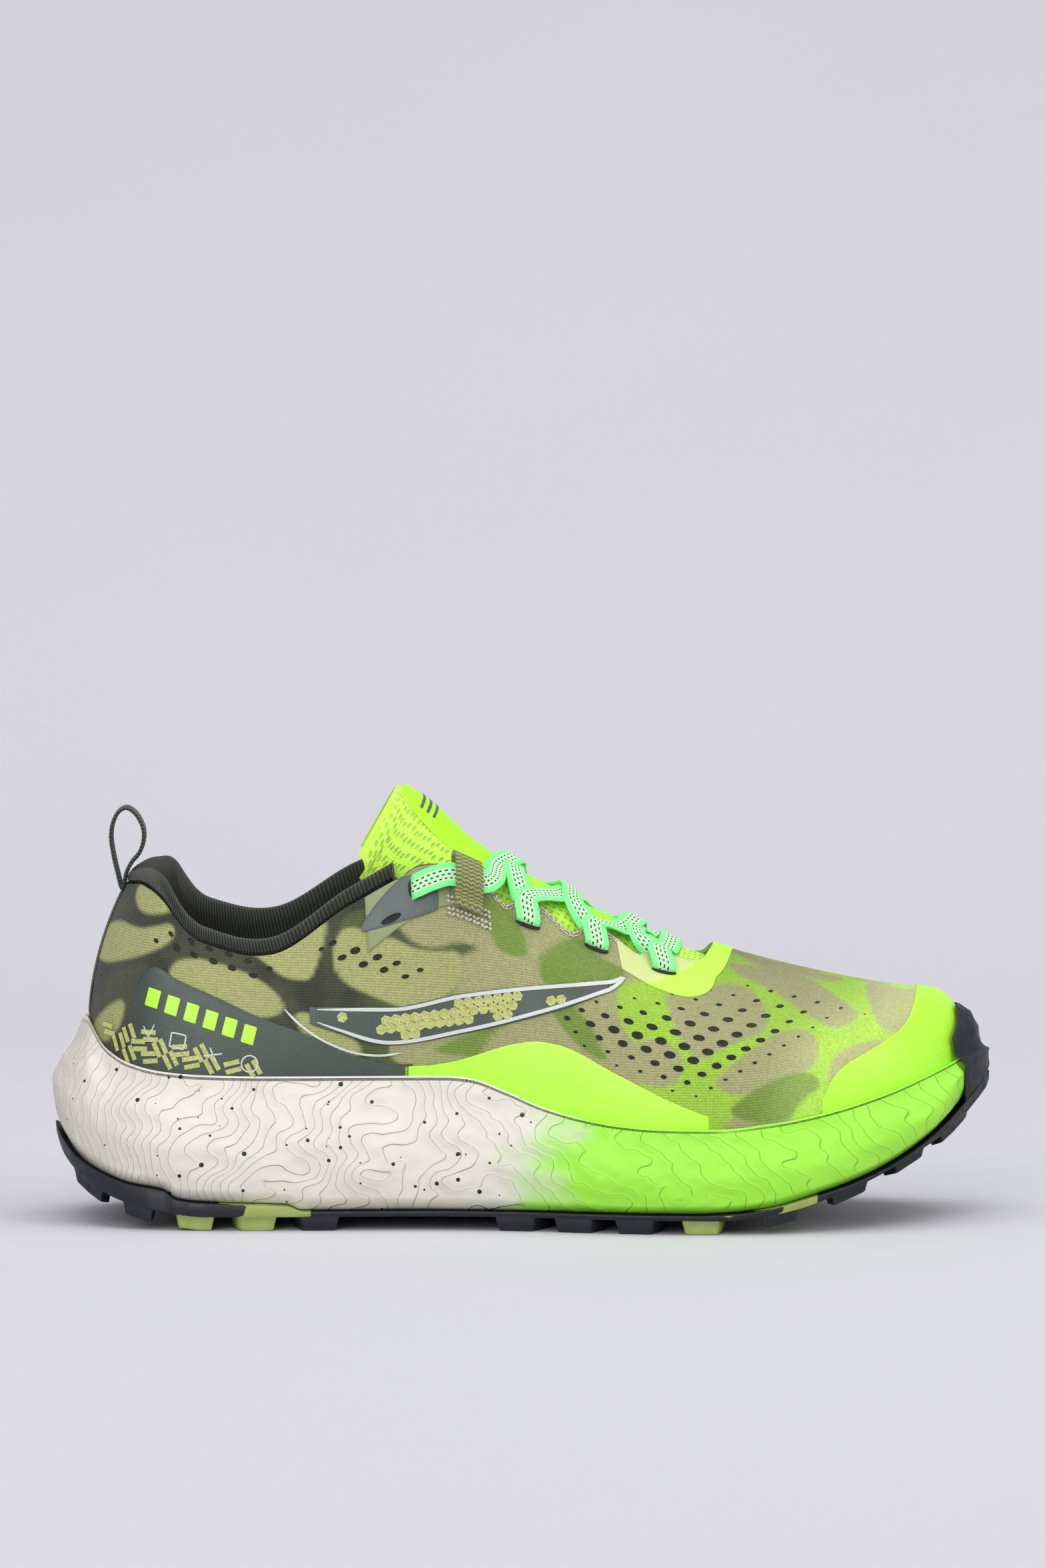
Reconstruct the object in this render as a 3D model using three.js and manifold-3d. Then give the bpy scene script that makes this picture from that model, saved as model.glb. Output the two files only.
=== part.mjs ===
// A trail running shoe for the right foot, in millimetres: +X points to the toe, -Y to the outer
// side, +Z up. Every shell follows one form, the last: a table of stations that runs round the
// shoe from the back of the heel, along the outer side, over the toe and back along the inner side.
import * as THREE from "three";
import { mergeVertices } from "three/addons/utils/BufferGeometryUtils.js";
import Module from "manifold-3d";

const wasm = await Module();
wasm.setup();

// Driving dimensions.
const LENGTH = 303; // heel to toe, over the rubber
const BALL_WIDTH = 111; // widest part of the sole
const WAIST_WIDTH = 82;
const HEEL_WIDTH = 91;
const LUG_HEIGHT = 4.4; // below the rubber sheet, in the flat stretch
const RUBBER = 2.2; // rubber sheet between lugs and foam
const RIM_WALL = 2.2; // foam lip that cups the upper
const MESH = 1.8; // engineered mesh with its lining
const FILM = 0.6; // welded overlays
const GAP = 0.35; // clearance between touching pieces
const FILM_GAP = 0.5; // clearance under the overlays, which bridge the knit's facets
const LACE_WIDTH = 7;
const LACE = 1.1; // lace thickness
const BOARD = 1.5; // lasting board
const INSOLE = 4;
const COUNTER = 1.2; // heel stiffener
const TONGUE = 3.6; // padded tongue
const WEBBING = 1.3;
const RINGS_PER_STATION = 2; // fineness of every shell

// Stations round the form. Each row: outline of the sole x, y, then the upper's top edge x, y, z,
// with x in hundredths of the length, y as a share of the half width there and z above the foam's
// underside. Rows 0 to 17 run along the outer side and 17 to 33 back along the inner side.
const STATIONS = [
  [0, 0, 8.9, 0, 105.9],
  [1.2, -0.4, 9.4, -0.2, 106.6],
  [4, -0.69, 10.7, -0.37, 106.8],
  [9, -0.91, 12.7, -0.505, 101.9],
  [16, -1, 16.4, -0.58, 86.2],
  [24.8, -1.02, 23.8, -0.615, 82],
  [33, -1.04, 32, -0.59, 97.9],
  [41.3, -1.06, 40.6, -0.6, 109.4],
  [49.5, -1.06, 48.8, -0.475, 98.9],
  [57.8, -1.06, 56.4, -0.385, 89.9],
  [65.3, -1.04, 62.7, -0.315, 81.7],
  [72.6, -1.02, 66.8, -0.26, 78.6],
  [79.2, -0.965, 68.7, -0.185, 78.7],
  [85.5, -0.83, 69.5, -0.12, 79.9],
  [90.8, -0.65, 69.85, -0.065, 80.9],
  [95, -0.425, 69.95, -0.025, 81.6],
  [98.3, -0.16, 70, 0.0, 81.8],
  [100, 0.09, 69.95, 0.03, 81.8],
  [99.5, 0.29, 69.9, 0.06, 81.4],
  [97, 0.505, 69.7, 0.1, 80.7],
  [93, 0.695, 69.3, 0.15, 79.7],
  [87.8, 0.845, 68.5, 0.205, 78.9],
  [81.5, 0.945, 67.2, 0.26, 78.8],
  [74.3, 0.98, 64.7, 0.3, 80.9],
  [67, 0.975, 61.4, 0.33, 84.4],
  [59.4, 0.955, 56.4, 0.385, 90.9],
  [51.2, 0.94, 49.5, 0.475, 99.4],
  [42.3, 0.935, 40.6, 0.6, 110.4],
  [33, 0.94, 32, 0.6, 101.4],
  [24.8, 0.965, 23.8, 0.615, 87.4],
  [16, 0.99, 16.5, 0.58, 91.4],
  [9, 0.91, 12.9, 0.505, 106.4],
  [4, 0.69, 10.7, 0.37, 108.4],
  [1.2, 0.4, 9.4, 0.2, 107.2],
];
const TOE = 17; // row of the toe's tip
const ROWS = STATIONS.length;

const FOAM = LUG_HEIGHT + RUBBER; // height of the foam's underside in the flat stretch

// A monotone cubic through rows of [place, value].
function profile(rows) {
  const n = rows.length;
  const slope = rows.slice(1).map(([x, y], i) => (y - rows[i][1]) / (x - rows[i][0]));
  const tangent = rows.map((_, i) => {
    if (i === 0) return slope[0];
    if (i === n - 1) return slope[n - 2];
    const [a, b] = [slope[i - 1], slope[i]];
    return a * b <= 0 ? 0 : (2 * a * b) / (a + b);
  });
  return (x) => {
    const i = Math.min(n - 2, Math.max(0, rows.findIndex(([place]) => place > x) - 1));
    const at = x >= rows[n - 1][0] ? n - 2 : i;
    const width = rows[at + 1][0] - rows[at][0];
    const t = THREE.MathUtils.clamp((x - rows[at][0]) / width, 0, 1);
    const [t2, t3] = [t * t, t * t * t];
    return (
      rows[at][1] * (2 * t3 - 3 * t2 + 1) +
      rows[at + 1][1] * (3 * t2 - 2 * t3) +
      width * (tangent[at] * (t3 - 2 * t2 + t) + tangent[at + 1] * (t3 - t2))
    );
  };
}

const halfWidth = profile([
  [0, HEEL_WIDTH / 2],
  [18, HEEL_WIDTH / 2],
  [42, WAIST_WIDTH / 2],
  [70, BALL_WIDTH / 2],
  [100, BALL_WIDTH / 2],
]);
// Heights by place along the shoe, in hundredths of its length, above the foam's underside.
const rimHeight = profile([
  [4, 58.4], [6, 50], [8.5, 45.8], [12, 43.5], [16, 42.6], [23, 42.2], [42, 42.3], [44.5, 41.6],
  [48, 37.9], [52, 32.9], [56, 29.6], [60, 27.6], [64, 26.7], [70, 26.5], [76, 28.2], [82, 31.4],
  [88, 36.2], [93, 41.4], [98, 46.9],
]);
const rubberTop = profile([
  [0, 26.4], [1.3, 20.7], [3.1, 15.3], [5, 12.1], [8.5, 8.3], [12.2, 6.5], [13.6, 3.7], [16, 2.8],
  [25.2, 1.8], [26.8, 0], [50, 0], [68, 0], [72, 0.5], [76, 2.1], [80, 5.3], [84, 8.9],
  [88, 13.8], [92, 20.6], [95, 27.4], [98, 36], [100, 42],
]);
const treadLine = profile([
  [0, 27], [1.5, 18], [5.4, 8.3], [9, 4], [13, 1.2], [17, 0], [70, 0], [75, 2], [79, 4.8],
  [83, 9], [87, 14], [91, 20.4], [95, 27.5], [98, 36], [100, 43],
]);
const lugDepth = profile([[0, 0.75], [20, 1], [68, 1], [78, 0.75], [90, 0.6], [100, 0.5]]);
const bedHeight = profile([
  [3, 31], [10, 28], [25, 25.3], [45, 21.8], [60, 19.2], [72, 18.8], [85, 24.2], [93, 32.2],
  [98, 38.5],
]);
// How far the foam's lip stands in from the widest outline, by station from heel to toe.
const rimInset = profile([[0, 9.6], [2, 8.5], [4, 6.5], [8, 5.2], [12, 4.8], [15, 5], [TOE, 6]]);
// The upper's section between the foam and its top edge: share of the height that the wall
// climbs at once, the share of the run in which it does, and the exponent of the rest.
const wallShare = profile([[0, 0.55], [5, 0.5], [8, 0.48], [11, 0.46], [14, 0.5], [TOE, 0.56]]);
const wallRun = profile([[0, 1], [5, 1], [7, 0.75], [9, 0.45], [11, 0.34], [14, 0.2], [TOE, 0.15]]);
const slopePower = profile([[0, 1], [8, 1.05], [11, 1.2], [14, 1.5], [TOE, 1.6]]);

const along = (share) => (share / 100) * LENGTH;
const share = (x) => (x / LENGTH) * 100;
const fromHeel = (k) => {
  const row = ((k % ROWS) + ROWS) % ROWS;
  return Math.min(row, ROWS - row);
};
const rail = (points) => {
  const curve = new THREE.CatmullRomCurve3(points, true, "catmullrom", 0.5);
  return (k) => curve.getPoint((((k % ROWS) + ROWS) % ROWS) / ROWS);
};
const outlineRail = rail(
  STATIONS.map(([x, y]) => new THREE.Vector3(along(x), y * halfWidth(x), 0)),
);
const topRail = rail(
  STATIONS.map(([, , x, y, z]) => new THREE.Vector3(along(x), y * halfWidth(x), z + FOAM)),
);

// A point of the sole's outline at station k, moved in by that many millimetres.
function outline(k, inset = 0) {
  const at = outlineRail(k);
  const ahead = outlineRail(k + 0.05).sub(outlineRail(k - 0.05)).normalize();
  return at.add(new THREE.Vector3(-ahead.y, ahead.x, 0).multiplyScalar(inset));
}
const featherInset = (k) => rimInset(fromHeel(k)) + RIM_WALL + GAP;

// A point of the upper: v runs from the foam's lip, 0, to the top edge, 1.
function skin(k, v) {
  const foot = outline(k, featherInset(k));
  const top = topRail(k);
  const foamTop = rimHeight(share(foot.x)) + FOAM;
  const row = fromHeel(k);
  const run = v * v;
  const climb = Math.min(run / wallRun(row), 1);
  const rise =
    wallShare(row) * Math.sqrt(1 - (1 - climb) ** 2) +
    (1 - wallShare(row)) * run ** slopePower(row);
  return new THREE.Vector3(
    THREE.MathUtils.lerp(foot.x, top.x, run),
    THREE.MathUtils.lerp(foot.y, top.y, run),
    THREE.MathUtils.lerp(foamTop, top.z, rise),
  );
}

function skinNormal(k, v) {
  const low = Math.max(v - 0.02, 0.001);
  const high = Math.min(v + 0.02, 1);
  const up = skin(k, high).sub(skin(k, low));
  const round = skin(k + 0.05, v).sub(skin(k - 0.05, v));
  return round.cross(up).normalize();
}

// A point that many millimetres under the upper's outer face. Below 0, v goes down the
// straight wall inside the foam's lip, to the footbed at -1.
function wall(k, v, depth = 0) {
  const at = Math.max(v, 0);
  const point = skin(k, at).sub(skinNormal(k, Math.max(at, 0.06)).multiplyScalar(depth));
  if (v < 0) {
    const floor = bedHeight(share(point.x)) + FOAM + GAP;
    const inward = outline(k, featherInset(k) + depth);
    point.set(inward.x, inward.y, THREE.MathUtils.lerp(point.z, floor, -v));
  }
  return point;
}

// The v of the place that many millimetres down the wall from the top edge.
function vBelowTop(k, down) {
  let travelled = 0;
  let last = skin(k, 1);
  for (let step = 1; step <= 40; step++) {
    const next = skin(k, 1 - step / 40);
    const length = next.distanceTo(last);
    if (travelled + length >= down) return 1 - (step - 1 + (down - travelled) / length) / 40;
    travelled += length;
    last = next;
  }
  return 0;
}

// A point by its distance below the top edge and its depth under the outer face; a negative
// distance goes on past the edge in the wall's own direction.
function belowTop(k, down, depth = 0) {
  if (down >= 0) return wall(k, vBelowTop(k, down), depth);
  const rise = skin(k, 1).sub(skin(k, 0.97)).normalize();
  return wall(k, 1, depth).addScaledVector(rise, -down);
}

// Closed geometry from quads and triangles given as points, turned so that it faces out.
class Facets {
  corners = [];
  triangle(a, b, c) {
    this.corners.push(a, b, c);
  }
  quad(a, b, c, d) {
    this.triangle(a, b, c);
    this.triangle(a, c, d);
  }
  geometry() {
    let volume = 0;
    for (let i = 0; i < this.corners.length; i += 3) {
      const [a, b, c] = this.corners.slice(i, i + 3);
      volume += a.dot(b.clone().cross(c));
    }
    const order = volume < 0 ? [0, 2, 1] : [0, 1, 2];
    const positions = [];
    for (let i = 0; i < this.corners.length; i += 3)
      order.forEach((j) => positions.push(...this.corners[i + j].toArray()));
    const flat = new THREE.BufferGeometry();
    flat.setAttribute("position", new THREE.Float32BufferAttribute(positions, 3));
    return mergeVertices(flat, 1e-4);
  }
}

// A solid swept from one section to the next. A section is two rows of points, the faces of a
// sheet, joined at both ends; closed sweeps come back to their first section.
function sheet(sections, closed = false) {
  const facets = new Facets();
  const loops = sections.map(({ front, back }) => [...front, ...[...back].reverse()]);
  const count = closed ? loops.length : loops.length - 1;
  for (let i = 0; i < count; i++) {
    const [a, b] = [loops[i], loops[(i + 1) % loops.length]];
    a.forEach((_, j) => {
      const next = (j + 1) % a.length;
      facets.quad(a[j], b[j], b[next], a[next]);
    });
  }
  if (!closed) {
    const cap = ({ front, back }, turn) => {
      for (let j = 0; j + 1 < front.length; j++) {
        const corners = [front[j], front[j + 1], back[j + 1], back[j]];
        facets.quad(...(turn ? corners.reverse() : corners));
      }
    };
    cap(sections[0], false);
    cap(sections[sections.length - 1], true);
  }
  return facets.geometry();
}

const stationsOf = (from, to, perStation = RINGS_PER_STATION) => {
  const steps = Math.max(1, Math.round((to - from) * perStation));
  return Array.from({ length: steps + 1 }, (_, i) => from + ((to - from) * i) / steps);
};
const allStations = stationsOf(0, ROWS).slice(0, -1);

// A solid made of rings round the form, floored and roofed by rungs from side to side.
function stack(rings) {
  const facets = new Facets();
  const n = rings[0].length;
  for (let r = 0; r + 1 < rings.length; r++)
    for (let i = 0; i < n; i++) {
      const j = (i + 1) % n;
      facets.quad(rings[r][i], rings[r][j], rings[r + 1][j], rings[r + 1][i]);
    }
  const cap = (ring, turn) => {
    for (let i = 0; i < n / 2; i++) {
      const corners = [ring[i], ring[i + 1], ring[(n - i - 1) % n], ring[(n - i) % n]];
      if (turn) corners.reverse();
      const apart = corners.filter((corner, j) => corners.indexOf(corner) === j);
      if (apart.length === 3) facets.triangle(...apart);
      else facets.quad(...apart);
    }
  };
  cap(rings[0], true);
  cap(rings[rings.length - 1], false);
  return facets.geometry();
}

const toManifold = (geometry) =>
  new wasm.Manifold(
    new wasm.Mesh({
      numProp: 3,
      vertProperties: new Float32Array(geometry.attributes.position.array),
      triVerts: new Uint32Array(geometry.index.array),
    }),
  );

function fromManifold(solid) {
  const { vertProperties, triVerts } = solid.getMesh();
  const geometry = new THREE.BufferGeometry();
  geometry.setAttribute("position", new THREE.BufferAttribute(vertProperties, 3));
  geometry.setIndex(new THREE.BufferAttribute(triVerts, 1));
  return geometry;
}

const join = (geometries) =>
  fromManifold(geometries.map(toManifold).reduce((all, next) => all.add(next)));
const cut = (body, tools) =>
  fromManifold(tools.map(toManifold).reduce((rest, tool) => rest.subtract(tool), toManifold(body)));

const material = (color, roughness) =>
  new THREE.MeshStandardMaterial({ color, roughness, metalness: 0 });
const FOAM_WHITE = material(0xdcd8cc, 0.75);
const RUBBER_BLACK = material(0x1c2029, 0.85);
const KNIT = material(0xa3a866, 0.9);
const LIME_FILM = material(0xb4ff3c, 0.45);
const DARK_FILM = material(0x3e4a40, 0.5);
const COLLAR_KNIT = material(0x3a3d30, 0.95);
const WEBBING_OLIVE = material(0x3e4236, 0.9);
const WEBBING_KHAKI = material(0x8d9158, 0.9);
const LACE_MINT = material(0x9dffa0, 0.8);
const TONGUE_MESH = material(0xc8ff5a, 0.85);
const BOARD_GREY = material(0x4a4a48, 0.9);

const shoe = new THREE.Group();
shoe.name = "trail_running_shoe";
function add(name, geometry, finish) {
  const mesh = new THREE.Mesh(geometry, finish);
  mesh.name = name;
  shoe.add(mesh);
}

// Station on one side, -1 outer or 1 inner, whose outline stands at that place along the shoe.
function stationAt(x, side) {
  let [low, high] = side < 0 ? [0, TOE] : [TOE, ROWS];
  for (let i = 0; i < 30; i++) {
    const middle = (low + high) / 2;
    if (outlineRail(middle).x < x === side < 0) low = middle;
    else high = middle;
  }
  return (low + high) / 2;
}

// Station on one side whose top edge stands at that place along the shoe.
function topStationAt(x, side) {
  let [low, high] = side < 0 ? [2, 11.5] : [ROWS - 11.5, ROWS - 2];
  for (let i = 0; i < 30; i++) {
    const middle = (low + high) / 2;
    if (topRail(middle).x < x === side < 0) low = middle;
    else high = middle;
  }
  return (low + high) / 2;
}

function vAtHeight(k, z) {
  let [low, high] = [0, 1];
  for (let i = 0; i < 24; i++) {
    const middle = (low + high) / 2;
    if (skin(k, middle).z < z) low = middle;
    else high = middle;
  }
  return (low + high) / 2;
}

// Sole.
const foamInset = profile([[0, 0], [14.8, 0], [16, 3.4], [TOE, 4.4]]);
const BUMPER_ENDS = [15.5, 19];

function midsole() {
  const levels = [
    [0, (k) => foamInset(k) + 4.5],
    [0.1, (k) => foamInset(k) + 1.2],
    [0.36, (k) => foamInset(k)],
    [0.62, (k) => Math.max(foamInset(k), rimInset(k) * 0.28)],
    [0.86, (k) => Math.max(foamInset(k), rimInset(k) * 0.8)],
  ];
  const ring = (insetOf, heightOf) =>
    allStations.map((k) => {
      const point = outline(k, insetOf(fromHeel(k)));
      point.z = heightOf(share(point.x)) + FOAM;
      return point;
    });
  const between = (f) => (s) => THREE.MathUtils.lerp(rubberTop(s), rimHeight(s), f);
  const rings = levels.map(([f, insetOf]) => ring(insetOf, between(f)));
  rings.push(ring((k) => rimInset(k), (s) => rimHeight(s) - 0.7));
  rings.push(ring((k) => rimInset(k) + RIM_WALL * 0.5, rimHeight));
  rings.push(ring((k) => rimInset(k) + RIM_WALL, (s) => rimHeight(s) - 0.6));
  rings.push(ring((k) => rimInset(k) + RIM_WALL, bedHeight));
  return stack(rings);
}

const soleUnder = (s) => treadLine(s) + LUG_HEIGHT * lugDepth(s);

// A hexahedron between the tread line and the inside of the rubber sheet.
function lug(corners) {
  const centre = corners.reduce((sum, c) => sum.add(c), new THREE.Vector2()).divideScalar(4);
  const level = (scale, heightOf) =>
    corners.map((c) => {
      const at = centre.clone().lerp(c, scale);
      return new THREE.Vector3(at.x, at.y, heightOf(share(at.x)));
    });
  const low = level(0.9, treadLine);
  const high = level(1.02, (s) => soleUnder(s) + 0.5);
  const facets = new Facets();
  facets.quad(...low);
  facets.quad(...[...high].reverse());
  low.forEach((_, i) => {
    const j = (i + 1) % 4;
    facets.quad(low[j], low[i], high[i], high[j]);
  });
  return facets.geometry();
}

// Lug places along the shoe, in hundredths of its length.
const EDGE_LUGS = [3.7, 9.3, 15.6, 22.2, 28.8, 49, 55.1, 61.5, 68.6, 77, 84.6, 91.2, 96.2];
const CENTRE_LUGS = [8.5, 15.5, 22.5, 52, 58.5, 65, 72, 79.3, 86.5, 92.5];

function edgeLug(s, side) {
  const half = s < 12 || s > 90 ? 1.7 : 2.05;
  const depth = s > 94 || s < 5 ? 10 : 14;
  const at = (place, inset) => {
    const k = stationAt(along(place), side);
    const point = outline(k, inset);
    return new THREE.Vector2(point.x, point.y);
  };
  const skew = s < 40 ? -1 : 1;
  const outer = [at(s - half, 1.6), at(s + half, 1.6)];
  const inner = [at(s + half + skew, depth), at(s - half + skew, depth)];
  return lug([...outer, ...inner]);
}

function centreLug(s) {
  const [x, half] = [along(s), along(1.9)];
  const y = outlineRail(stationAt(x, -1)).y + outlineRail(stationAt(x, 1)).y;
  const wide = s < 40 ? 9 : 13;
  const at = (dx, dy) => new THREE.Vector2(x + dx, y / 2 + dy);
  return lug([at(-half, -wide), at(half, -wide), at(half, wide), at(-half, wide)]);
}

function toeBumper() {
  const [from, to] = BUMPER_ENDS;
  const sections = stationsOf(from, to).map((k) => {
    const edge = Math.min(k - from, to - k);
    const grow = Math.min(edge / 0.9, 1);
    const thick = 0.6 + 2.6 * grow ** 0.6;
    const top = THREE.MathUtils.lerp(52, 61.3, grow) + FOAM;
    const floor = soleUnder(share(outline(k, 2).x));
    const rim = rimHeight(share(outline(k, featherInset(k)).x)) + FOAM;
    const heights = [floor, (floor + rim) / 2, rim + 0.4, rim + 2, (rim + 2 + top) / 2, top];
    const outward = outline(k, 0).sub(outline(k, 3)).normalize();
    const back = heights.map((z, i) => {
      const inner =
        i < 3
          ? outline(k, foamInset(fromHeel(k)) - GAP - 0.2)
          : wall(k, vAtHeight(k, z), -(FILM + FILM_GAP + 3 * GAP));
      inner.z = z;
      return inner;
    });
    const front = back.map((inner, i) =>
      inner.clone().addScaledVector(outward, i === 5 ? 0.6 : thick + (i === 3 ? 1 : 0)),
    );
    return { front, back };
  });
  return sheet(sections);
}

const toeSlack = profile([[78, 0], [84, 0.3], [92, 0.7], [100, 0.9]]);

function outsole() {
  const ring = (insetOf, heightOf) =>
    allStations.map((k) => {
      const point = outline(k, insetOf(fromHeel(k)));
      point.z = heightOf(share(point.x));
      return point;
    });
  const top = (s) => rubberTop(s) + FOAM - GAP - toeSlack(s);
  const plate = stack([
    ring(() => 3.6, soleUnder),
    ring(() => 1.2, (s) => soleUnder(s) + 0.6),
    ring(() => 0.9, (s) => Math.max(top(s) - 0.2, soleUnder(s) + 0.9)),
    ring((k) => foamInset(k) + 2.2, (s) => top(s) - 0.3),
    ring((k) => foamInset(k) + 4.5, top),
  ]);
  const lugs = EDGE_LUGS.flatMap((s) => [edgeLug(s, -1), edgeLug(s, 1)]);
  return join([plate, toeBumper(), ...lugs, ...CENTRE_LUGS.map(centreLug)]);
}

add("midsole", midsole(), FOAM_WHITE);
add("outsole", outsole(), RUBBER_BLACK);

// Upper: the knit ends below the collar's roll, and at the throat reaches its cut edge.
const ROLL = 4.6;
const ROLL_GAP = 1.2; // the knit's edge lies this far inside the roll's seam
const knitTop = profile([[0, ROLL + ROLL_GAP], [5.9, ROLL + ROLL_GAP], [6.5, 0.2], [TOE, 0.2]]);
const LADDER = [-0.94, -0.3, 0.1, 0.28, 0.45, 0.6, 0.74, 0.88, 1];

function knitSection(k) {
  const high = vBelowTop(k, knitTop(fromHeel(k)));
  const ladder = LADDER.map((v) => (v < 0 ? v : v * high));
  return {
    front: ladder.map((v) => wall(k, v)),
    back: ladder.map((v) => wall(k, v, MESH)),
  };
}

// Eyelets, as place along the shoe in hundredths and distance below the top edge.
const EYELETS = [
  { name: "first", s: 64.2, down: 9 },
  { name: "second", s: 57.3, down: 9 },
  { name: "third", s: 50.2, down: 9 },
  { name: "top", s: 38.2, down: 7, turned: true },
  { name: "spare", s: 35.9, down: 13.5 },
];
const SLOT_LENGTH = LACE_WIDTH + 2;
const SLOT_WIDTH = 4.8;

function eyeletCutter({ s, down, turned = false }, side) {
  const k = topStationAt(along(s), side);
  const centre = belowTop(k, down, MESH / 2);
  const alongEdge = topRail(k + 0.05).sub(topRail(k - 0.05)).normalize();
  const out = skinNormal(k, vBelowTop(k, down));
  const size = turned ? [SLOT_WIDTH, SLOT_LENGTH] : [SLOT_LENGTH, SLOT_WIDTH];
  const box = new THREE.BoxGeometry(...size, 9);
  const frame = new THREE.Matrix4().makeBasis(
    alongEdge,
    out.clone().cross(alongEdge).normalize(),
    out,
  );
  frame.setPosition(centre);
  return mergeVertices(stripped(box).applyMatrix4(frame), 1e-4);
}

function stripped(geometry) {
  const bare = new THREE.BufferGeometry();
  bare.setAttribute("position", geometry.attributes.position.clone());
  bare.setIndex(geometry.index);
  return bare;
}

const eyeletCutters = [-1, 1].map((side) => EYELETS.map((eyelet) => eyeletCutter(eyelet, side)));

add("upper_knit", cut(sheet(allStations.map(knitSection), true), eyeletCutters.flat()), KNIT);

// Collar: a padded roll over the knit's edge with the lining down the inside.
const LINING_DEPTH = MESH + 2 * GAP + COUNTER;
const COLLAR_END = 5.75;
function collarSection(k) {
  const slim = THREE.MathUtils.smoothstep(Math.abs(k), 3.2, COLLAR_END);
  const pad = 3.9 - 2.2 * slim;
  const low = 40 - 8 * slim;
  const roll = [[4.6, -0.2], [2, -0.7], [0, 1], [-0.2, 2 + pad * 0.4]];
  const inner = [
    [3, LINING_DEPTH + pad * 0.8],
    [12, LINING_DEPTH + pad],
    [26, LINING_DEPTH + pad * 0.8],
    [low, LINING_DEPTH + 1.2],
  ];
  const back = [[4.6, 0.5], [4.6, MESH + GAP + 0.1]];
  [6.5, 11, 17, 23, 30, low].forEach((down) => back.push([down, LINING_DEPTH]));
  return {
    front: [...roll, ...inner].map(([down, depth]) => belowTop(k, down, depth)),
    back: back.map(([down, depth]) => belowTop(k, down, depth)),
  };
}
add("collar_lining", sheet(stationsOf(-COLLAR_END, COLLAR_END).map(collarSection)), COLLAR_KNIT);

// Heel counter between the knit and the lining.
function counterSection(k) {
  const low = 0.02;
  const high = vBelowTop(k, 24 + 2.6 * Math.abs(k));
  const ladder = [0, 0.33, 0.67, 1].map((f) => THREE.MathUtils.lerp(low, high, f));
  return {
    front: ladder.map((v) => wall(k, v, MESH + GAP)),
    back: ladder.map((v) => wall(k, v, MESH + GAP + COUNTER)),
  };
}
add("heel_counter", sheet(stationsOf(-3.5, 3.5).map(counterSection)), BOARD_GREY);

// Lasting board and insole: flat layers on the foam's bed, inside the knit's wall.
function layer(inset, low, high) {
  const ring = (extra, lift) =>
    allStations.map((k) => {
      const point = outline(k, featherInset(k) + inset + extra);
      point.z = bedHeight(share(point.x)) + FOAM + lift;
      return point;
    });
  return stack([ring(0, low), ring(0, high)]);
}
const BOARD_INSET = MESH + GAP;
const BOARD_LOW = GAP + 0.2;
const INSOLE_LOW = BOARD_LOW + BOARD + GAP + 0.2;
const INSOLE_TOP = INSOLE_LOW + INSOLE;
add("lasting_board", layer(BOARD_INSET, BOARD_LOW, BOARD_LOW + BOARD), BOARD_GREY);
add("insole", layer(BOARD_INSET + 0.9, INSOLE_LOW, INSOLE_TOP), COLLAR_KNIT);

// Films welded on the knit: front and back a film's thickness apart, a gap off the knit.
function filmSection(k, low, high, rungs = 4) {
  const ladder = Array.from({ length: rungs }, (_, i) => low + ((high - low) * i) / (rungs - 1));
  return {
    front: ladder.map((v) => wall(k, v, -FILM_GAP - FILM)),
    back: ladder.map((v) => wall(k, v, -FILM_GAP)),
  };
}
const FOOT_V = 0.04;

const toeCapTop = profile([[12.4, 0.1], [13, 0.2], [14, 0.34], [15, 0.38], [16, 0.41], [TOE, 0.44]]);
const toeCap = stationsOf(12.4, ROWS - 12.4).map((k) =>
  filmSection(k, FOOT_V, toeCapTop(fromHeel(k))),
);
add("toe_cap_film", sheet(toeCap), LIME_FILM);

// A film on one side between two places along the shoe, from one height to another; heights are
// millimetres above the ground, by hundredths of the length.
function sideFilm(side, from, to, lowOf, highOf, rungs = 4) {
  const ends = [from, to].map((s) => stationAt(along(s), side));
  const sections = stationsOf(Math.min(...ends), Math.max(...ends)).map((k) => {
    const s = share(outlineRail(k).x);
    const low = lowOf === null ? FOOT_V : vAtHeight(k, lowOf(s));
    return filmSection(k, low, Math.max(vAtHeight(k, highOf(s)), low + 0.05), rungs);
  });
  return sheet(sections);
}

const mudguardTop = profile([
  [37.5, 51], [42.5, 53.4], [48.9, 59.2], [51, 60], [53.2, 59], [59.7, 49.8], [65, 42.2], [70, 36.5],
]);
const heelFilmTop = profile([
  [5, 68], [9.2, 83], [12.8, 79], [17.9, 73.5], [22.8, 67.1], [28.3, 61.1], [31.8, 56], [36, 52.6],
]);
const bladeLow = profile([[27, 66.5], [36, 58.5], [44, 62.5], [52, 67.5], [60, 75]]);
const bladeHigh = profile([[27, 70.5], [36, 70], [44, 73.5], [52, 76.5], [60, 79]]);
const SIDES = { lateral: -1, medial: 1 };
for (const [name, side] of Object.entries(SIDES)) {
  add(`mudguard_film_${name}`, sideFilm(side, 37.3, 69.5, null, mudguardTop), LIME_FILM);
  add(`heel_film_${name}`, sideFilm(side, 6.4, 36, null, heelFilmTop, 4), DARK_FILM);
  add(`side_blade_${name}`, sideFilm(side, 28, 59, bladeLow, bladeHigh), DARK_FILM);
}

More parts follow.
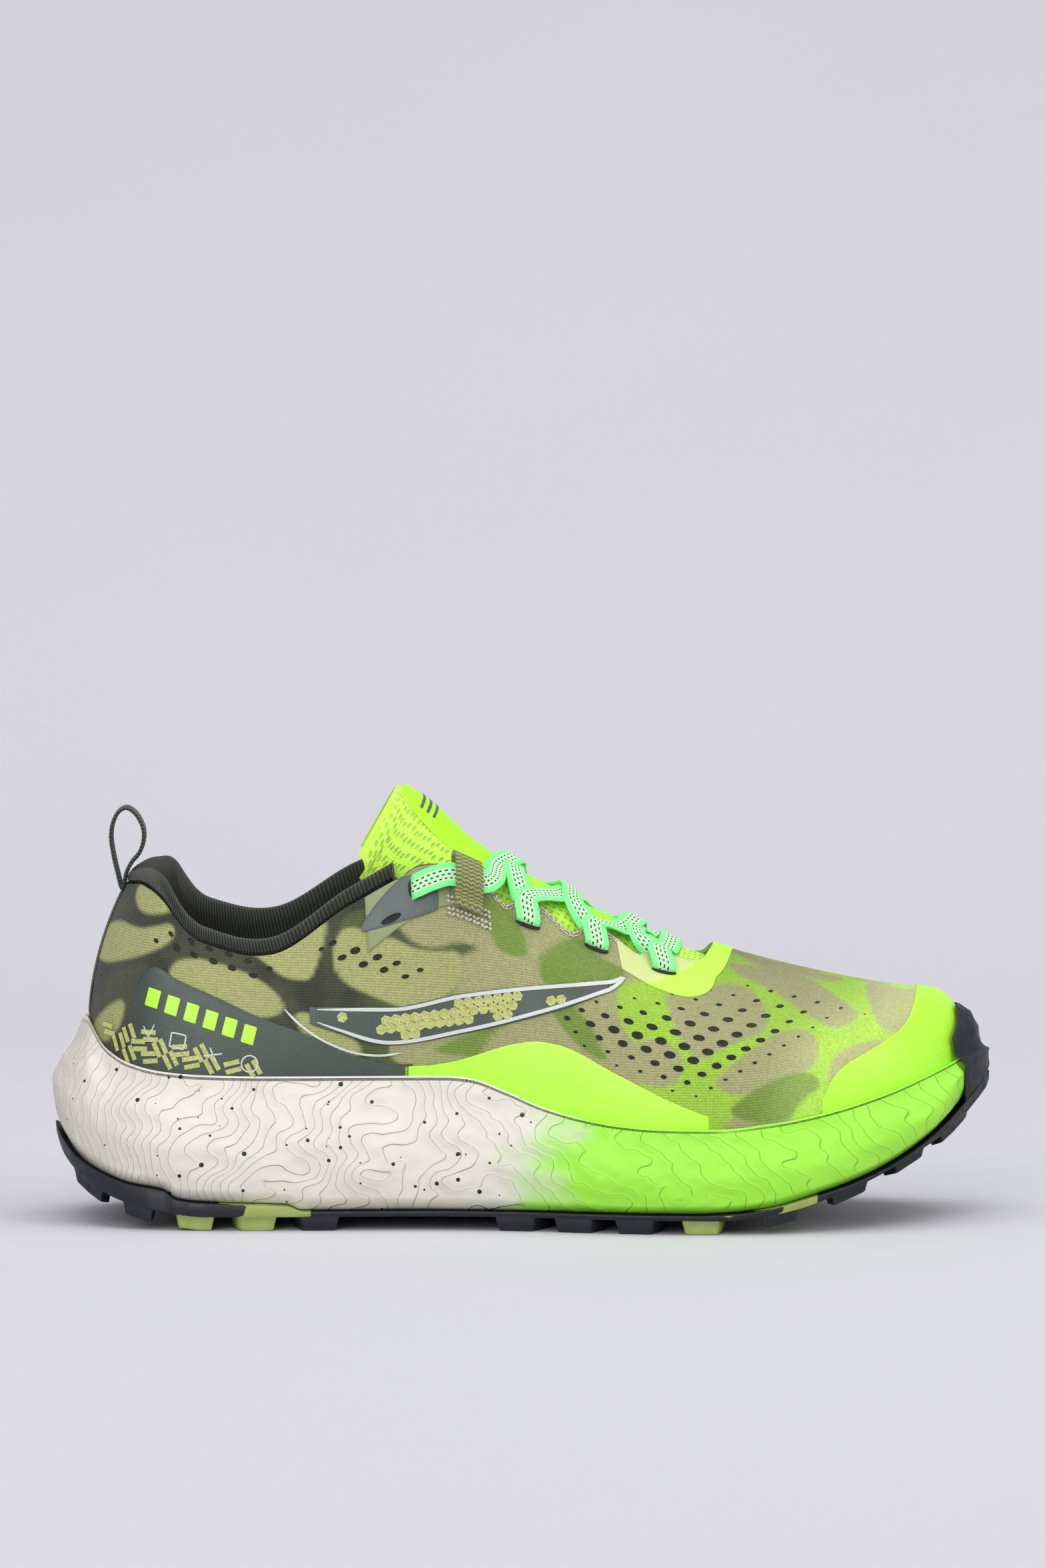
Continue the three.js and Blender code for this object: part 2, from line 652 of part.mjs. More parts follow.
// Eyestay patches round the two uppermost eyelets, and the patch round the front of the throat.
for (const [i, [name, side]] of Object.entries(SIDES).entries()) {
  const ends = [33.8, 41.6].map((s) => topStationAt(along(s), side));
  const patch = stationsOf(Math.min(...ends), Math.max(...ends), 5).map((k) => {
    const s = share(topRail(k).x);
    const down = THREE.MathUtils.lerp(18.5, 13, (s - 33.8) / 7.8);
    const top = Math.max(knitTop(fromHeel(k)) + 0.2, 1.2);
    return filmSection(k, vBelowTop(k, down), vBelowTop(k, top));
  });
  add(`eyestay_patch_${name}`, cut(sheet(patch), eyeletCutters[i]), DARK_FILM);
}
const throatLow = profile([
  [9.3, 0.86], [10, 0.8], [10.6, 0.78], [11.2, 0.82], [12, 0.9], [14, 0.945], [TOE, 0.96],
]);
const throatPatch = sheet(
  stationsOf(9.5, ROWS - 9.5, 3).map((k) => filmSection(k, throatLow(fromHeel(k)), 0.985)),
);
add("throat_patch", cut(throatPatch, eyeletCutters.flat()), LIME_FILM);

// Seam tape up the back of the heel.
const tape = stationsOf(-0.42, 0.42, 4).map((k) => filmSection(k, 0.06, vBelowTop(k, 10), 6));
add("heel_seam_tape", sheet(tape), WEBBING_OLIVE);

// Tongue: an arched sheet. Rows: x in hundredths of the length, height, half width, arch depth,
// and the half angle it spans.
const TONGUE_ROWS = [
  [72, 80.2, 20, 20, 48], [70, 83.6, 20, 21, 52], [67.7, 86.4, 19.5, 24, 58], [65.3, 88.7, 19, 26, 62],
  [62, 93.1, 19.5, 26, 66], [58.1, 98.1, 21, 24, 70], [55.4, 102.3, 21.5, 22, 70],
  [52.3, 107.3, 21, 23, 70], [49.5, 111.8, 20.5, 24, 72], [47.2, 116, 20, 25, 75],
  [44.3, 122.5, 19.2, 26, 78], [42.5, 127.6, 19, 27, 81], [40.8, 132.3, 18.8, 28, 84],
  [38.9, 136.8, 19.1, 28, 85], [36.8, 140.4, 20.3, 28, 80],
];
const tongueRail = new THREE.CatmullRomCurve3(
  TONGUE_ROWS.map(([s, z]) => new THREE.Vector3(along(s), 0, z)),
);
const tongueValue = (u, column) => {
  const at = THREE.MathUtils.clamp(u, 0, 1) * (TONGUE_ROWS.length - 1);
  const i = Math.min(Math.floor(at), TONGUE_ROWS.length - 2);
  return THREE.MathUtils.lerp(TONGUE_ROWS[i][column], TONGUE_ROWS[i + 1][column], at - i);
};

// A point of the tongue: u from its root to its tip, w from -1 to 1 across.
function tonguePoint(u, w, depth = 0) {
  const centre = tongueRail.getPoint(u);
  const forward = tongueRail.getTangent(u);
  const out = new THREE.Vector3(forward.z, 0, -forward.x);
  const [half, arch, span] = [2, 3, 4].map((column) => tongueValue(u, column));
  const angle = THREE.MathUtils.degToRad(span * w);
  const normal = out
    .clone()
    .multiplyScalar(half * Math.cos(angle))
    .add(new THREE.Vector3(0, arch * Math.sin(angle), 0))
    .normalize();
  return centre
    .addScaledVector(out, -arch * (1 - Math.cos(angle)))
    .add(new THREE.Vector3(0, half * Math.sin(angle), 0))
    .addScaledVector(normal, -depth);
}

function tongueSheet(uFrom, uTo, wide, outer, inner, steps) {
  const across = [-1, -0.75, -0.5, -0.25, 0, 0.25, 0.5, 0.75, 1].map((w) => w * wide);
  return sheet(
    Array.from({ length: steps + 1 }, (_, i) => {
      const u = uFrom + ((uTo - uFrom) * i) / steps;
      return {
        front: across.map((w) => tonguePoint(u, w, outer)),
        back: across.map((w) => tonguePoint(u, w, inner)),
      };
    }),
  );
}
const TONGUE_LINING = 1;
add("tongue_body", tongueSheet(0, 1, 1, 0, TONGUE - GAP, 14), TONGUE_MESH);
const LINING_LOW = TONGUE + 0.35;
add(
  "tongue_lining",
  tongueSheet(0.35, 0.985, 0.875, LINING_LOW, LINING_LOW + TONGUE_LINING, 9),
  COLLAR_KNIT,
);
add("tongue_face", tongueSheet(0.84, 0.975, 0.34, -GAP - FILM, -GAP, 4), LIME_FILM);

// A strap along a path of places, each with the direction across the strap.
function strap(places, width, thick, pitch) {
  const curve = new THREE.CatmullRomCurve3(places.map(({ at }) => at), false, "centripetal");
  const sections = [];
  const last = places.length - 1;
  for (let i = 0; i < last; i++) {
    const steps = Math.max(1, Math.round(places[i].at.distanceTo(places[i + 1].at) / pitch));
    for (let j = i === 0 ? 0 : 1; j <= steps; j++) {
      const t = (i + j / steps) / last;
      const centre = curve.getPoint(t);
      const tangent = curve.getTangent(t);
      const across = places[i].across.clone().lerp(places[i + 1].across, j / steps);
      across.addScaledVector(tangent, -across.dot(tangent)).setLength(width / 2);
      const up = across.clone().cross(tangent).setLength(thick / 2);
      const corner = (a, b) =>
        centre.clone().addScaledVector(across, a).addScaledVector(up, b);
      sections.push({ front: [corner(-1, 1), corner(1, 1)], back: [corner(-1, -1), corner(1, -1)] });
    }
  }
  return sheet(sections);
}

// The lace. Over the overlays it runs this far off the knit, and under the flap this deep.
const LACE_OVER = FILM_GAP + FILM + GAP + LACE / 2;
const LACE_UNDER = MESH + GAP + LACE / 2;
const THROAT_LINE = new THREE.Vector3(0.86, 0, -0.5); // forward along the throat

const onFlap = (s, sign, down, depth, across = null) => {
  const k = topStationAt(along(s), sign);
  const edge = topRail(k + 0.05).sub(topRail(k - 0.05)).multiplyScalar(-sign);
  return { at: belowTop(k, down, depth), across: (across ?? edge).clone().normalize() };
};
const overTongue = (s, y, lift, across = THROAT_LINE) => {
  let [low, high] = [0, 1];
  for (let i = 0; i < 20; i++) {
    const middle = (low + high) / 2;
    if (tonguePoint(middle, 0).x > along(s)) low = middle;
    else high = middle;
  }
  const u = (low + high) / 2;
  const half = tongueValue(u, 2);
  const w = THREE.MathUtils.radToDeg(Math.asin(y / half)) / tongueValue(u, 4);
  return { at: tonguePoint(u, w, -lift), across: across.clone() };
};

// Through one eyelet of a flap, from outside to the flap's edge underneath.
function throughEyelet({ s, down }, sign) {
  return [
    onFlap(s, sign, 0.2, -LACE_OVER - 0.5),
    onFlap(s, sign, down - 3, -LACE_OVER - 0.3),
    onFlap(s, sign, down - 1.1, -LACE_OVER),
    onFlap(s, sign, down - 0.4, MESH / 2),
    onFlap(s, sign, down - 1.2, LACE_UNDER + 0.5),
    onFlap(s, sign, down - 4, LACE_UNDER + 0.5),
    onFlap(s + 0.5, sign, 0.8, LACE_UNDER + 0.4),
    onFlap(s + 0.2, sign, -1.8, LACE_UNDER + 0.3),
  ];
}

const [FIRST, SECOND, THIRD, TOP] = EYELETS;
const KEEPER = { s: 43.8, down: 3.4 };
const CROSSINGS = [61.6, 54.7, 48.6];
const STRAND = LACE + GAP; // two strands lie this far apart where they cross

// One half of the lace, from the middle of the front bar to just inside the top eyelet.
function laceHalf(sign) {
  const lift = (level) => GAP + LACE / 2 + 0.6 + level * STRAND;
  const over = sign > 0 ? 1 : 0;
  const places = [overTongue(FIRST.s + 1.4, 0, lift(0.4))];
  places.push(overTongue(FIRST.s + 1.2, 9 * sign, lift(0.6)));
  let here = sign;
  [FIRST, SECOND, THIRD].forEach((eyelet, i) => {
    places.push(...throughEyelet(eyelet, here));
    const s = CROSSINGS[i];
    places.push(overTongue(s + 0.7, 9 * here, lift(0.7)));
    places.push(overTongue(s, 0, lift(over + 0.1)));
    places.push(overTongue(s - 1, -9 * here, lift(0.4)));
    here = -here;
  });
  const fall = (s, down) =>
    onFlap(s, here, down + 1, 0).at.sub(onFlap(s, here, down - 1, 0).at).normalize();
  const drop = fall(KEEPER.s, KEEPER.down);
  places.push(onFlap(KEEPER.s + 2.9, here, -1.8, -1.6));
  places.push(onFlap(KEEPER.s + 1.6, here, KEEPER.down - 1, -LACE_OVER - 1.7, drop));
  places.push(onFlap(KEEPER.s, here, KEEPER.down, -KEEPER_HEIGHT, drop));
  places.push(onFlap(KEEPER.s - 1.8, here, KEEPER.down + 0.6, -LACE_OVER - 1, drop));
  places.push(onFlap(TOP.s + 1.8, here, TOP.down - 1, -LACE_OVER - 0.8, drop));
  places.push(onFlap(TOP.s + 0.35, here, TOP.down, -LACE_OVER - 0.1, fall(TOP.s, TOP.down)));
  places.push(onFlap(TOP.s - 0.1, here, TOP.down, MESH - 1.3, fall(TOP.s, TOP.down)));
  return places;
}

// Webbing keepers on the flaps, each a loop the lace runs through.
const KEEPER_HEIGHT = 3.3;
function keeper(sign) {
  const k = topStationAt(along(KEEPER.s), sign);
  const ring = [
    [16, 1.5], [9.5, 1.4], [2, 1.4], [-3, 1.8], [-3.4, 4.4],
    [0.5, 5.6], [6, 5.6], [9.4, 4], [11.4, 3.4], [16, 3.4],
  ];
  const edge = topRail(k + 0.05).sub(topRail(k - 0.05)).setLength(4.75);
  const place = (down, out, end) => belowTop(k, down, -out).addScaledVector(edge, end);
  const sections = ring.map(([down, out], i) => {
    const before = ring[(i + ring.length - 1) % ring.length];
    const after = ring[(i + 1) % ring.length];
    const [dx, dy] = [after[0] - before[0], after[1] - before[1]];
    const length = Math.hypot(dx, dy);
    const [nx, ny] = [(-dy / length) * (WEBBING / 2), (dx / length) * (WEBBING / 2)];
    return {
      front: [place(down + nx, out + ny, -1), place(down + nx, out + ny, 1)],
      back: [place(down - nx, out - ny, -1), place(down - nx, out - ny, 1)],
    };
  });
  return sheet(sections, true);
}

// Free tails from the top eyelets down inside the shoe and forward over the insole.
function tail(sign) {
  const k = topStationAt(along(TOP.s), sign);
  const ahead = new THREE.Vector3(1, 0, 0);
  const floor = (x, y, across, lift = 0) => ({
    at: new THREE.Vector3(x, y * sign, bedHeight(share(x)) + FOAM + INSOLE_TOP + GAP + LACE + lift),
    across: across.clone(),
  });
  const inward = new THREE.Vector3(0, -sign, 0);
  const drop = belowTop(k, 9, 0).sub(belowTop(k, 7, 0)).normalize();
  return [
    { at: belowTop(k, TOP.down + 0.2, MESH - 1.3 + LACE_WIDTH / 2), across: drop },
    { at: belowTop(k, TOP.down + 1.6, MESH - 1.15 + LACE_WIDTH / 2), across: drop.clone().add(ahead) },
    { at: belowTop(k, TOP.down + 8, MESH + 2.1), across: ahead },
    { at: belowTop(k, TOP.down + 24, MESH + 2), across: ahead },
    { at: belowTop(k, TOP.down + 44, MESH + 2.6), across: ahead },
    floor(along(38), 26, ahead, 9),
    floor(along(38.4), 21, ahead, 3.6),
    floor(along(39.6), 14, ahead.clone().add(inward), 2.4),
    floor(along(45), 10, inward),
    floor(along(54), 13, inward),
    floor(along(64), 22, inward),
    floor(along(72), 19, inward),
  ];
}

// The aglet that ends a tail, a crimped sleeve in line with it.
const AGLET = { length: 20, width: 4.4, thick: 2.2, rise: 4 }; // the bed climbs toward the toe
function aglet(sign) {
  const places = tail(sign);
  const [before, last] = places.slice(-2);
  const ahead = last.at.clone().sub(before.at).normalize();
  ahead.z = 0;
  const start = last.at.clone().addScaledVector(ahead, GAP);
  start.z += (AGLET.thick - LACE) / 2;
  const end = start.clone().addScaledVector(ahead, AGLET.length);
  end.z += AGLET.rise;
  const across = last.across;
  return strap([{ at: start, across }, { at: end, across }], AGLET.width, AGLET.thick, 10);
}

const halves = [laceHalf(1), laceHalf(-1)];
add("lace", strap([...halves[0].slice(1).reverse(), ...halves[1]], LACE_WIDTH, LACE, 8), LACE_MINT);
for (const [name, sign] of Object.entries(SIDES)) {
  add(`lace_keeper_${name}`, keeper(sign), WEBBING_KHAKI);
  add(`lace_tail_${name}`, strap(tail(sign), LACE_WIDTH, LACE, 14), LACE_MINT);
  add(`aglet_${name}`, aglet(sign), FOAM_WHITE);
}

// Pull loop: webbing folded into a drop-shaped ring behind the collar. Its middle line, as the
// distance ahead of the heel's skin, or of its top edge where it is above that, and height above
// the foam's underside, from the sewn base round.
const PULL_LOOP = [
  [-0.37, 99.4], [-5.3, 105], [-7.26, 111.3], [-7.87, 116.5], [-7.11, 121], [-5.14, 124.4],
  [-2.87, 125.4], [-0.6, 124.2], [1.37, 121.6], [2.59, 118.4], [2.59, 114.9], [1.22, 110.9],
  [-1.2, 107.9], [-2.08, 104.7],
];
const PULL_LOOP_WIDTH = 11;
function pullLoop() {
  const heelTop = topRail(0).z - 0.01;
  const heelAt = (z) => skin(0, vAtHeight(0, Math.min(z, heelTop))).x;
  const ring = new THREE.CatmullRomCurve3(
    PULL_LOOP.map(([x, z]) => new THREE.Vector3(heelAt(z + FOAM) + x, 0, z + FOAM)),
    true,
  );
  const steps = 24;
  const sections = Array.from({ length: steps }, (_, i) => {
    const centre = ring.getPointAt(i / steps);
    const tangent = ring.getTangentAt(i / steps);
    const out = new THREE.Vector3(-tangent.z, 0, tangent.x).setLength(WEBBING / 2);
    const corner = (a, b) =>
      centre
        .clone()
        .addScaledVector(out, b)
        .add(new THREE.Vector3(0, (a * PULL_LOOP_WIDTH) / 2, 0));
    return { front: [corner(-1, 1), corner(1, 1)], back: [corner(-1, -1), corner(1, -1)] };
  });
  return sheet(sections, true);
}
add("heel_pull_loop", pullLoop(), WEBBING_OLIVE);

// The origin stands under the middle of the shoe.
const box = new THREE.Box3().setFromObject(shoe);
shoe.children.forEach((mesh) => {
  const [x, y] = [(box.min.x + box.max.x) / 2, (box.min.y + box.max.y) / 2];
  mesh.geometry.translate(-x, -y, -box.min.z);
});

export default shoe;
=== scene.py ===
"""Trail running shoe for the right foot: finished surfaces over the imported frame.

Everything follows one form, the last: stations that run round the shoe from the back of the
heel, along the outer side, over the toe and back along the inner side. Sizes are in
millimetres, from the back of the heel, until a piece is built; the frame is in metres.
"""
import logging
import math
from dataclasses import dataclass, field
from enum import Enum
from typing import Optional, Sequence

import bpy
import numpy as np
from mathutils import Matrix, Vector


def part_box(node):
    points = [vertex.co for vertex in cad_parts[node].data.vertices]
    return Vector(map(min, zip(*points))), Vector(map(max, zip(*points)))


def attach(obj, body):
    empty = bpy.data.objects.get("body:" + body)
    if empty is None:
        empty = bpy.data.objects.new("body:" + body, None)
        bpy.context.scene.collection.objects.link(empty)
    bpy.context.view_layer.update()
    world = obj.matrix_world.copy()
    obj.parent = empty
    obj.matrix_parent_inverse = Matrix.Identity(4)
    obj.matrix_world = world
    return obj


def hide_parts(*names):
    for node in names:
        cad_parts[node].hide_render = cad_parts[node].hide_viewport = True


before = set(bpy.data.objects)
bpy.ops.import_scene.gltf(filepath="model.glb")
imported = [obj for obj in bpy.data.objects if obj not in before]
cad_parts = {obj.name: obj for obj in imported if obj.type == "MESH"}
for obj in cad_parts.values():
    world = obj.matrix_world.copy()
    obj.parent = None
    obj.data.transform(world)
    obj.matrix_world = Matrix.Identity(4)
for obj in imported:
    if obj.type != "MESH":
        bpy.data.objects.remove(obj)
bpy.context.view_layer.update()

MM = 0.001

logging.basicConfig(level=logging.INFO, format="%(message)s")
log = logging.getLogger("trail_shoe")

Array = np.ndarray
Places = Sequence[Sequence[float]]


class Body(Enum):
    """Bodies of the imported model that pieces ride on."""

    SHOE = "shoe"
    TONGUE = "tongue"
    LOOP = "pull_loop"


class Side(Enum):
    """The shoe's two sides, by the sign of their Y."""

    LATERAL = -1
    MEDIAL = 1

    @property
    def word(self) -> str:
        """Name of the side as it stands in the frame's node names."""
        return self.name.lower()


class Paint(Enum):
    """Colours of the finished surfaces, as sRGB."""

    BONE = "#dfdbcf"
    FOAM_LIME = "#a2ea45"
    SPECK = "#23251f"
    NAVY = "#11141b"
    HEEL_DARK = "#45483b"
    OLIVE = "#5f6b41"
    SAND = "#c4c983"
    KHAKI = "#c0c088"
    KNIT_LIME = "#b9ee48"
    KNIT_GREEN = "#88a947"
    FILM_LIME = "#b6fb3e"
    FILM_SAND = "#c3cf84"
    FILM_DARK = "#3f4a42"
    FILM_SLATE = "#535c59"
    PRINT = "#c9cdc9"
    TONGUE = "#c9fb5c"
    TONGUE_FACE = "#aefd1c"
    LACE_EDGE = "#86ff96"
    LACE_CORE = "#c4fcc0"
    LACE_DASH = "#2b3a26"
    THREAD = "#d9d8c4"
    BOARD = "#6b6963"
    AGLET = "#a9f7b0"
    FLOOR = "#d6d5db"


def linear(colour: str) -> tuple[float, float, float, float]:
    """Turn an sRGB hex colour into linear light.

    Args:
        colour: Colour as "#rrggbb".

    Returns:
        Red, green, blue and an alpha of 1.
    """
    parts = [int(colour[i : i + 2], 16) / 255 for i in (1, 3, 5)]
    light = [c / 12.92 if c <= 0.04045 else ((c + 0.055) / 1.055) ** 2.4 for c in parts]
    return (light[0], light[1], light[2], 1.0)


# ---------------------------------------------------------------------------------------------
# The last
# ---------------------------------------------------------------------------------------------


@dataclass(frozen=True)
class Size:
    """Driving sizes of the shoe, the same as the frame's."""

    length: float = 303
    ball: float = 111
    waist: float = 82
    heel: float = 91
    lug: float = 4.4
    rubber: float = 2.2
    rim_wall: float = 2.2
    mesh: float = 1.8
    film: float = 0.6
    gap: float = 0.35
    film_gap: float = 0.5
    lace_width: float = 7
    lace: float = 1.1
    board: float = 1.5
    insole: float = 4
    counter: float = 1.2
    tongue: float = 3.6
    webbing: float = 1.3
    loop_width: float = 11

    @property
    def foam(self) -> float:
        """Height of the foam's underside in the flat stretch."""
        return self.lug + self.rubber


SIZE = Size()

# Each row: outline of the sole x, y, then the upper's top edge x, y, z, with x in hundredths of
# the length, y as a share of the half width there and z above the foam's underside.
STATIONS = np.array([
    [0, 0, 8.9, 0, 105.9],
    [1.2, -0.4, 9.4, -0.2, 106.6],
    [4, -0.69, 10.7, -0.37, 106.8],
    [9, -0.91, 12.7, -0.505, 101.9],
    [16, -1, 16.4, -0.58, 86.2],
    [24.8, -1.02, 23.8, -0.615, 82],
    [33, -1.04, 32, -0.59, 97.9],
    [41.3, -1.06, 40.6, -0.6, 109.4],
    [49.5, -1.06, 48.8, -0.475, 98.9],
    [57.8, -1.06, 56.4, -0.385, 89.9],
    [65.3, -1.04, 62.7, -0.315, 81.7],
    [72.6, -1.02, 66.8, -0.26, 78.6],
    [79.2, -0.965, 68.7, -0.185, 78.7],
    [85.5, -0.83, 69.5, -0.12, 79.9],
    [90.8, -0.65, 69.85, -0.065, 80.9],
    [95, -0.425, 69.95, -0.025, 81.6],
    [98.3, -0.16, 70, 0.0, 81.8],
    [100, 0.09, 69.95, 0.03, 81.8],
    [99.5, 0.29, 69.9, 0.06, 81.4],
    [97, 0.505, 69.7, 0.1, 80.7],
    [93, 0.695, 69.3, 0.15, 79.7],
    [87.8, 0.845, 68.5, 0.205, 78.9],
    [81.5, 0.945, 67.2, 0.26, 78.8],
    [74.3, 0.98, 64.7, 0.3, 80.9],
    [67, 0.975, 61.4, 0.33, 84.4],
    [59.4, 0.955, 56.4, 0.385, 90.9],
    [51.2, 0.94, 49.5, 0.475, 99.4],
    [42.3, 0.935, 40.6, 0.6, 110.4],
    [33, 0.94, 32, 0.6, 101.4],
    [24.8, 0.965, 23.8, 0.615, 87.4],
    [16, 0.99, 16.5, 0.58, 91.4],
    [9, 0.91, 12.9, 0.505, 106.4],
    [4, 0.69, 10.7, 0.37, 108.4],
    [1.2, 0.4, 9.4, 0.2, 107.2],
])
ROWS = len(STATIONS)
TOE = 17  # row of the toe's tip


class Profile:
    """A monotone cubic through places and values."""

    def __init__(self, *rows: Sequence[float]) -> None:
        """Fit the curve.

        Args:
            rows: Pairs of place and value, in rising order of place.
        """
        self.place, self.value = (np.array(column, float) for column in zip(*rows))
        slope = np.diff(self.value) / np.diff(self.place)
        total = slope[:-1] + slope[1:]
        total[total == 0] = 1
        inner = np.where(slope[:-1] * slope[1:] <= 0, 0, 2 * slope[:-1] * slope[1:] / total)
        self.tangent = np.concatenate([slope[:1], inner, slope[-1:]])

    def __call__(self, x: Array) -> Array:
        """Read the curve, held level past its ends.

        Args:
            x: Places.

        Returns:
            Values at those places.
        """
        x = np.asarray(x, float)
        i = np.clip(np.searchsorted(self.place, x, side="right") - 1, 0, len(self.place) - 2)
        width = self.place[i + 1] - self.place[i]
        t = np.clip((x - self.place[i]) / width, 0, 1)
        t2, t3 = t * t, t * t * t
        ends = self.value[i] * (2 * t3 - 3 * t2 + 1) + self.value[i + 1] * (3 * t2 - 2 * t3)
        bend = self.tangent[i] * (t3 - 2 * t2 + t) + self.tangent[i + 1] * (t3 - t2)
        return ends + width * bend


def along(hundredths: Array) -> Array:
    """Millimetres from the back of the heel, from hundredths of the length."""
    return np.asarray(hundredths, float) / 100 * SIZE.length


def share(x: Array) -> Array:
    """Hundredths of the length, from millimetres from the back of the heel."""
    return np.asarray(x, float) / SIZE.length * 100


def from_heel(k: Array) -> Array:
    """Stations away from the back of the heel, on either side."""
    row = np.mod(k, ROWS)
    return np.minimum(row, ROWS - row)


def unit(vectors: Array) -> Array:
    """Vectors scaled to length 1."""
    return vectors / np.maximum(np.linalg.norm(vectors, axis=-1, keepdims=True), 1e-12)


def smooth(x: Array, low: float, high: float) -> Array:
    """A soft step from 0 at low to 1 at high."""
    t = np.clip((np.asarray(x, float) - low) / (high - low), 0, 1)
    return t * t * (3 - 2 * t)


def mix(a: Array, b: Array, t: Array) -> Array:
    """Blend from a to b."""
    return a + (b - a) * t


class Last:
    """The form that every shell of the shoe follows."""

    half_width = Profile((0, SIZE.heel / 2), (18, SIZE.heel / 2), (42, SIZE.waist / 2),
                         (70, SIZE.ball / 2), (100, SIZE.ball / 2))
    rim_height = Profile(
        (4, 58.4), (6, 50), (8.5, 45.8), (12, 43.5), (16, 42.6), (23, 42.2), (42, 42.3),
        (44.5, 41.6), (48, 37.9), (52, 32.9), (56, 29.6), (60, 27.6), (64, 26.7), (70, 26.5),
        (76, 28.2), (82, 31.4), (88, 36.2), (93, 41.4), (98, 46.9))
    rubber_top = Profile(
        (0, 26.4), (1.3, 20.7), (3.1, 15.3), (5, 12.1), (8.5, 8.3), (12.2, 6.5), (13.6, 3.7),
        (16, 2.8), (25.2, 1.8), (26.8, 0), (50, 0), (68, 0), (72, 0.5), (76, 2.1), (80, 5.3),
        (84, 8.9), (88, 13.8), (92, 20.6), (95, 27.4), (98, 36), (100, 42))
    tread_line = Profile(
        (0, 27), (1.5, 18), (5.4, 8.3), (9, 4), (13, 1.2), (17, 0), (70, 0), (75, 2), (79, 4.8),
        (83, 9), (87, 14), (91, 20.4), (95, 27.5), (98, 36), (100, 43))
    lug_depth = Profile((0, 0.75), (20, 1), (68, 1), (78, 0.75), (90, 0.6), (100, 0.5))
    bed_height = Profile((3, 31), (10, 28), (25, 25.3), (45, 21.8), (60, 19.2), (72, 18.8),
                         (85, 24.2), (93, 32.2), (98, 38.5))
    rim_inset = Profile((0, 9.6), (2, 8.5), (4, 6.5), (8, 5.2), (12, 4.8), (15, 5), (TOE, 6))
    foam_inset = Profile((0, 0), (14.8, 0), (16, 3.4), (TOE, 4.4))
    wall_share = Profile((0, 0.55), (5, 0.5), (8, 0.48), (11, 0.46), (14, 0.5), (TOE, 0.56))
    wall_run = Profile((0, 1), (5, 1), (7, 0.75), (9, 0.45), (11, 0.34), (14, 0.2), (TOE, 0.15))
    slope_power = Profile((0, 1), (8, 1.05), (11, 1.2), (14, 1.5), (TOE, 1.6))

    def __init__(self) -> None:
        """Lay the two rails, the sole's outline and the upper's top edge."""
        self.views: dict[Side, tuple[Array, Array, Array]] = {}
        x, y, top_x, top_y, top_z = STATIONS.T
        flat = np.zeros(ROWS)
        self.outline_rows = np.stack([along(x), y * self.half_width(x), flat], -1)
        self.top_rows = np.stack(
            [along(top_x), top_y * self.half_width(top_x), top_z + SIZE.foam], -1)

    @staticmethod
    def rail(rows: Array, k: Array) -> Array:
        """Points of a closed spline through rows at station k."""
        k = np.mod(np.asarray(k, float), ROWS)
        i = np.floor(k).astype(int) % ROWS
        t = (k - np.floor(k))[..., None]
        a, b, c, d = (rows[(i + step) % ROWS] for step in (-1, 0, 1, 2))
        start, end = (c - a) / 2, (d - b) / 2
        curve = (-3 * b + 3 * c - 2 * start - end) * t + start
        return b + t * curve + (2 * b - 2 * c + start + end) * t**3

    def top(self, k: Array) -> Array:
        """Points of the upper's top edge."""
        return self.rail(self.top_rows, k)

    def outline(self, k: Array, inset: Array = 0) -> Array:
        """Points of the sole's outline, moved in by that much."""
        k, inset = np.broadcast_arrays(np.asarray(k, float), np.asarray(inset, float))
        ahead = unit(self.rail(self.outline_rows, k + 0.05)
                     - self.rail(self.outline_rows, k - 0.05))
        inward = np.stack([-ahead[..., 1], ahead[..., 0], np.zeros(k.shape)], -1)
        return self.rail(self.outline_rows, k) + inward * inset[..., None]

    def feather(self, k: Array) -> Array:
        """Inset of the line where the upper meets the foam's lip."""
        return self.rim_inset(from_heel(k)) + SIZE.rim_wall + SIZE.gap

    def skin(self, k: Array, v: Array) -> Array:
        """Points of the upper's outer face, from the foam's lip, 0, to the top edge, 1."""
        k, v = np.broadcast_arrays(np.asarray(k, float), np.asarray(v, float))
        foot, top = self.outline(k, self.feather(k)), self.top(k)
        row, run = from_heel(k), v * v
        climb = np.minimum(run / self.wall_run(row), 1)
        wall = self.wall_share(row)
        rise = wall * np.sqrt(1 - (1 - climb) ** 2) + (1 - wall) * run ** self.slope_power(row)
        foam_top = self.rim_height(share(foot[..., 0])) + SIZE.foam
        flat = mix(foot, top, run[..., None])
        return np.stack([flat[..., 0], flat[..., 1], mix(foam_top, top[..., 2], rise)], -1)

    def normal(self, k: Array, v: Array) -> Array:
        """Outward directions of the upper's face."""
        k, v = np.broadcast_arrays(np.asarray(k, float), np.asarray(v, float))
        up = self.skin(k, np.minimum(v + 0.02, 1)) - self.skin(k, np.maximum(v - 0.02, 0.001))
        return unit(np.cross(self.skin(k + 0.05, v) - self.skin(k - 0.05, v), up))

    def wall(self, k: Array, v: Array, depth: Array = 0) -> Array:
        """Points under the upper's outer face; below 0, v goes down to the footbed at -1."""
        k, v, depth = np.broadcast_arrays(*(np.asarray(a, float) for a in (k, v, depth)))
        high = np.maximum(v, 0)
        point = self.skin(k, high) - self.normal(k, np.maximum(high, 0.06)) * depth[..., None]
        floor = self.bed_height(share(point[..., 0])) + SIZE.foam + SIZE.gap
        low = self.outline(k, self.feather(k) + depth)
        low[..., 2] = mix(point[..., 2], floor, -np.minimum(v, 0))
        return np.where((v < 0)[..., None], low, point)

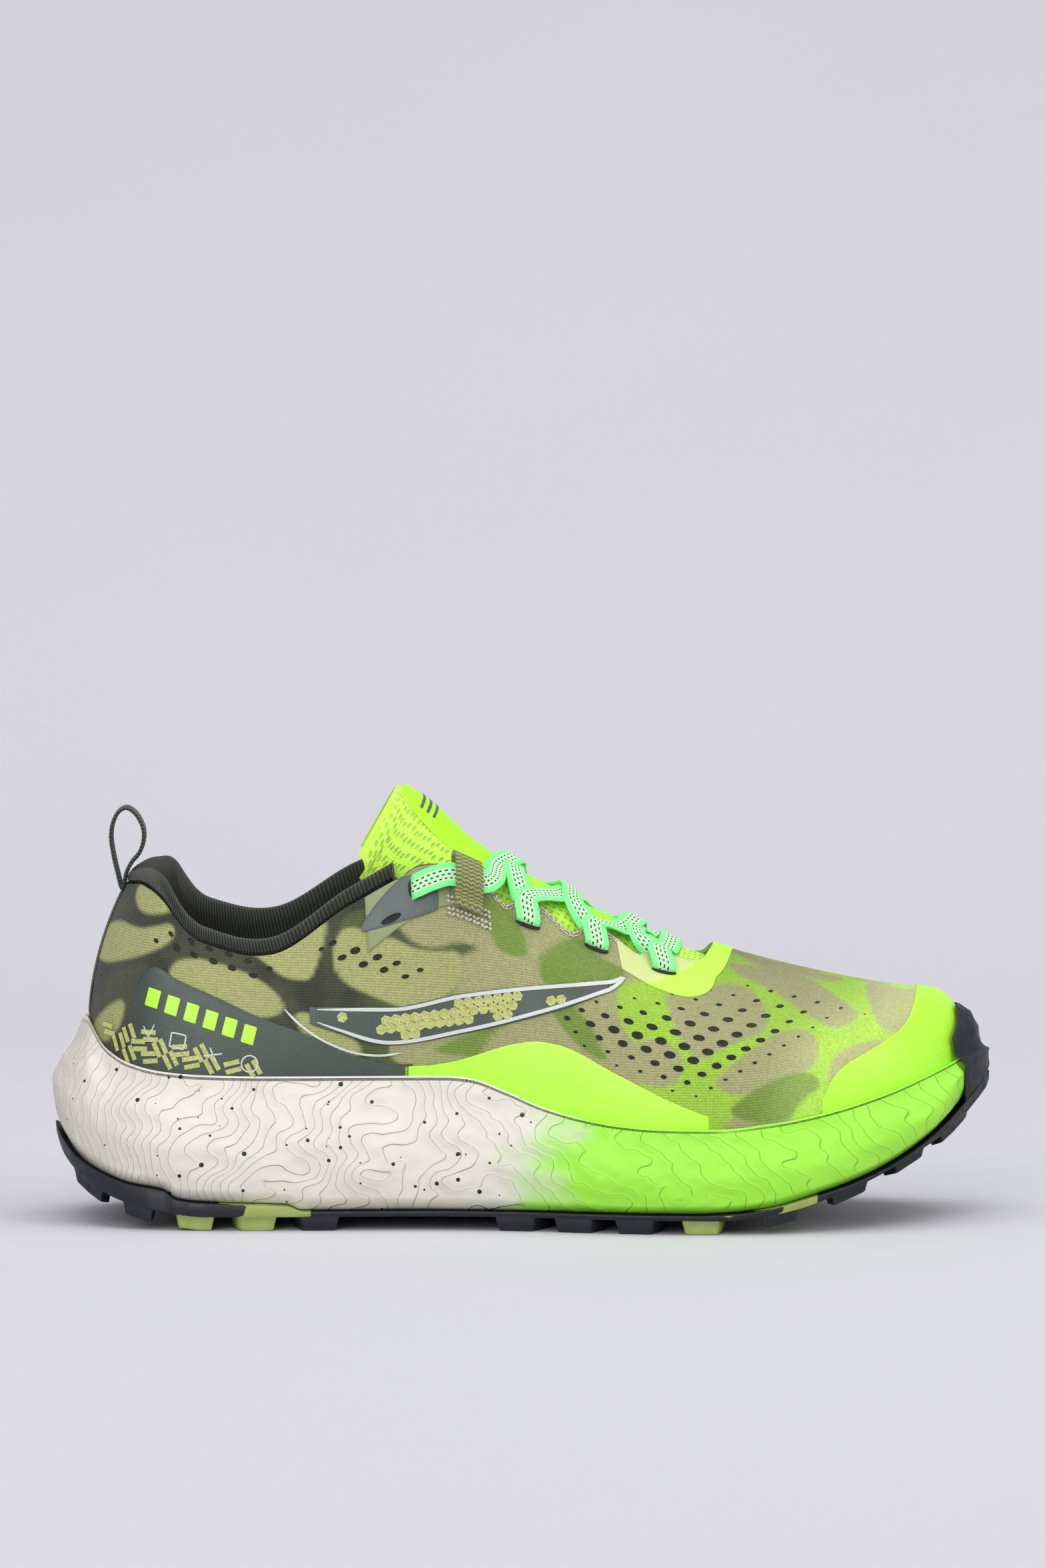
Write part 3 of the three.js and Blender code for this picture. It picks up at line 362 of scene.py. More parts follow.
    def v_below_top(self, k: Array, down: Array) -> Array:
        """The v of places that many millimetres down the wall from the top edge.

        Args:
            k: Stations, one for each row.
            down: Distances, a row of them for each station.

        Returns:
            An array of v, in the shape of down.
        """
        steps = np.linspace(1, 0, 41)
        points = self.skin(np.asarray(k, float)[:, None], steps[None, :])
        runs = np.linalg.norm(np.diff(points, axis=1), axis=-1)
        lengths = np.concatenate([np.zeros((len(runs), 1)), np.cumsum(runs, 1)], 1)
        down = np.atleast_2d(np.asarray(down, float))
        return np.stack([np.interp(d, span, steps) for d, span in zip(down, lengths)])

    def wall_length(self, k: Array) -> Array:
        """Length of the wall from the foam's lip to the top edge."""
        points = self.skin(np.asarray(k, float)[:, None], np.linspace(0, 1, 41)[None, :])
        return np.linalg.norm(np.diff(points, axis=1), axis=-1).sum(1)

    def below_top(self, k: Array, down: Array, depth: Array = 0) -> Array:
        """Points by distance below the top edge, negative past it, and depth under the face."""
        k = np.atleast_1d(np.asarray(k, float))
        down = np.asarray(down, float) * np.ones((len(k), 1))
        depth = np.asarray(depth, float) * np.ones_like(down)
        point = self.wall(k[:, None], self.v_below_top(k, down), depth)
        rise = unit(self.skin(k, np.ones(len(k))) - self.skin(k, np.full(len(k), 0.97)))
        return point + rise[:, None, :] * np.maximum(-down, 0)[..., None]

    def spot(self, k: float, down: float, depth: float = 0) -> Array:
        """One point by distance below the top edge."""
        return self.below_top(np.array([k]), [[down]], [[depth]])[0, 0]

    def station(self, rows: Array, x: Array, side: Side, low: float, high: float) -> Array:
        """Stations on one side where a rail stands at that place along the shoe."""
        x = np.asarray(x, float)
        low, high = np.full(x.shape, low), np.full(x.shape, high)
        for _ in range(30):
            middle = (low + high) / 2
            before = (self.rail(rows, middle)[..., 0] < x) == (side is Side.LATERAL)
            low, high = np.where(before, middle, low), np.where(before, high, middle)
        return (low + high) / 2

    def station_at(self, x: Array, side: Side) -> Array:
        """Stations where the sole's outline stands at x."""
        ends = (0, TOE) if side is Side.LATERAL else (TOE, ROWS)
        return self.station(self.outline_rows, x, side, *ends)

    def top_station_at(self, x: Array, side: Side) -> Array:
        """Stations where the top edge stands at x."""
        ends = (2, 11.5) if side is Side.LATERAL else (ROWS - 11.5, ROWS - 2)
        return self.station(self.top_rows, x, side, *ends)

    def v_at_height(self, k: Array, z: Array) -> Array:
        """The v where the outer face stands at height z."""
        k, z = np.broadcast_arrays(np.asarray(k, float), np.asarray(z, float))
        low, high = np.zeros(k.shape), np.ones(k.shape)
        for _ in range(22):
            middle = (low + high) / 2
            under = self.skin(k, middle)[..., 2] < z
            low, high = np.where(under, middle, low), np.where(under, high, middle)
        return (low + high) / 2

    def seen_from_side(self, x: Array, z: Array, side: Side) -> tuple[Array, Array]:
        """Station and v of the outer face's places that stand at x and z.

        Args:
            x: Places along the shoe.
            z: Heights above the ground.
            side: The side they are on.

        Returns:
            Stations and v, in the shape of x.
        """
        x, z = np.broadcast_arrays(np.asarray(x, float), np.asarray(z, float))
        k, v = self.nearest(x, z, side)
        for _ in range(8):
            here = self.skin(k, v)
            by_k = (self.skin(k + 0.01, v) - here) / 0.01
            by_v = (here - self.skin(k, v - 0.004)) / 0.004
            area = by_k[..., 0] * by_v[..., 2] - by_k[..., 2] * by_v[..., 0]
            area = np.where(np.abs(area) < 1, np.where(area < 0, -1.0, 1.0), area)
            off_x, off_z = x - here[..., 0], z - here[..., 2]
            k = k + np.clip((off_x * by_v[..., 2] - off_z * by_v[..., 0]) / area, -0.3, 0.3)
            step = (by_k[..., 0] * off_z - by_k[..., 2] * off_x) / area
            v = np.clip(v + np.clip(step, -0.08, 0.08), 0.004, 1)
        return k, v

    def nearest(self, x: Array, z: Array, side: Side) -> tuple[Array, Array]:
        """The nearest of a side's evenly laid places, seen square to the shoe."""
        if side not in self.views:
            k = spaced(0.2, TOE - 0.1, 260)
            k = k if side is Side.LATERAL else ROWS - k
            k, v = np.meshgrid(k, spaced(0.01, 1, 40), indexing="ij")
            self.views[side] = (k.ravel(), v.ravel(), self.skin(k, v)[..., [0, 2]].reshape(-1, 2))
        k, v, flat = self.views[side]
        want = np.stack([x.ravel(), z.ravel()], -1)
        best = [int(((flat - spot) ** 2).sum(1).argmin()) for spot in want]
        return k[best].reshape(x.shape), v[best].reshape(x.shape)


LAST = Last()


def outline_shift() -> Array:
    """Millimetres from the last's origin to the frame's, from the midsole's box."""
    k = np.arange(0, ROWS, 0.5)
    ring = LAST.outline(k, LAST.foam_inset(from_heel(k)))
    own = (ring.min(0) + ring.max(0)) / 2
    low, high = (np.array(corner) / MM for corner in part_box("midsole"))
    shift = (low + high) / 2 - own
    shift[2] = low[2] - SIZE.foam
    return shift


SHIFT = outline_shift()


def placed(points: Array) -> Array:
    """Points of the last's millimetres as the frame's metres."""
    return (np.asarray(points, float) + SHIFT) * MM


# ---------------------------------------------------------------------------------------------
# Meshes
# ---------------------------------------------------------------------------------------------


class Cap(Enum):
    """How a shell's open ends are closed."""

    NONE = "none"
    STRIP = "strip"
    RUNGS = "rungs"


@dataclass
class Shell:
    """A grid of points, rows by columns; columns always close round.

    Attributes:
        points: Millimetres, in rows and columns.
        data: Values at the points by attribute name: one number, or three, or four.
        ring: Whether the last row joins the first.
        cap: How the first and last rows are closed.
    """

    points: Array
    data: dict[str, Array] = field(default_factory=dict)
    ring: bool = False
    cap: Cap = Cap.NONE

    def faces(self) -> list[list[int]]:
        """Quads of the shell, and its caps, as rows of point numbers."""
        rows, columns = self.points.shape[:2]
        grid = np.arange(rows * columns).reshape(rows, columns)
        ahead = np.roll(grid, -1, 0)
        beside, across = np.roll(grid, -1, 1), np.roll(ahead, -1, 1)
        quads = np.stack([grid, beside, across, ahead], -1)
        found = (quads if self.ring else quads[:-1]).reshape(-1, 4).tolist()
        if self.ring or self.cap is Cap.NONE:
            return found
        for row, turn in ((grid[0], True), (grid[-1], False)):
            far = row[::-1] if self.cap is Cap.STRIP else np.roll(row[::-1], 1)
            for i in range(columns // 2 if self.cap is Cap.RUNGS else columns // 2 - 1):
                loop = list(dict.fromkeys([row[i], row[i + 1], far[i + 1], far[i]]))
                found.append([int(n) for n in (loop[::-1] if turn else loop)])
        return found

    def volume(self, faces: list[list[int]]) -> float:
        """Signed volume, to tell which way the faces look."""
        flat = self.points.reshape(-1, 3)
        corners = np.array([face[:3] for face in faces])
        second = np.array([[face[0], face[2], face[-1]] for face in faces])
        total = 0.0
        for a, b, c in (flat[corners.T], flat[second.T]):
            total += float(np.einsum("ij,ij->i", a, np.cross(b, c)).sum())
        return total


ATTRIBUTE_KINDS = {1: ("FLOAT", "value"), 3: ("FLOAT_VECTOR", "vector"),
                   4: ("FLOAT_COLOR", "color")}


def solid(name: str, shells: Sequence[Shell], crease: float = 40) -> bpy.types.Object:
    """Build one object from shells.

    Args:
        name: Name of the piece.
        shells: Closed shells that make it.
        crease: Edges that turn more than this many degrees stay sharp.

    Returns:
        The linked object, at the origin with its place in its mesh.
    """
    faces: list[list[int]] = []
    count = 0
    for shell in shells:
        own = shell.faces()
        if shell.volume(own) < 0:
            own = [face[::-1] for face in own]
        faces += [[n + count for n in face] for face in own]
        count += shell.points.shape[0] * shell.points.shape[1]
    points = np.concatenate([shell.points.reshape(-1, 3) for shell in shells])
    mesh = bpy.data.meshes.new(name)
    mesh.from_pydata(placed(points).tolist(), [], faces)
    for key in shells[0].data:
        rows = [shell.data[key].reshape(len(shell.points.reshape(-1, 3)), -1)
                for shell in shells]
        values = np.concatenate(rows)
        kind, slot = ATTRIBUTE_KINDS[values.shape[1]]
        layer = mesh.attributes.new(key, kind, "POINT")
        layer.data.foreach_set(slot, values.astype(np.float32).ravel())
    mesh.shade_smooth()
    mesh.set_sharp_from_angle(angle=math.radians(crease))
    return link(name, mesh)


def link(name: str, mesh: bpy.types.Mesh) -> bpy.types.Object:
    """Put a mesh in the scene.

    Args:
        name: Name of the object.
        mesh: Its mesh.

    Returns:
        The linked object.
    """
    piece = bpy.data.objects.new(name, mesh)
    bpy.context.scene.collection.objects.link(piece)
    return piece


def coat(piece: bpy.types.Object, finish: bpy.types.Material) -> None:
    """Give a piece one material in place of what it had."""
    piece.data.materials.clear()
    piece.data.materials.append(finish)


def settle(piece: bpy.types.Object, body: Body, slot: str, *nodes: str) -> bpy.types.Object:
    """Tie a finished piece to the frame.

    Args:
        piece: The piece.
        body: Body it rides on.
        slot: Not used.
        nodes: Frame nodes that it stands for.

    Returns:
        The piece.
    """
    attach(piece, body.value)
    if nodes:
        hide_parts(*nodes)
    log.info("%s: %d faces, rides on %s", piece.name, len(piece.data.polygons), body.value)
    return piece


def spaced(low: float, high: float, count: int) -> Array:
    """Even places from low to high."""
    return np.linspace(low, high, count)


def loop_of(front: Array, back: Array) -> Array:
    """Closed sections from the outer and inner face of a sheet, columns last but one."""
    return np.concatenate([front, back[:, ::-1]], 1)


def bend_through(rows: Array, count: int, closed: bool = False) -> Array:
    """A centripetal spline through points.

    Args:
        rows: Points to pass through.
        count: How many points to give back, evenly spaced along the curve.
        closed: Whether the curve comes back to its start.

    Returns:
        Points of the curve.
    """
    fine = centripetal(rows, np.linspace(0, len(rows) - (0 if closed else 1), 40 * len(rows)),
                       closed)
    return even(fine, count, closed)


def even(points: Array, count: int, closed: bool = False) -> Array:
    """Evenly spaced points of a fine path."""
    runs = np.concatenate([[0], np.cumsum(np.linalg.norm(np.diff(points, axis=0), axis=1))])
    where = np.linspace(0, runs[-1], count, endpoint=not closed)
    return np.stack([np.interp(where, runs, column) for column in points.T], -1)


def centripetal(rows: Array, at: Array, closed: bool = False) -> Array:
    """Points of a centripetal spline by row number.

    Args:
        rows: Points to pass through.
        at: Places in rows, from 0 to the last row.
        closed: Whether the curve comes back to its start.

    Returns:
        Points at those places.
    """
    rows = np.asarray(rows, float)
    count = len(rows)
    last = count if closed else count - 1
    at = np.clip(np.asarray(at, float), 0, last)
    i = np.clip(np.floor(at).astype(int), 0, last - 1)
    t = (at - i)[:, None]
    if closed:
        padded = np.concatenate([rows[-1:], rows, rows[:2]])
    else:
        padded = np.concatenate([2 * rows[:1] - rows[1:2], rows, 2 * rows[-1:] - rows[-2:-1]])
    a, b, c, d = (padded[i + step] for step in range(4))
    before, here, after = (
        np.maximum(np.linalg.norm(q - p, axis=1, keepdims=True), 1e-6) ** 0.5
        for p, q in ((a, b), (b, c), (c, d)))
    start = ((b - a) / before - (c - a) / (before + here) + (c - b) / here) * here
    end = ((c - b) / here - (d - b) / (here + after) + (d - c) / after) * here
    curve = (-3 * b + 3 * c - 2 * start - end) * t + start
    return b + t * curve + (2 * b - 2 * c + start + end) * t**3


# ---------------------------------------------------------------------------------------------
# Materials
# ---------------------------------------------------------------------------------------------


class Look:
    """One node material while it is put together."""

    def __init__(self, name: str) -> None:
        """Start an empty material with its output and its main shader."""
        self.material = bpy.data.materials.new(name)
        self.material.use_nodes = True
        self.tree = self.material.node_tree
        self.tree.nodes.clear()
        self.shader = self.node("ShaderNodeBsdfPrincipled")
        output = self.node("ShaderNodeOutputMaterial")
        self.tree.links.new(self.shader.outputs[0], output.inputs["Surface"])

    def node(self, kind: str, inputs: Optional[dict] = None, **settings) -> bpy.types.Node:
        """Add a node.

        Args:
            kind: Node type.
            inputs: Values or sockets by input name or number.
            settings: Properties of the node.

        Returns:
            The node.
        """
        made = self.tree.nodes.new(kind)
        for key, value in settings.items():
            setattr(made, key, value)
        for key, value in (inputs or {}).items():
            if isinstance(value, bpy.types.NodeSocket):
                self.tree.links.new(value, made.inputs[key])
            else:
                made.inputs[key].default_value = value
        return made

    def maths(self, operation: str, *values) -> bpy.types.NodeSocket:
        """One step of arithmetic on sockets or numbers."""
        return self.node("ShaderNodeMath", dict(enumerate(values)), operation=operation,
                         use_clamp=False).outputs[0]

    def read(self, name: str) -> bpy.types.Node:
        """The node that reads an attribute of the mesh."""
        return self.node("ShaderNodeAttribute", attribute_name=name)

    def split(self, name: str) -> list[bpy.types.NodeSocket]:
        """The three numbers of a vector attribute."""
        return list(self.node("ShaderNodeSeparateXYZ", {0: self.read(name).outputs[1]}).outputs)

    def noise(self, pitch_mm: float, detail: float = 2, vector=None) -> bpy.types.NodeSocket:
        """Soft noise whose patches are about that many millimetres across."""
        where = vector or self.node("ShaderNodeTexCoord").outputs["Object"]
        made = self.node("ShaderNodeTexNoise", {"Vector": where, "Scale": 1 / (pitch_mm * MM),
                                                "Detail": detail})
        return made.outputs["Fac"]

    def steps(self, value, low: float, high: float, start: float = 0,
              end: float = 1) -> bpy.types.NodeSocket:
        """A soft step of a value into a new range."""
        return self.node("ShaderNodeMapRange", {
            "Value": value, "From Min": low, "From Max": high, "To Min": start, "To Max": end,
        }, interpolation_type="SMOOTHSTEP").outputs[0]

    def blend(self, amount, a, b) -> bpy.types.NodeSocket:
        """Blend two colours; each is a socket or a linear colour."""
        made = self.node("ShaderNodeMix", {0: amount, 6: a, 7: b}, data_type="RGBA")
        return made.outputs[2]

    def ripple(self, value, pitch: float, phase: float = 0) -> bpy.types.NodeSocket:
        """A sine from 0 to 1 whose period is pitch."""
        turn = self.maths("MULTIPLY_ADD", value, 2 * math.pi / pitch, phase)
        return self.maths("MULTIPLY_ADD", self.maths("SINE", turn), 0.5, 0.5)

    def relief(self, height, depth_mm: float, under=None) -> bpy.types.NodeSocket:
        """Turn a height from 0 to 1 into a bumped normal that many millimetres deep."""
        inputs = {"Height": height, "Distance": depth_mm * MM, "Strength": 1.0}
        if under is not None:
            inputs["Normal"] = under
        return self.node("ShaderNodeBump", inputs).outputs[0]

    def finish(self, colour, roughness, normal=None, **uniform: float) -> bpy.types.Material:
        """Wire the main shader and hand over the material.

        Args:
            colour: Socket or linear colour.
            roughness: Socket or number.
            normal: Socket of the bumped normal.
            uniform: Numbers set straight on the shader, by input name with _ for a space.

        Returns:
            The material.
        """
        for key, value in (("Base Color", colour), ("Roughness", roughness),
                           ("Normal", normal)):
            if isinstance(value, bpy.types.NodeSocket):
                self.tree.links.new(value, self.shader.inputs[key])
            elif value is not None:
                self.shader.inputs[key].default_value = value
        for key, number in uniform.items():
            self.shader.inputs[key.replace("_", " ")].default_value = number
        return self.material


def moulded_foam() -> bpy.types.Material:
    """Compression-moulded EVA: terraced relief, black specks, lime sprayed on the forefoot."""
    look = Look("eva_foam_compression_moulded")
    spray = look.read("spray").outputs[2]
    # Specks: most cells have one, from dust to 1.4 mm across.
    cell = look.node("ShaderNodeTexVoronoi", {
        "Vector": look.node("ShaderNodeTexCoord").outputs["Object"], "Scale": 1 / (3.4 * MM),
        "Randomness": 1.0})
    parts = look.node("ShaderNodeSeparateColor", {0: cell.outputs["Color"]}).outputs
    size = look.maths("MULTIPLY", look.maths("POWER", parts[0], 2.6), 0.24)
    keep = look.maths("GREATER_THAN", parts[1], 0.2)
    speck = look.maths("LESS_THAN", cell.outputs["Distance"], look.maths("MULTIPLY", size, keep))
    speck = look.maths("MULTIPLY", speck, look.steps(spray, 0.25, 0.02))
    # Bone foam is painted a little grey at each terrace's step, as painted shade; the sprayed lime
    # is patchier.
    terrace = look.maths("FRACT", look.read("terrace").outputs[2])
    edge = look.steps(terrace, 0.9, 0.985)
    bone = look.blend(look.noise(9), linear("#d2cec1"), linear(Paint.BONE.value))
    lime = look.blend(look.noise(14), linear("#93de3c"), linear(Paint.FOAM_LIME.value))
    ground = look.blend(spray, bone, lime)
    # Painted shade: a grey-green tint at each terrace's step.
    shade = look.blend(look.maths("MULTIPLY", edge, 0.1), ground, linear("#8a8f70"))
    colour = look.blend(speck, shade, linear(Paint.SPECK.value))
    # Each terrace rises and drops back over a fine edge; the skin has a fine grain.
    rise = look.maths("SUBTRACT", look.maths("POWER", terrace, 1.6),
                      look.steps(terrace, 0.93, 0.995))
    carved = look.relief(rise, 0.5)
    grain = look.relief(look.noise(0.7, 3), 0.05, carved)
    return look.finish(colour, look.steps(look.noise(4), 0.3, 0.7, 0.5, 0.64), grain,
                       Specular_IOR_Level=0.4)


def moulded_rubber() -> bpy.types.Material:
    """Compression-moulded rubber: near-black navy, olive inlays, matt flanks."""
    look = Look("rubber_compression_moulded")
    inlay = look.steps(look.read("inlay").outputs[2], 0.45, 0.55)
    # Dust and blooming grey the rubber in soft clouds.
    bloom = look.steps(look.noise(7, 4), 0.45, 0.75, 0, 0.35)
    dark = look.blend(bloom, linear(Paint.NAVY.value), linear("#1c2029"))
    olive = look.blend(look.noise(5), linear("#8c9c4a"), linear("#a9b768"))
    # Sharp edges are painted lighter: partly wear, partly painted highlight where they catch the
    # light.
    wear_and_highlight = look.steps(look.node("ShaderNodeNewGeometry").outputs["Pointiness"], 0.53, 0.6, 0, 0.3)
    colour = look.blend(wear_and_highlight, look.blend(inlay, dark, olive), linear("#30353f"))
    grain = look.relief(look.noise(0.5, 3), 0.06)
    return look.finish(colour, look.steps(look.noise(3), 0.3, 0.7, 0.42, 0.62), grain,
                       Specular_IOR_Level=0.45)


def engineered_knit() -> bpy.types.Material:
    """Jacquard warp-knit polyester: camouflage printed over courses of small loops."""
    look = Look("polyester_mesh_jacquard_knit")
    camo = look.read("camo")
    round_mm, up_mm, frost = look.split("strand")
    # Loops 1.05 mm wide in courses 0.85 mm high, each course a row of shallow chevrons.
    lean = look.maths("PINGPONG", round_mm, 0.525)
    course = look.ripple(look.maths("MULTIPLY_ADD", lean, 0.7, up_mm), 0.85)
    wale = look.ripple(round_mm, 1.05)
    loops = look.maths("MULTIPLY", course, look.maths("MULTIPLY_ADD", wale, 0.6, 0.4))
    crisp = look.maths("SUBTRACT", 1.0, look.maths("MULTIPLY", frost, 0.85))
    # Yarns differ a little from one to the next, and the gaps between loops are painted darker as
    # painted shade.
    yarn = look.steps(look.noise(0.9, 2), 0.3, 0.7, 0.88, 1.1)
    # Painted shade in the gaps between loops, weaker under the frosted film.
    gap = look.maths("MULTIPLY_ADD", look.maths("SUBTRACT", loops, 1.0),
                     look.maths("MULTIPLY", crisp, 0.42), 1.0)
    tone = look.maths("MULTIPLY", yarn, gap)
    woven = look.node("ShaderNodeVectorMath", {0: camo.outputs[0], 3: tone}, operation="SCALE")
    clouds = look.steps(look.noise(16, 3), 0.35, 0.7, 0, 0.14)
    colour = look.blend(clouds, woven.outputs[0], linear("#8f9660"))
    bump = look.relief(look.maths("MULTIPLY", loops, crisp), 0.32)
    rough = look.maths("MULTIPLY_ADD", frost, -0.38, 0.86)
    return look.finish(colour, rough, bump, Sheen_Weight=0.12, Sheen_Roughness=0.5,
                       Specular_IOR_Level=0.3)


def ribbed_knit() -> bpy.types.Material:
    """Ribbed collar knit over foam: fine ribs that cross the roll, with painted shade in the dark
    grooves between them.
    """
    look = Look("polyester_rib_knit")
    round_mm, up_mm, _ = look.split("strand")
    slant = look.maths("MULTIPLY_ADD", up_mm, 0.16, round_mm)
    rib = look.ripple(slant, 1.15)
    stitch = look.ripple(up_mm, 0.7)
    weave = look.maths("MULTIPLY", rib, look.maths("MULTIPLY_ADD", stitch, 0.2, 0.8))
    fade = look.steps(look.noise(8, 3), 0.3, 0.7, 0.0, 0.3)
    lit = look.blend(fade, linear("#3d4133"), linear("#474b3c"))
    # The grooves between the ribs are painted near-black as painted shade; the rib tops take the
    # lit tone.
    colour = look.blend(weave, linear("#171914"), lit)
    return look.finish(colour, 0.88, look.relief(weave, 0.42), Sheen_Weight=0.25,
                       Sheen_Roughness=0.45, Specular_IOR_Level=0.25)


def welded_film(name: str, colours: tuple[str, str], gloss: float) -> bpy.types.Material:
    """Hot-melt polyurethane film pressed on the knit: the loops below show faintly through.

    Args:
        name: Name of the material.
        colours: Two close tones of the film.
        gloss: Roughness where it is smoothest.

    Returns:
        The material.
    """
    look = Look(name)
    round_mm, up_mm, _ = look.split("strand")
    # The knit's courses print through as a faint ripple.
    ghost = look.maths("MULTIPLY", look.ripple(up_mm, 0.85), look.ripple(round_mm, 1.05))
    tone = look.blend(look.noise(12, 3), linear(colours[0]), linear(colours[1]))
    pressed = look.relief(ghost, 0.035)
    orange = look.relief(look.noise(1.6, 2), 0.04, pressed)
    rough = look.steps(look.noise(6), 0.3, 0.7, gloss, gloss + 0.09)
    return look.finish(tone, rough, orange, Coat_Weight=0.12, Coat_Roughness=0.3,
                       Specular_IOR_Level=0.42)


def painted_film() -> bpy.types.Material:
    """The throat's film in two flat tones, sand behind and lime in front."""
    look = Look("polyurethane_film_two_tone")
    tone = look.read("camo").outputs[0]
    cloud = look.blend(look.steps(look.noise(10), 0.3, 0.7, 0, 0.12), tone, linear("#a5b560"))
    rough = look.steps(look.noise(5), 0.3, 0.7, 0.36, 0.46)
    return look.finish(cloud, rough, look.relief(look.noise(1.4), 0.04), Coat_Weight=0.1,
                       Coat_Roughness=0.3, Specular_IOR_Level=0.42)


def spacer_mesh() -> bpy.types.Material:
    """Spacer mesh of the tongue: open cells 2.4 mm across in a lime web."""
    look = Look("polyester_spacer_mesh")
    round_mm, up_mm, plain = look.split("strand")
    where = look.node("ShaderNodeCombineXYZ", {0: round_mm, 1: up_mm})
    cell = look.node("ShaderNodeTexVoronoi", {"Vector": where.outputs[0], "Scale": 1 / 2.1,
                                              "Randomness": 0.28}, voronoi_dimensions="2D")
    hole = look.steps(cell.outputs["Distance"], 0.14, 0.34)
    web = look.maths("MAXIMUM", hole, plain)
    threads = look.maths("MULTIPLY", look.ripple(round_mm, 0.55), look.ripple(up_mm, 0.6))
    tone = look.blend(look.noise(7), linear("#bdf74a"), linear(Paint.TONGUE.value))
    # The open cells are painted a darker green, as painted shade inside them.
    colour = look.blend(web, linear("#a9dc55"), tone)
    height = look.maths("MULTIPLY_ADD", threads, 0.2, web)
    return look.finish(colour, 0.8, look.relief(height, 0.4), Sheen_Weight=0.15,
                       Sheen_Roughness=0.5, Specular_IOR_Level=0.3)


def woven_lace() -> bpy.types.Material:
    """Flat braided lace: neon mint edges, pale middle with rows of dark slanting dashes."""
    look = Look("polyester_lace_flat_braid")
    along_mm, across, _ = look.split("strand")
    band = look.steps(look.maths("ABSOLUTE", across), 0.5, 0.56)
    # Three rows of dashes 1.5 mm apart, every other row half a pitch on.
    row = look.maths("MULTIPLY_ADD", across, 3.0, 1.5)
    shift = look.maths("MULTIPLY", look.maths("FLOOR", row), 0.5)
    slant = look.maths("MULTIPLY_ADD", across, 0.9, along_mm)
    beat = look.maths("FRACT", look.maths("MULTIPLY_ADD", slant, 1 / 1.9, shift))
    dash = look.maths("MULTIPLY", look.maths("LESS_THAN", beat, 0.52), look.maths(
        "LESS_THAN", look.maths("ABSOLUTE", look.maths(
            "SUBTRACT", look.maths("FRACT", row), 0.5)), 0.2))
    inside = look.maths("LESS_THAN", look.maths("ABSOLUTE", across), 0.5)
    core = look.blend(look.maths("MULTIPLY", dash, inside), linear(Paint.LACE_CORE.value),
                      linear(Paint.LACE_DASH.value))
    colour = look.blend(band, core, linear(Paint.LACE_EDGE.value))
    braid = look.maths("MULTIPLY", look.ripple(look.maths("MULTIPLY_ADD", across, 1.2, along_mm),
                                               0.8), look.ripple(across, 0.22))
    # The colour follows the braid's relief, darker in its hollows and lighter on its crowns, as
    # painted shade and highlight.
    tone = look.node("ShaderNodeVectorMath", {
        0: colour, 3: look.maths("MULTIPLY_ADD", braid, 0.16, 0.9)}, operation="SCALE")
    return look.finish(tone.outputs[0], 0.78, look.relief(braid, 0.16), Sheen_Weight=0.15,
                       Sheen_Roughness=0.4, Specular_IOR_Level=0.3)


def woven_webbing(name: str, dark: str, lit: str, pitch: float = 1.1) -> bpy.types.Material:
    """Narrow woven polyester webbing: ribs across, cords along.

    Args:
        name: Name of the material.
        dark: Colour between the cords, painted shade.
        lit: Colour on the cords.
        pitch: Millimetres from one rib to the next.

    Returns:
        The material.
    """
    look = Look(name)
    along_mm, across_mm, _ = look.split("strand")
    twill = look.maths("MULTIPLY_ADD", look.maths("PINGPONG", across_mm, 1.1), 0.5, along_mm)
    rib = look.ripple(twill, pitch)
    cords = look.ripple(across_mm, 1.1)
    weave = look.maths("MULTIPLY", rib, look.maths("MULTIPLY_ADD", cords, 0.5, 0.5))
    tone = look.blend(look.noise(3), linear(lit), linear(dark))
    # Between the ribs and cords the colour is painted dark as painted shade; the cords take the
    # lit tone.
    colour = look.blend(look.steps(weave, 0.0, 0.6), linear(dark), look.blend(0.3, linear(lit),
                                                                              tone))
    return look.finish(colour, 0.82, look.relief(weave, 0.3), Sheen_Weight=0.2,
                       Sheen_Roughness=0.5, Specular_IOR_Level=0.3)


def fibre(name: str, dark: str, lit: str, pitch: float, rough: float) -> bpy.types.Material:
    """Cloth, board or thread by its fine fibres.

    Args:
        name: Name of the material.
        dark: Colour in the hollows, painted shade.
        lit: Colour of the fibres.
        pitch: Millimetres across a clump of fibres.
        rough: Roughness.

    Returns:
        The material.
    """
    look = Look(name)
    clumps = look.noise(pitch, 4)
    # The hollows between fibre clumps are painted dark as painted shade.
    colour = look.blend(look.steps(clumps, 0.3, 0.65), linear(dark), linear(lit))
    patchy = look.blend(look.steps(look.noise(pitch * 14, 2), 0.4, 0.7, 0, 0.2), colour,
                        linear(dark))
    return look.finish(patchy, rough, look.relief(clumps, pitch * 0.4), Sheen_Weight=0.15,
                       Specular_IOR_Level=0.3)


def clear_plastic() -> bpy.types.Material:
    """Crimped acetate sleeve of an aglet: thin, tinted, glossy, with crimp lines."""
    look = Look("acetate_crimped_film")
    along_mm, across, _ = look.split("strand")
    crimp = look.ripple(along_mm, 2.2)
    tone = look.blend(look.noise(3), linear("#8ee69a"), linear(Paint.AGLET.value))
    return look.finish(tone, look.steps(look.noise(2), 0.3, 0.7, 0.16, 0.3),
                       look.relief(crimp, 0.12), Coat_Weight=0.5, Coat_Roughness=0.1,
                       Transmission_Weight=0.15)


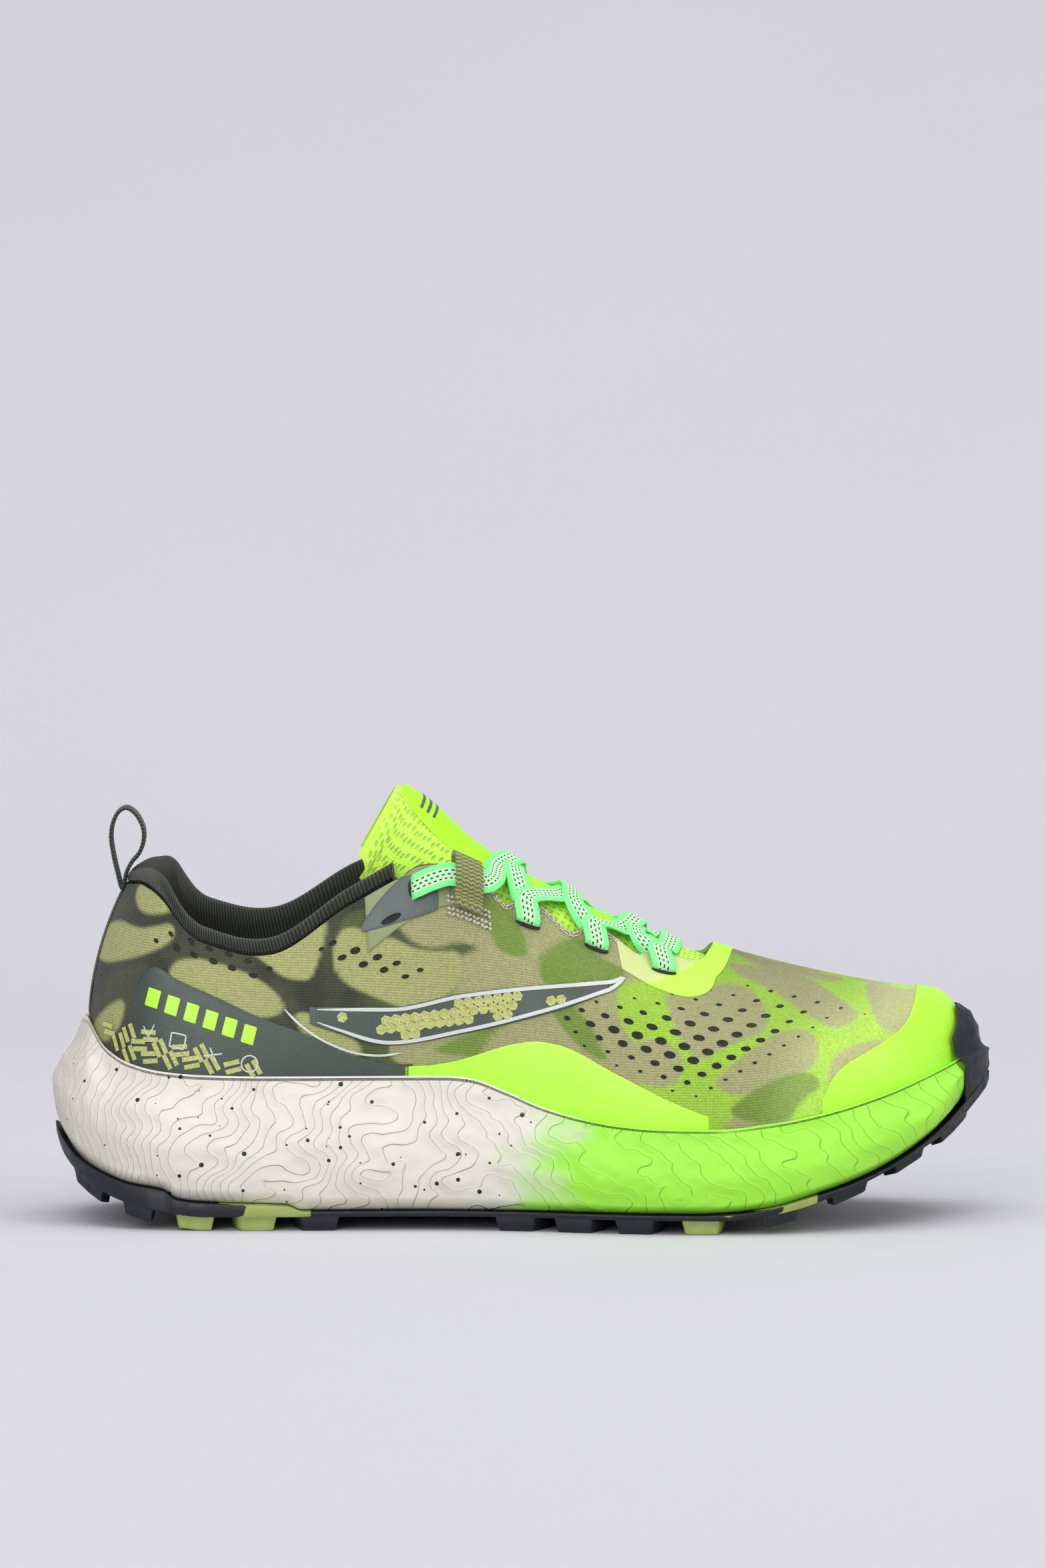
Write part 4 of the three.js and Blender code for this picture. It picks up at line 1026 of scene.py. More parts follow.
def studio_paint() -> bpy.types.Material:
    """Matt painted sweep of the studio, with the faintest roller texture."""
    look = Look("studio_paint_rolled")
    tone = look.blend(look.noise(260, 2), linear("#d9d8de"), linear(Paint.FLOOR.value))
    # Painted shade: the sweep is painted greyer toward the front, near the lamps that light it
    # most, so the whole sweep comes out evenly pale.
    place = look.node("ShaderNodeTexCoord").outputs["Object"]
    near = look.node("ShaderNodeSeparateXYZ", {0: place}).outputs["Y"]
    tone = look.blend(look.steps(near, -1.5, 1.3), linear("#bcbbc0"), tone)
    paint = look.finish(tone, 0.75, look.relief(look.noise(2.5, 2), 0.02),
                        Specular_IOR_Level=0.15)
    # From behind or below the sweep is clear, so that it never hides the shoe.
    clear = look.node("ShaderNodeBsdfTransparent").outputs[0]
    behind = look.node("ShaderNodeNewGeometry").outputs["Backfacing"]
    either = look.node("ShaderNodeMixShader", {0: behind, 1: look.shader.outputs[0], 2: clear})
    look.tree.links.new(either.outputs[0], look.tree.nodes["Material Output"].inputs["Surface"])
    return paint


@dataclass(frozen=True)
class Finishes:
    """Every material of the scene, made once."""

    foam: bpy.types.Material
    rubber: bpy.types.Material
    knit: bpy.types.Material
    rib: bpy.types.Material
    lime: bpy.types.Material
    dark: bpy.types.Material
    slate: bpy.types.Material
    throat: bpy.types.Material
    tongue: bpy.types.Material
    face: bpy.types.Material
    lace: bpy.types.Material
    webbing: bpy.types.Material
    keeper: bpy.types.Material
    thread: bpy.types.Material
    netting: bpy.types.Material
    print: bpy.types.Material
    sand: bpy.types.Material
    board: bpy.types.Material
    cloth: bpy.types.Material
    aglet: bpy.types.Material
    floor: bpy.types.Material


def make_finishes() -> Finishes:
    """Build every material."""
    return Finishes(
        foam=moulded_foam(),
        rubber=moulded_rubber(),
        knit=engineered_knit(),
        rib=ribbed_knit(),
        lime=welded_film("polyurethane_film_lime", ("#aef536", Paint.FILM_LIME.value), 0.34),
        dark=welded_film("polyurethane_film_dark", ("#38433b", Paint.FILM_DARK.value), 0.4),
        slate=welded_film("polyurethane_film_slate", ("#4c5552", Paint.FILM_SLATE.value), 0.4),
        throat=painted_film(),
        tongue=spacer_mesh(),
        face=welded_film("polyurethane_film_tongue", ("#a4f714", Paint.TONGUE_FACE.value), 0.42),
        lace=woven_lace(),
        webbing=woven_webbing("polyester_webbing_olive", "#1f221b", "#444a3b", 1.2),
        keeper=woven_webbing("polyester_webbing_khaki", "#5f6338", "#a0a468", 1.3),
        thread=fibre("polyester_thread", "#b9b8a2", Paint.THREAD.value, 0.3, 0.6),
        # Near-black fibre whose colour is painted shade in the holes and slots.
        netting=fibre("nylon_backing_net", "#14160f", "#2c3022", 0.5, 0.85),
        print=welded_film("silver_transfer_print", ("#bfc4c2", Paint.PRINT.value), 0.3),
        sand=fibre("polyester_knit_sand", "#a3a960", "#c3c982", 0.7, 0.85),
        board=fibre("cellulose_board_pressed", "#55534e", Paint.BOARD.value, 0.6, 0.9),
        cloth=fibre("polyester_sockliner_cloth", "#1c1e18", "#3a3e32", 0.6, 0.9),
        aglet=clear_plastic(),
        floor=studio_paint(),
    )


# ---------------------------------------------------------------------------------------------
# Print, outlines and copies
# ---------------------------------------------------------------------------------------------


def rounded(outline: Places, times: int = 2) -> Array:
    """Cut the corners of a closed outline."""
    points = np.asarray(outline, float)
    for _ in range(times):
        after = np.roll(points, -1, 0)
        points = np.stack([points * 0.75 + after * 0.25, points * 0.25 + after * 0.75], 1)
        points = points.reshape(-1, points.shape[-1])
    return points


def depth_in(points: Array, outline: Array) -> Array:
    """Distance of points inside a closed outline, negative outside it."""
    a, b = outline, np.roll(outline, -1, 0)
    edge = b - a
    reach = points[:, None, :] - a[None]
    t = np.clip((reach * edge).sum(-1) / np.maximum((edge**2).sum(-1), 1e-9), 0, 1)
    far = np.linalg.norm(reach - t[..., None] * edge, axis=-1).min(1)
    x, y = points[:, None, 0], points[:, None, 1]
    spans = (a[:, 1] > y) != (b[:, 1] > y)
    rise = np.where(edge[:, 1] == 0, 1e-9, edge[:, 1])
    hits = spans & (x < a[:, 0] + edge[:, 0] * (y - a[:, 1]) / rise)
    return np.where(hits.sum(1) % 2 == 1, far, -far)


@dataclass(frozen=True)
class Patch:
    """One printed patch of the camouflage, as place along the shoe and height."""

    paint: Paint
    outline: tuple[tuple[float, float], ...]


CAMOUFLAGE = (
    Patch(Paint.OLIVE, ((92, 93), (96, 101), (108, 103), (116, 96), (122, 91), (132, 93),
                        (141, 90), (131, 85), (121, 87), (114, 90), (106, 92), (97, 92))),
    Patch(Paint.SAND, ((26, 105), (28, 110), (37, 113), (41, 108), (41, 102), (36, 100),
                       (29, 100))),
    Patch(Paint.SAND, ((15, 90), (21, 98), (28, 95), (34, 96), (40, 97), (41, 92), (37, 89),
                       (32, 87), (26, 85), (15, 82))),
    Patch(Paint.SAND, ((39, 82), (43, 85), (50, 85), (57, 83), (64, 81), (71, 77), (75, 72),
                       (73, 69), (68, 68), (60, 69), (50, 72), (40, 76))),
    Patch(Paint.SAND, ((49, 92), (55, 90), (64, 89), (74, 90), (81, 92), (89, 99), (89, 90),
                       (86, 82), (84, 79), (80, 79), (75, 80), (71, 83), (66, 87), (58, 88))),
    Patch(Paint.SAND, ((95, 96), (104, 94), (111, 92), (117, 89), (124, 88), (133, 88),
                       (133, 80), (126, 74), (119, 69), (112, 71), (104, 74), (96, 77),
                       (92, 82), (92, 90))),
    Patch(Paint.SAND, ((12, 62), (17, 70), (24, 74), (22, 64), (17, 57))),
    Patch(Paint.SAND, ((77, 70), (85, 69), (94, 63), (101, 58), (99, 53), (89, 56), (80, 63))),
    Patch(Paint.KHAKI, ((111, 66), (124, 65), (131, 58), (122, 51), (111, 52), (108, 59))),
    Patch(Paint.KHAKI, ((110, 101), (123, 103), (124, 112), (133, 110), (140, 103), (147, 98),
                        (150, 93), (150, 87), (145, 88), (138, 89), (131, 91), (125, 89),
                        (118, 90), (112, 95))),
    Patch(Paint.KNIT_GREEN, ((139, 105), (144, 104), (149, 98), (153, 92), (154, 85), (145, 87),
                             (142, 93), (140, 99))),
    Patch(Paint.KNIT_GREEN, ((156, 86), (164, 91), (169, 93), (175, 86), (188, 80), (178, 77),
                             (166, 77), (158, 77))),
    Patch(Paint.KNIT_GREEN, ((156, 76), (150, 69), (145, 66), (138, 64), (130, 61), (121, 57),
                             (131, 55), (138, 54), (141, 61), (146, 66), (152, 71), (159, 76))),
    Patch(Paint.KNIT_GREEN, ((157, 78), (163, 77), (168, 71), (173, 65), (176, 59), (180, 53),
                             (171, 57), (164, 64), (159, 71))),
    Patch(Paint.KNIT_LIME, ((182, 78), (196, 78), (196, 72), (199, 68), (203, 63), (206, 58),
                            (216, 54), (224, 50), (222, 41), (212, 42), (203, 47), (197, 53),
                            (188, 59), (183, 65), (181, 70))),
    Patch(Paint.KHAKI, ((196, 75), (207, 77), (219, 77), (225, 75), (230, 68), (228, 63),
                        (218, 60), (212, 57), (207, 54), (203, 59), (199, 65))),
    Patch(Paint.KHAKI, ((230, 62), (237, 64), (243, 64), (246, 58), (245, 52), (239, 49),
                        (232, 46), (223, 43), (213, 45), (213, 49), (219, 54), (226, 59))),
    Patch(Paint.KHAKI, ((216, 83), (226, 81), (233, 80), (243, 78), (250, 74), (258, 69),
                        (256, 66), (250, 64), (244, 67), (237, 71), (231, 75), (222, 78))),
    Patch(Paint.KHAKI, ((260, 77), (271, 76), (280, 74), (279, 65), (274, 61), (268, 62),
                        (263, 66))),
    Patch(Paint.KHAKI, ((214, 89), (226, 86), (233, 83), (241, 82), (256, 79), (254, 76),
                        (240, 78), (226, 81))),
    Patch(Paint.KHAKI, ((249, 53), (253, 58), (260, 60), (269, 60), (264, 54), (257, 51),
                        (253, 47), (249, 40))),
    Patch(Paint.KHAKI, ((212, 33), (222, 40), (232, 42), (237, 39), (237, 32), (222, 29))),
    Patch(Paint.KHAKI, ((187, 60), (194, 62), (200, 59), (203, 54), (202, 48), (196, 45),
                        (189, 47), (185, 54))),
    Patch(Paint.KNIT_GREEN, ((215, 39), (226, 45), (233, 48), (243, 51), (248, 46), (241, 42),
                             (236, 35), (224, 35))),
)
TOE_FILM = ((279, 92), (278.5, 74), (277.4, 70.8), (275, 65.6), (271.5, 61.9), (264.2, 57.7),
            (254.7, 53), (249.9, 48.8), (247.6, 44), (245.5, 37.9), (244, 25), (315, 25),
            (315, 92))


def camouflage(x: Array, z: Array, drift: float) -> tuple[Array, Array]:
    """Colours of the printed knit.

    Args:
        x: Places along the shoe.
        z: Heights.
        drift: Millimetres that this side's print is moved along, so that the sides differ.

    Returns:
        Linear RGBA colours, and how far the knit is frosted by the film behind the toe.
    """
    spots = np.stack([x.ravel() + drift, z.ravel()], -1)
    sway = 1.3 * np.sin(spots[:, 1] / 6.1) + 0.8 * np.sin(spots[:, 0] / 7.3 + 1)
    spots = spots + np.stack([0.5 * sway, -0.4 * sway], -1)
    base = np.array(linear(Paint.HEEL_DARK.value))[None].repeat(len(spots), 0)
    turns = ((Paint.OLIVE, 98, 108), (Paint.KHAKI, 126, 133), (Paint.KNIT_LIME, 196, 200))
    for paint, low, high in turns:
        amount = smooth(spots[:, 0] - 0.25 * (spots[:, 1] - 80), low, high)[:, None]
        base = mix(base, np.array(linear(paint.value)), amount)
    for patch in CAMOUFLAGE:
        outline = rounded(patch.outline)
        near = ((spots > outline.min(0) - 2) & (spots < outline.max(0) + 2)).all(1)
        edge = smooth(depth_in(spots[near], outline), -0.7, 0.7)[:, None]
        base[near] = mix(base[near], np.array(linear(patch.paint.value)), edge)
    real = np.stack([x.ravel(), z.ravel()], -1)
    frost = smooth(depth_in(real, np.array(TOE_FILM)), -25, -3) * 0.8
    pale = np.array(linear("#b4c878"))
    base = mix(base, pale, (frost * 0.3)[:, None])
    return base.reshape(*x.shape, 4), frost.reshape(x.shape)


@dataclass
class Copies:
    """Places for many copies of one small shape.

    Attributes:
        spots: Points, in millimetres.
        turns: Rotation matrices, whose columns are the copy's own axes.
        sizes: Scale along each of the copy's axes, in millimetres.
    """

    spots: list[Array] = field(default_factory=list)
    turns: list[Array] = field(default_factory=list)
    sizes: list[Sequence[float]] = field(default_factory=list)

    def put(self, spot: Array, ahead: Array, out: Array, size: Sequence[float]) -> None:
        """Add one copy.

        Args:
            spot: Where it stands.
            ahead: Direction of its first axis.
            out: Direction of its last axis.
            size: Scale along its axes.
        """
        out = unit(np.asarray(out, float))
        ahead = np.asarray(ahead, float)
        ahead = unit(ahead - out * float(ahead @ out))
        self.spots.append(np.asarray(spot, float))
        self.turns.append(np.stack([ahead, np.cross(out, ahead), out], -1))
        self.sizes.append(size)


def copies_group() -> bpy.types.NodeTree:
    """The node group that puts copies of a template on points.

    Returns:
        A group with the inputs Points, Template and Finish.
    """
    group = bpy.data.node_groups.new("Place copies", "GeometryNodeTree")
    face = group.interface
    face.new_socket("Points", in_out="INPUT", socket_type="NodeSocketGeometry")
    face.new_socket("Template", in_out="INPUT", socket_type="NodeSocketObject")
    face.new_socket("Finish", in_out="INPUT", socket_type="NodeSocketMaterial")
    face.new_socket("Copies", in_out="OUTPUT", socket_type="NodeSocketGeometry")

    def node(kind: str, inputs: Optional[dict] = None, **settings) -> bpy.types.Node:
        """Add a node with its settings and links."""
        made = group.nodes.new(kind)
        for key, value in settings.items():
            setattr(made, key, value)
        for key, value in (inputs or {}).items():
            if isinstance(value, bpy.types.NodeSocket):
                group.links.new(value, made.inputs[key])
            else:
                made.inputs[key].default_value = value
        return made

    start = node("NodeGroupInput")
    shape = node("GeometryNodeObjectInfo", {"Object": start.outputs["Template"]})
    turn = node("GeometryNodeInputNamedAttribute", {"Name": "turn"}, data_type="FLOAT_VECTOR")
    size = node("GeometryNodeInputNamedAttribute", {"Name": "size"}, data_type="FLOAT_VECTOR")
    rotation = node("FunctionNodeEulerToRotation", {0: turn.outputs[0]})
    points = node("GeometryNodeMeshToPoints", {"Mesh": start.outputs["Points"]})
    placed_on = node("GeometryNodeInstanceOnPoints", {
        "Points": points.outputs[0], "Instance": shape.outputs["Geometry"],
        "Rotation": rotation.outputs[0], "Scale": size.outputs[0]})
    real = node("GeometryNodeRealizeInstances", {0: placed_on.outputs[0]})
    painted = node("GeometryNodeSetMaterial", {"Geometry": real.outputs[0],
                                               "Material": start.outputs["Finish"]})
    node("NodeGroupOutput", {0: painted.outputs[0]})
    return group


def set_input(modifier: bpy.types.Modifier, name: str, value: object) -> None:
    """Set a Geometry Nodes modifier's input by the name of its socket."""
    for item in modifier.node_group.interface.items_tree:
        if item.item_type == "SOCKET" and item.in_out == "INPUT" and item.name == name:
            modifier[item.identifier] = value


def scatter(name: str, copies: Copies, template: bpy.types.Mesh,
            finish: bpy.types.Material) -> bpy.types.Object:
    """Make one object of many copies of a template.

    Args:
        name: Name of the piece.
        copies: Where they stand.
        template: The shape, one unit in size.
        finish: Material of the copies.

    Returns:
        The linked object, a plain mesh.
    """
    mesh = bpy.data.meshes.new(name + "_points")
    mesh.from_pydata(placed(np.array(copies.spots)).tolist(), [], [])
    turns = [tuple(Matrix(turn.tolist()).to_euler("XYZ")) for turn in copies.turns]
    for key, rows in (("turn", turns), ("size", np.array(copies.sizes, float) * MM)):
        layer = mesh.attributes.new(key, "FLOAT_VECTOR", "POINT")
        layer.data.foreach_set("vector", np.asarray(rows, np.float32).ravel())
    points = link(name + "_points", mesh)
    shape = link(name + "_template", template)
    modifier = points.modifiers.new("Place copies", "NODES")
    modifier.node_group = bpy.data.node_groups.get("Place copies") or copies_group()
    set_input(modifier, "Template", shape)
    set_input(modifier, "Finish", finish)
    points.update_tag()
    seen = points.evaluated_get(bpy.context.evaluated_depsgraph_get())
    made = bpy.data.meshes.new_from_object(seen)
    for helper in (points, shape):
        bpy.data.objects.remove(helper)
    made.name = name
    made.shade_smooth()
    made.set_sharp_from_angle(angle=math.radians(45))
    return link(name, made)


def template_mesh(name: str, rings: Sequence[tuple[float, float]], sides: int,
                  squash: float = 1, start: float = 0) -> bpy.types.Mesh:
    """A small shape of rings round the third axis, one unit across.

    Args:
        name: Name of the mesh.
        rings: Radius and height of each ring, from the rim in.
        sides: Corners of each ring.
        squash: Width of the rings across the first axis.
        start: Turn of the first corner, in turns.

    Returns:
        The mesh, closed over by its last ring.
    """
    angles = (np.arange(sides) / sides + start) * 2 * math.pi
    points = [[r * math.cos(a) / 2, r * math.sin(a) / 2 * squash, z]
              for r, z in rings for a in angles]
    faces = [[r * sides + i, r * sides + (i + 1) % sides, (r + 1) * sides + (i + 1) % sides,
              (r + 1) * sides + i] for r in range(len(rings) - 1) for i in range(sides)]
    faces.append([(len(rings) - 1) * sides + i for i in range(sides)])
    mesh = bpy.data.meshes.new(name)
    mesh.from_pydata(points, [], faces)
    return mesh


def stitch_mesh(name: str) -> bpy.types.Mesh:
    """One stitch: a thread that rises from the cloth and dips back, one unit long."""
    sides = 6
    rows = [(-0.5, -0.35, 0.6), (-0.36, 0.25, 1), (-0.12, 0.5, 1), (0.12, 0.5, 1),
            (0.36, 0.25, 1), (0.5, -0.35, 0.6)]
    angles = np.arange(sides) / sides * 2 * math.pi
    points = [[x, math.cos(a) * width / 2, lift + math.sin(a) * width / 2]
              for x, lift, width in rows for a in angles]
    faces = [[r * sides + i, r * sides + (i + 1) % sides, (r + 1) * sides + (i + 1) % sides,
              (r + 1) * sides + i] for r in range(len(rows) - 1) for i in range(sides)]
    faces.append(list(range(sides))[::-1])
    faces.append([(len(rows) - 1) * sides + i for i in range(sides)])
    mesh = bpy.data.meshes.new(name)
    mesh.from_pydata(points, [], [face[::-1] for face in faces])
    return mesh


def stitched(name: str, path: Array, out: Array, pitch: float, width: float,
             finish: bpy.types.Material, zigzag: float = 0) -> bpy.types.Object:
    """Stitches along a path.

    Args:
        name: Name of the piece.
        path: Points of the path.
        out: Outward direction at each point.
        pitch: Millimetres from one stitch to the next.
        width: Thickness of the thread.
        finish: Material of the thread.
        zigzag: How far every other stitch leans, in degrees.

    Returns:
        The linked object.
    """
    copies = Copies()
    add_stitches(copies, path, out, pitch, width, zigzag)
    return scatter(name, copies, stitch_mesh(name + "_stitch"), finish)


def add_stitches(copies: Copies, path: Array, out: Array, pitch: float, width: float,
                 zigzag: float = 0) -> None:
    """Add stitches along one path to a set of copies, with the arguments of stitched."""
    length = np.linalg.norm(np.diff(path, axis=0), axis=1).sum()
    count = max(2, round(length / pitch))
    both = np.concatenate([path, out], 1)
    runs = np.concatenate([[0], np.cumsum(np.linalg.norm(np.diff(path, axis=0), axis=1))])
    where = np.linspace(0, runs[-1], count + 1)
    rows = np.stack([np.interp(where, runs, column) for column in both.T], -1)
    for i in range(count):
        here = (rows[i] + rows[i + 1]) / 2
        ahead, up = rows[i + 1, :3] - rows[i, :3], unit(here[3:])
        lean = math.radians(zigzag) * (1 if i % 2 else -1)
        ahead = ahead * math.cos(lean) + np.cross(up, ahead) * math.sin(lean)
        copies.put(here[:3] + up * width * 0.1, ahead, up, (pitch * 0.92, width, width))


# ---------------------------------------------------------------------------------------------
# Sole
# ---------------------------------------------------------------------------------------------


def perimeter(k: Array) -> Array:
    """Millimetres round the outline from the back of the heel, the shorter way."""
    fine = np.linspace(0, ROWS, 1361)
    runs = np.linalg.norm(np.diff(LAST.outline(fine), axis=0), axis=1)
    total = np.concatenate([[0], np.cumsum(runs)])
    here = np.interp(np.mod(k, ROWS), fine, total)
    return np.minimum(here, total[-1] - here)


def waves(x: Array, z: Array, scale: float, seed: float) -> Array:
    """Smooth waves from about -1 to 1, the same on every run."""
    total = np.zeros(np.broadcast(x, z).shape)
    for i in range(5):
        angle = seed + 2.4 * i
        run = (x * math.cos(angle) + z * math.sin(angle) * 1.6) * (1 + 0.42 * i) / scale
        total = total + np.sin(run * 2 * math.pi + seed * 3 + i * 1.7) / (1 + 0.5 * i)
    return total / 2.2


@dataclass(frozen=True)
class SoleSize:
    """Fineness and relief of the sole."""

    columns: int = 680
    levels: int = 58
    relief: float = 0.34
    spray_from: float = 142
    spray_to: float = 172
    edge_lugs: tuple[float, ...] = (3.7, 9.3, 15.6, 22.2, 28.8, 49, 55.1, 61.5, 68.6, 77, 84.6,
                                    91.2, 96.2)
    centre_lugs: tuple[float, ...] = (8.5, 15.5, 22.5, 52, 58.5, 65, 72, 79.3, 86.5, 92.5)
    olive_lugs: tuple[float, ...] = (15.6, 15.5, 22.2, 68.6, 65, 92.5)


class Sole:
    """Foam midsole, rubber outsole with its lugs, and toe bumper."""

    spacing = Profile((0, 3.4), (40, 3.2), (90, 4.6), (150, 6.5), (210, 9.5), (290, 8), (370, 6))
    lean = Profile((0, 0.03), (50, -0.03), (95, -0.12), (140, -0.02), (200, 0.12), (300, 0.1),
                   (370, 0.02))
    ripples = Profile((0, 1.1), (60, 1.5), (110, 1.9), (160, 1.3), (230, 0.75), (370, 0.4))

    def __init__(self, finishes: Finishes, size: SoleSize = SoleSize()) -> None:
        """Keep the finishes and the size."""
        self.finishes = finishes
        self.size = size

    def build(self) -> None:
        """Make the sole's pieces."""
        coat(settle(self.midsole(), Body.SHOE, "foam", "midsole"), self.finishes.foam)
        coat(settle(self.outsole(), Body.SHOE, "rubber", "outsole"), self.finishes.rubber)

    def terraces(self, k: Array, z: Array) -> Array:
        """Number of the contour line at each point of the wall, rising along the shoe."""
        fine = np.linspace(0, 420, 421)
        count = np.concatenate([[0], np.cumsum(1 / self.spacing(fine[1:]))])
        run = perimeter(k)
        place = LAST.outline(k)
        bend = self.ripples(run) * waves(place[..., 0] + 0.5 * place[..., 1], z, 46, 0.7)
        fine_bend = 0.3 * waves(place[..., 0] - place[..., 1], z, 17, 2.1)
        return np.interp(run, fine, count) + self.lean(run) * (z - 26) + bend + fine_bend

    def midsole(self) -> bpy.types.Object:
        """The foam: a carved wall, a rounded lip and the footbed inside it."""
        k = np.arange(self.size.columns) * ROWS / self.size.columns
        row = from_heel(k)
        foam, rim = LAST.foam_inset(row), LAST.rim_inset(row)
        knots = np.array([0, 0.1, 0.36, 0.62, 0.86, 1])
        insets = np.stack([foam + 4.5, foam + 1.2, foam, np.maximum(foam, rim * 0.28),
                           np.maximum(foam, rim * 0.8), rim], -1)
        levels = np.concatenate([[0, 0.02, 0.05], spaced(0.08, 0.985, self.size.levels)])
        inset = np.stack([Profile(*zip(knots, line))(levels) for line in insets], 0)
        points = LAST.outline(k[None], inset.T)
        s = share(points[..., 0])
        level = levels[:, None]
        points[..., 2] = SIZE.foam + mix(LAST.rubber_top(s), LAST.rim_height(s) - 0.7 * level,
                                         level)
        lines = self.terraces(k[None], points[..., 2])
        part = np.mod(lines, 1)
        carve = part**1.6 - smooth(part, 0.86, 1.0)
        fade = smooth(level, 0.02, 0.12) * (1 - smooth(level, 0.9, 0.985))
        carve = self.size.relief * (carve - 0.4) * fade
        points = points + self.outward(k)[None] * carve[..., None]
        rows = [points, *self.lip(k)]
        full = np.concatenate(rows)
        extra = len(full) - len(points)
        terrace = np.concatenate([lines, np.repeat(lines[-1:] * 0 + 0.3, extra, 0)])
        rag = 7 * waves(full[..., 0], full[..., 2], 30, 1.3) - 0.35 * (full[..., 2] - 22)
        spray = smooth(full[..., 0] + rag, self.size.spray_from, self.size.spray_to)
        shell = Shell(full, {"terrace": terrace, "spray": spray}, cap=Cap.RUNGS)
        return solid("foam_midsole", [shell], 60)

    def outward(self, k: Array) -> Array:
        """Level directions out of the outline."""
        return unit(LAST.outline(k, 0) - LAST.outline(k, 1))

    def lip(self, k: Array) -> list[Array]:
        """Rings over the rounded lip, down its inside and out to the footbed."""
        rim = LAST.rim_inset(from_heel(k))
        rings = []
        for turn in spaced(0.12, 1, 7):
            angle = turn * math.pi
            inset = rim + SIZE.rim_wall * 0.5 * (1 - math.cos(angle))
            ring = LAST.outline(k, inset)
            ring[:, 2] = LAST.rim_height(share(ring[:, 0])) + SIZE.foam - 0.7
            ring[:, 2] += 0.8 * math.sin(angle)
            rings.append(ring[None])
        for drop in (0.5, 1):
            ring = LAST.outline(k, rim + SIZE.rim_wall)
            s = share(ring[:, 0])
            low = LAST.bed_height(s)
            ring[:, 2] = SIZE.foam + mix(LAST.rim_height(s) - 0.6, low, drop)
            rings.append(ring[None])
        return rings

    def under(self, s: Array) -> Array:
        """Height of the rubber sheet's underside."""
        return LAST.tread_line(s) + SIZE.lug * LAST.lug_depth(s)

    def outsole(self) -> bpy.types.Object:
        """The rubber sheet with its lugs and the bumper over the toe."""
        shells = [self.plate(), self.bumper()]
        for s in self.size.edge_lugs:
            shells += [self.edge_lug(s, side) for side in Side]
        shells += [self.centre_lug(s) for s in self.size.centre_lugs]
        return solid("rubber_outsole", shells, 35)

    def plate(self) -> Shell:
        """The rubber sheet, with a rounded rim that laps up the foam."""
        k = np.arange(self.size.columns) * ROWS / self.size.columns
        foam = LAST.foam_inset(from_heel(k))
        slack = Profile((78, 0), (84, 0.3), (92, 0.7), (100, 0.9))

        def top(s: Array) -> Array:
            return LAST.rubber_top(s) + SIZE.foam - SIZE.gap - slack(s)

        levels = [
            (3.6 + 0 * foam, self.under),
            (1.6 + 0 * foam, lambda s: self.under(s) + 0.12),
            (1.15 + 0 * foam, lambda s: self.under(s) + 0.7),
            (0.95 + 0 * foam, lambda s: np.maximum(top(s) - 0.5, self.under(s) + 1)),
            (1.15 + 0 * foam, lambda s: np.maximum(top(s) - 0.15, self.under(s) + 1.05)),
            (foam + 2.2, lambda s: top(s) - 0.3),
            (foam + 4.5, top),
        ]
        rings = []
        for inset, height in levels:
            ring = LAST.outline(k, inset)
            ring[:, 2] = height(share(ring[:, 0]))
            rings.append(ring)
        points = np.stack(rings)
        inlay = self.inlay(points)
        return Shell(points, {"inlay": inlay}, cap=Cap.RUNGS)

    def inlay(self, points: Array) -> Array:
        """Where the sheet is olive: camouflage patches under the heel and the forefoot."""
        x, y = points[..., 0], points[..., 1]
        patches = waves(x, y, 60, 4.2)
        where = smooth(x, 46, 52) * (1 - smooth(x, 80, 88)) + smooth(x, 190, 200) * (
            1 - smooth(x, 240, 250))
        return smooth(patches, 0.1, 0.3) * where

    def lug(self, corners: Array, olive: bool) -> Shell:
        """One lug: rounded corners, a chamfered foot and flanks that flare to the sheet.

        Args:
            corners: Its four corners on the ground, in turn.
            olive: Whether it is moulded in the inlay's colour.

        Returns:
            The lug's shell.
        """
        centre = corners.mean(0)
        after, before = np.roll(corners, -1, 0), np.roll(corners, 1, 0)
        outline = []
        for corner, ahead, behind in zip(corners, after, before):
            cut_in, cut_out = unit(behind - corner) * 1.1, unit(ahead - corner) * 1.1
            outline += [corner + cut_in, corner + (cut_in + cut_out) * 0.3, corner + cut_out]
            outline.append((corner + ahead) / 2)
        outline = np.array(outline)
        levels = ((0.5, 0.0), (0.8, 0.0), (0.87, 0.35), (0.9, 1.3), (0.93, 2.2), (1.03, 9.0))
        rings = []
        for scale, lift in levels:
            flat = centre + (outline - centre) * scale
            s = share(flat[:, 0])
            ceiling = self.under(s) + 0.5
            z = np.minimum(LAST.tread_line(s) + lift, ceiling)
            rings.append(np.column_stack([flat, z]))
        points = np.stack(rings)
        return Shell(points, {"inlay": np.full(points.shape[:2], float(olive))}, cap=Cap.RUNGS)

    def edge_lug(self, s: float, side: Side) -> Shell:
        """A lug on the sole's edge."""
        half = 1.7 if s < 12 or s > 90 else 2.05
        depth = 10 if s > 94 or s < 5 else 14
        skew = -1 if s < 40 else 1

        def at(place: float, inset: float) -> Array:
            return LAST.outline(LAST.station_at(along(place), side), inset)[:2]

        return self.lug(np.array([at(s - half, 1.6), at(s + half, 1.6),
                                  at(s + half + skew, depth), at(s - half + skew, depth)]),
                        s in self.size.olive_lugs)

    def centre_lug(self, s: float) -> Shell:
        """A lug in the middle of the tread."""
        x, half = float(along(s)), float(along(1.9))
        edges = [LAST.outline(LAST.station_at(x, side))[1] for side in Side]
        y, wide = sum(edges) / 2, 9 if s < 40 else 13
        corners = np.array([[x - half, y - wide], [x + half, y - wide], [x + half, y + wide],
                            [x - half, y + wide]])
        return self.lug(corners, s in self.size.olive_lugs)

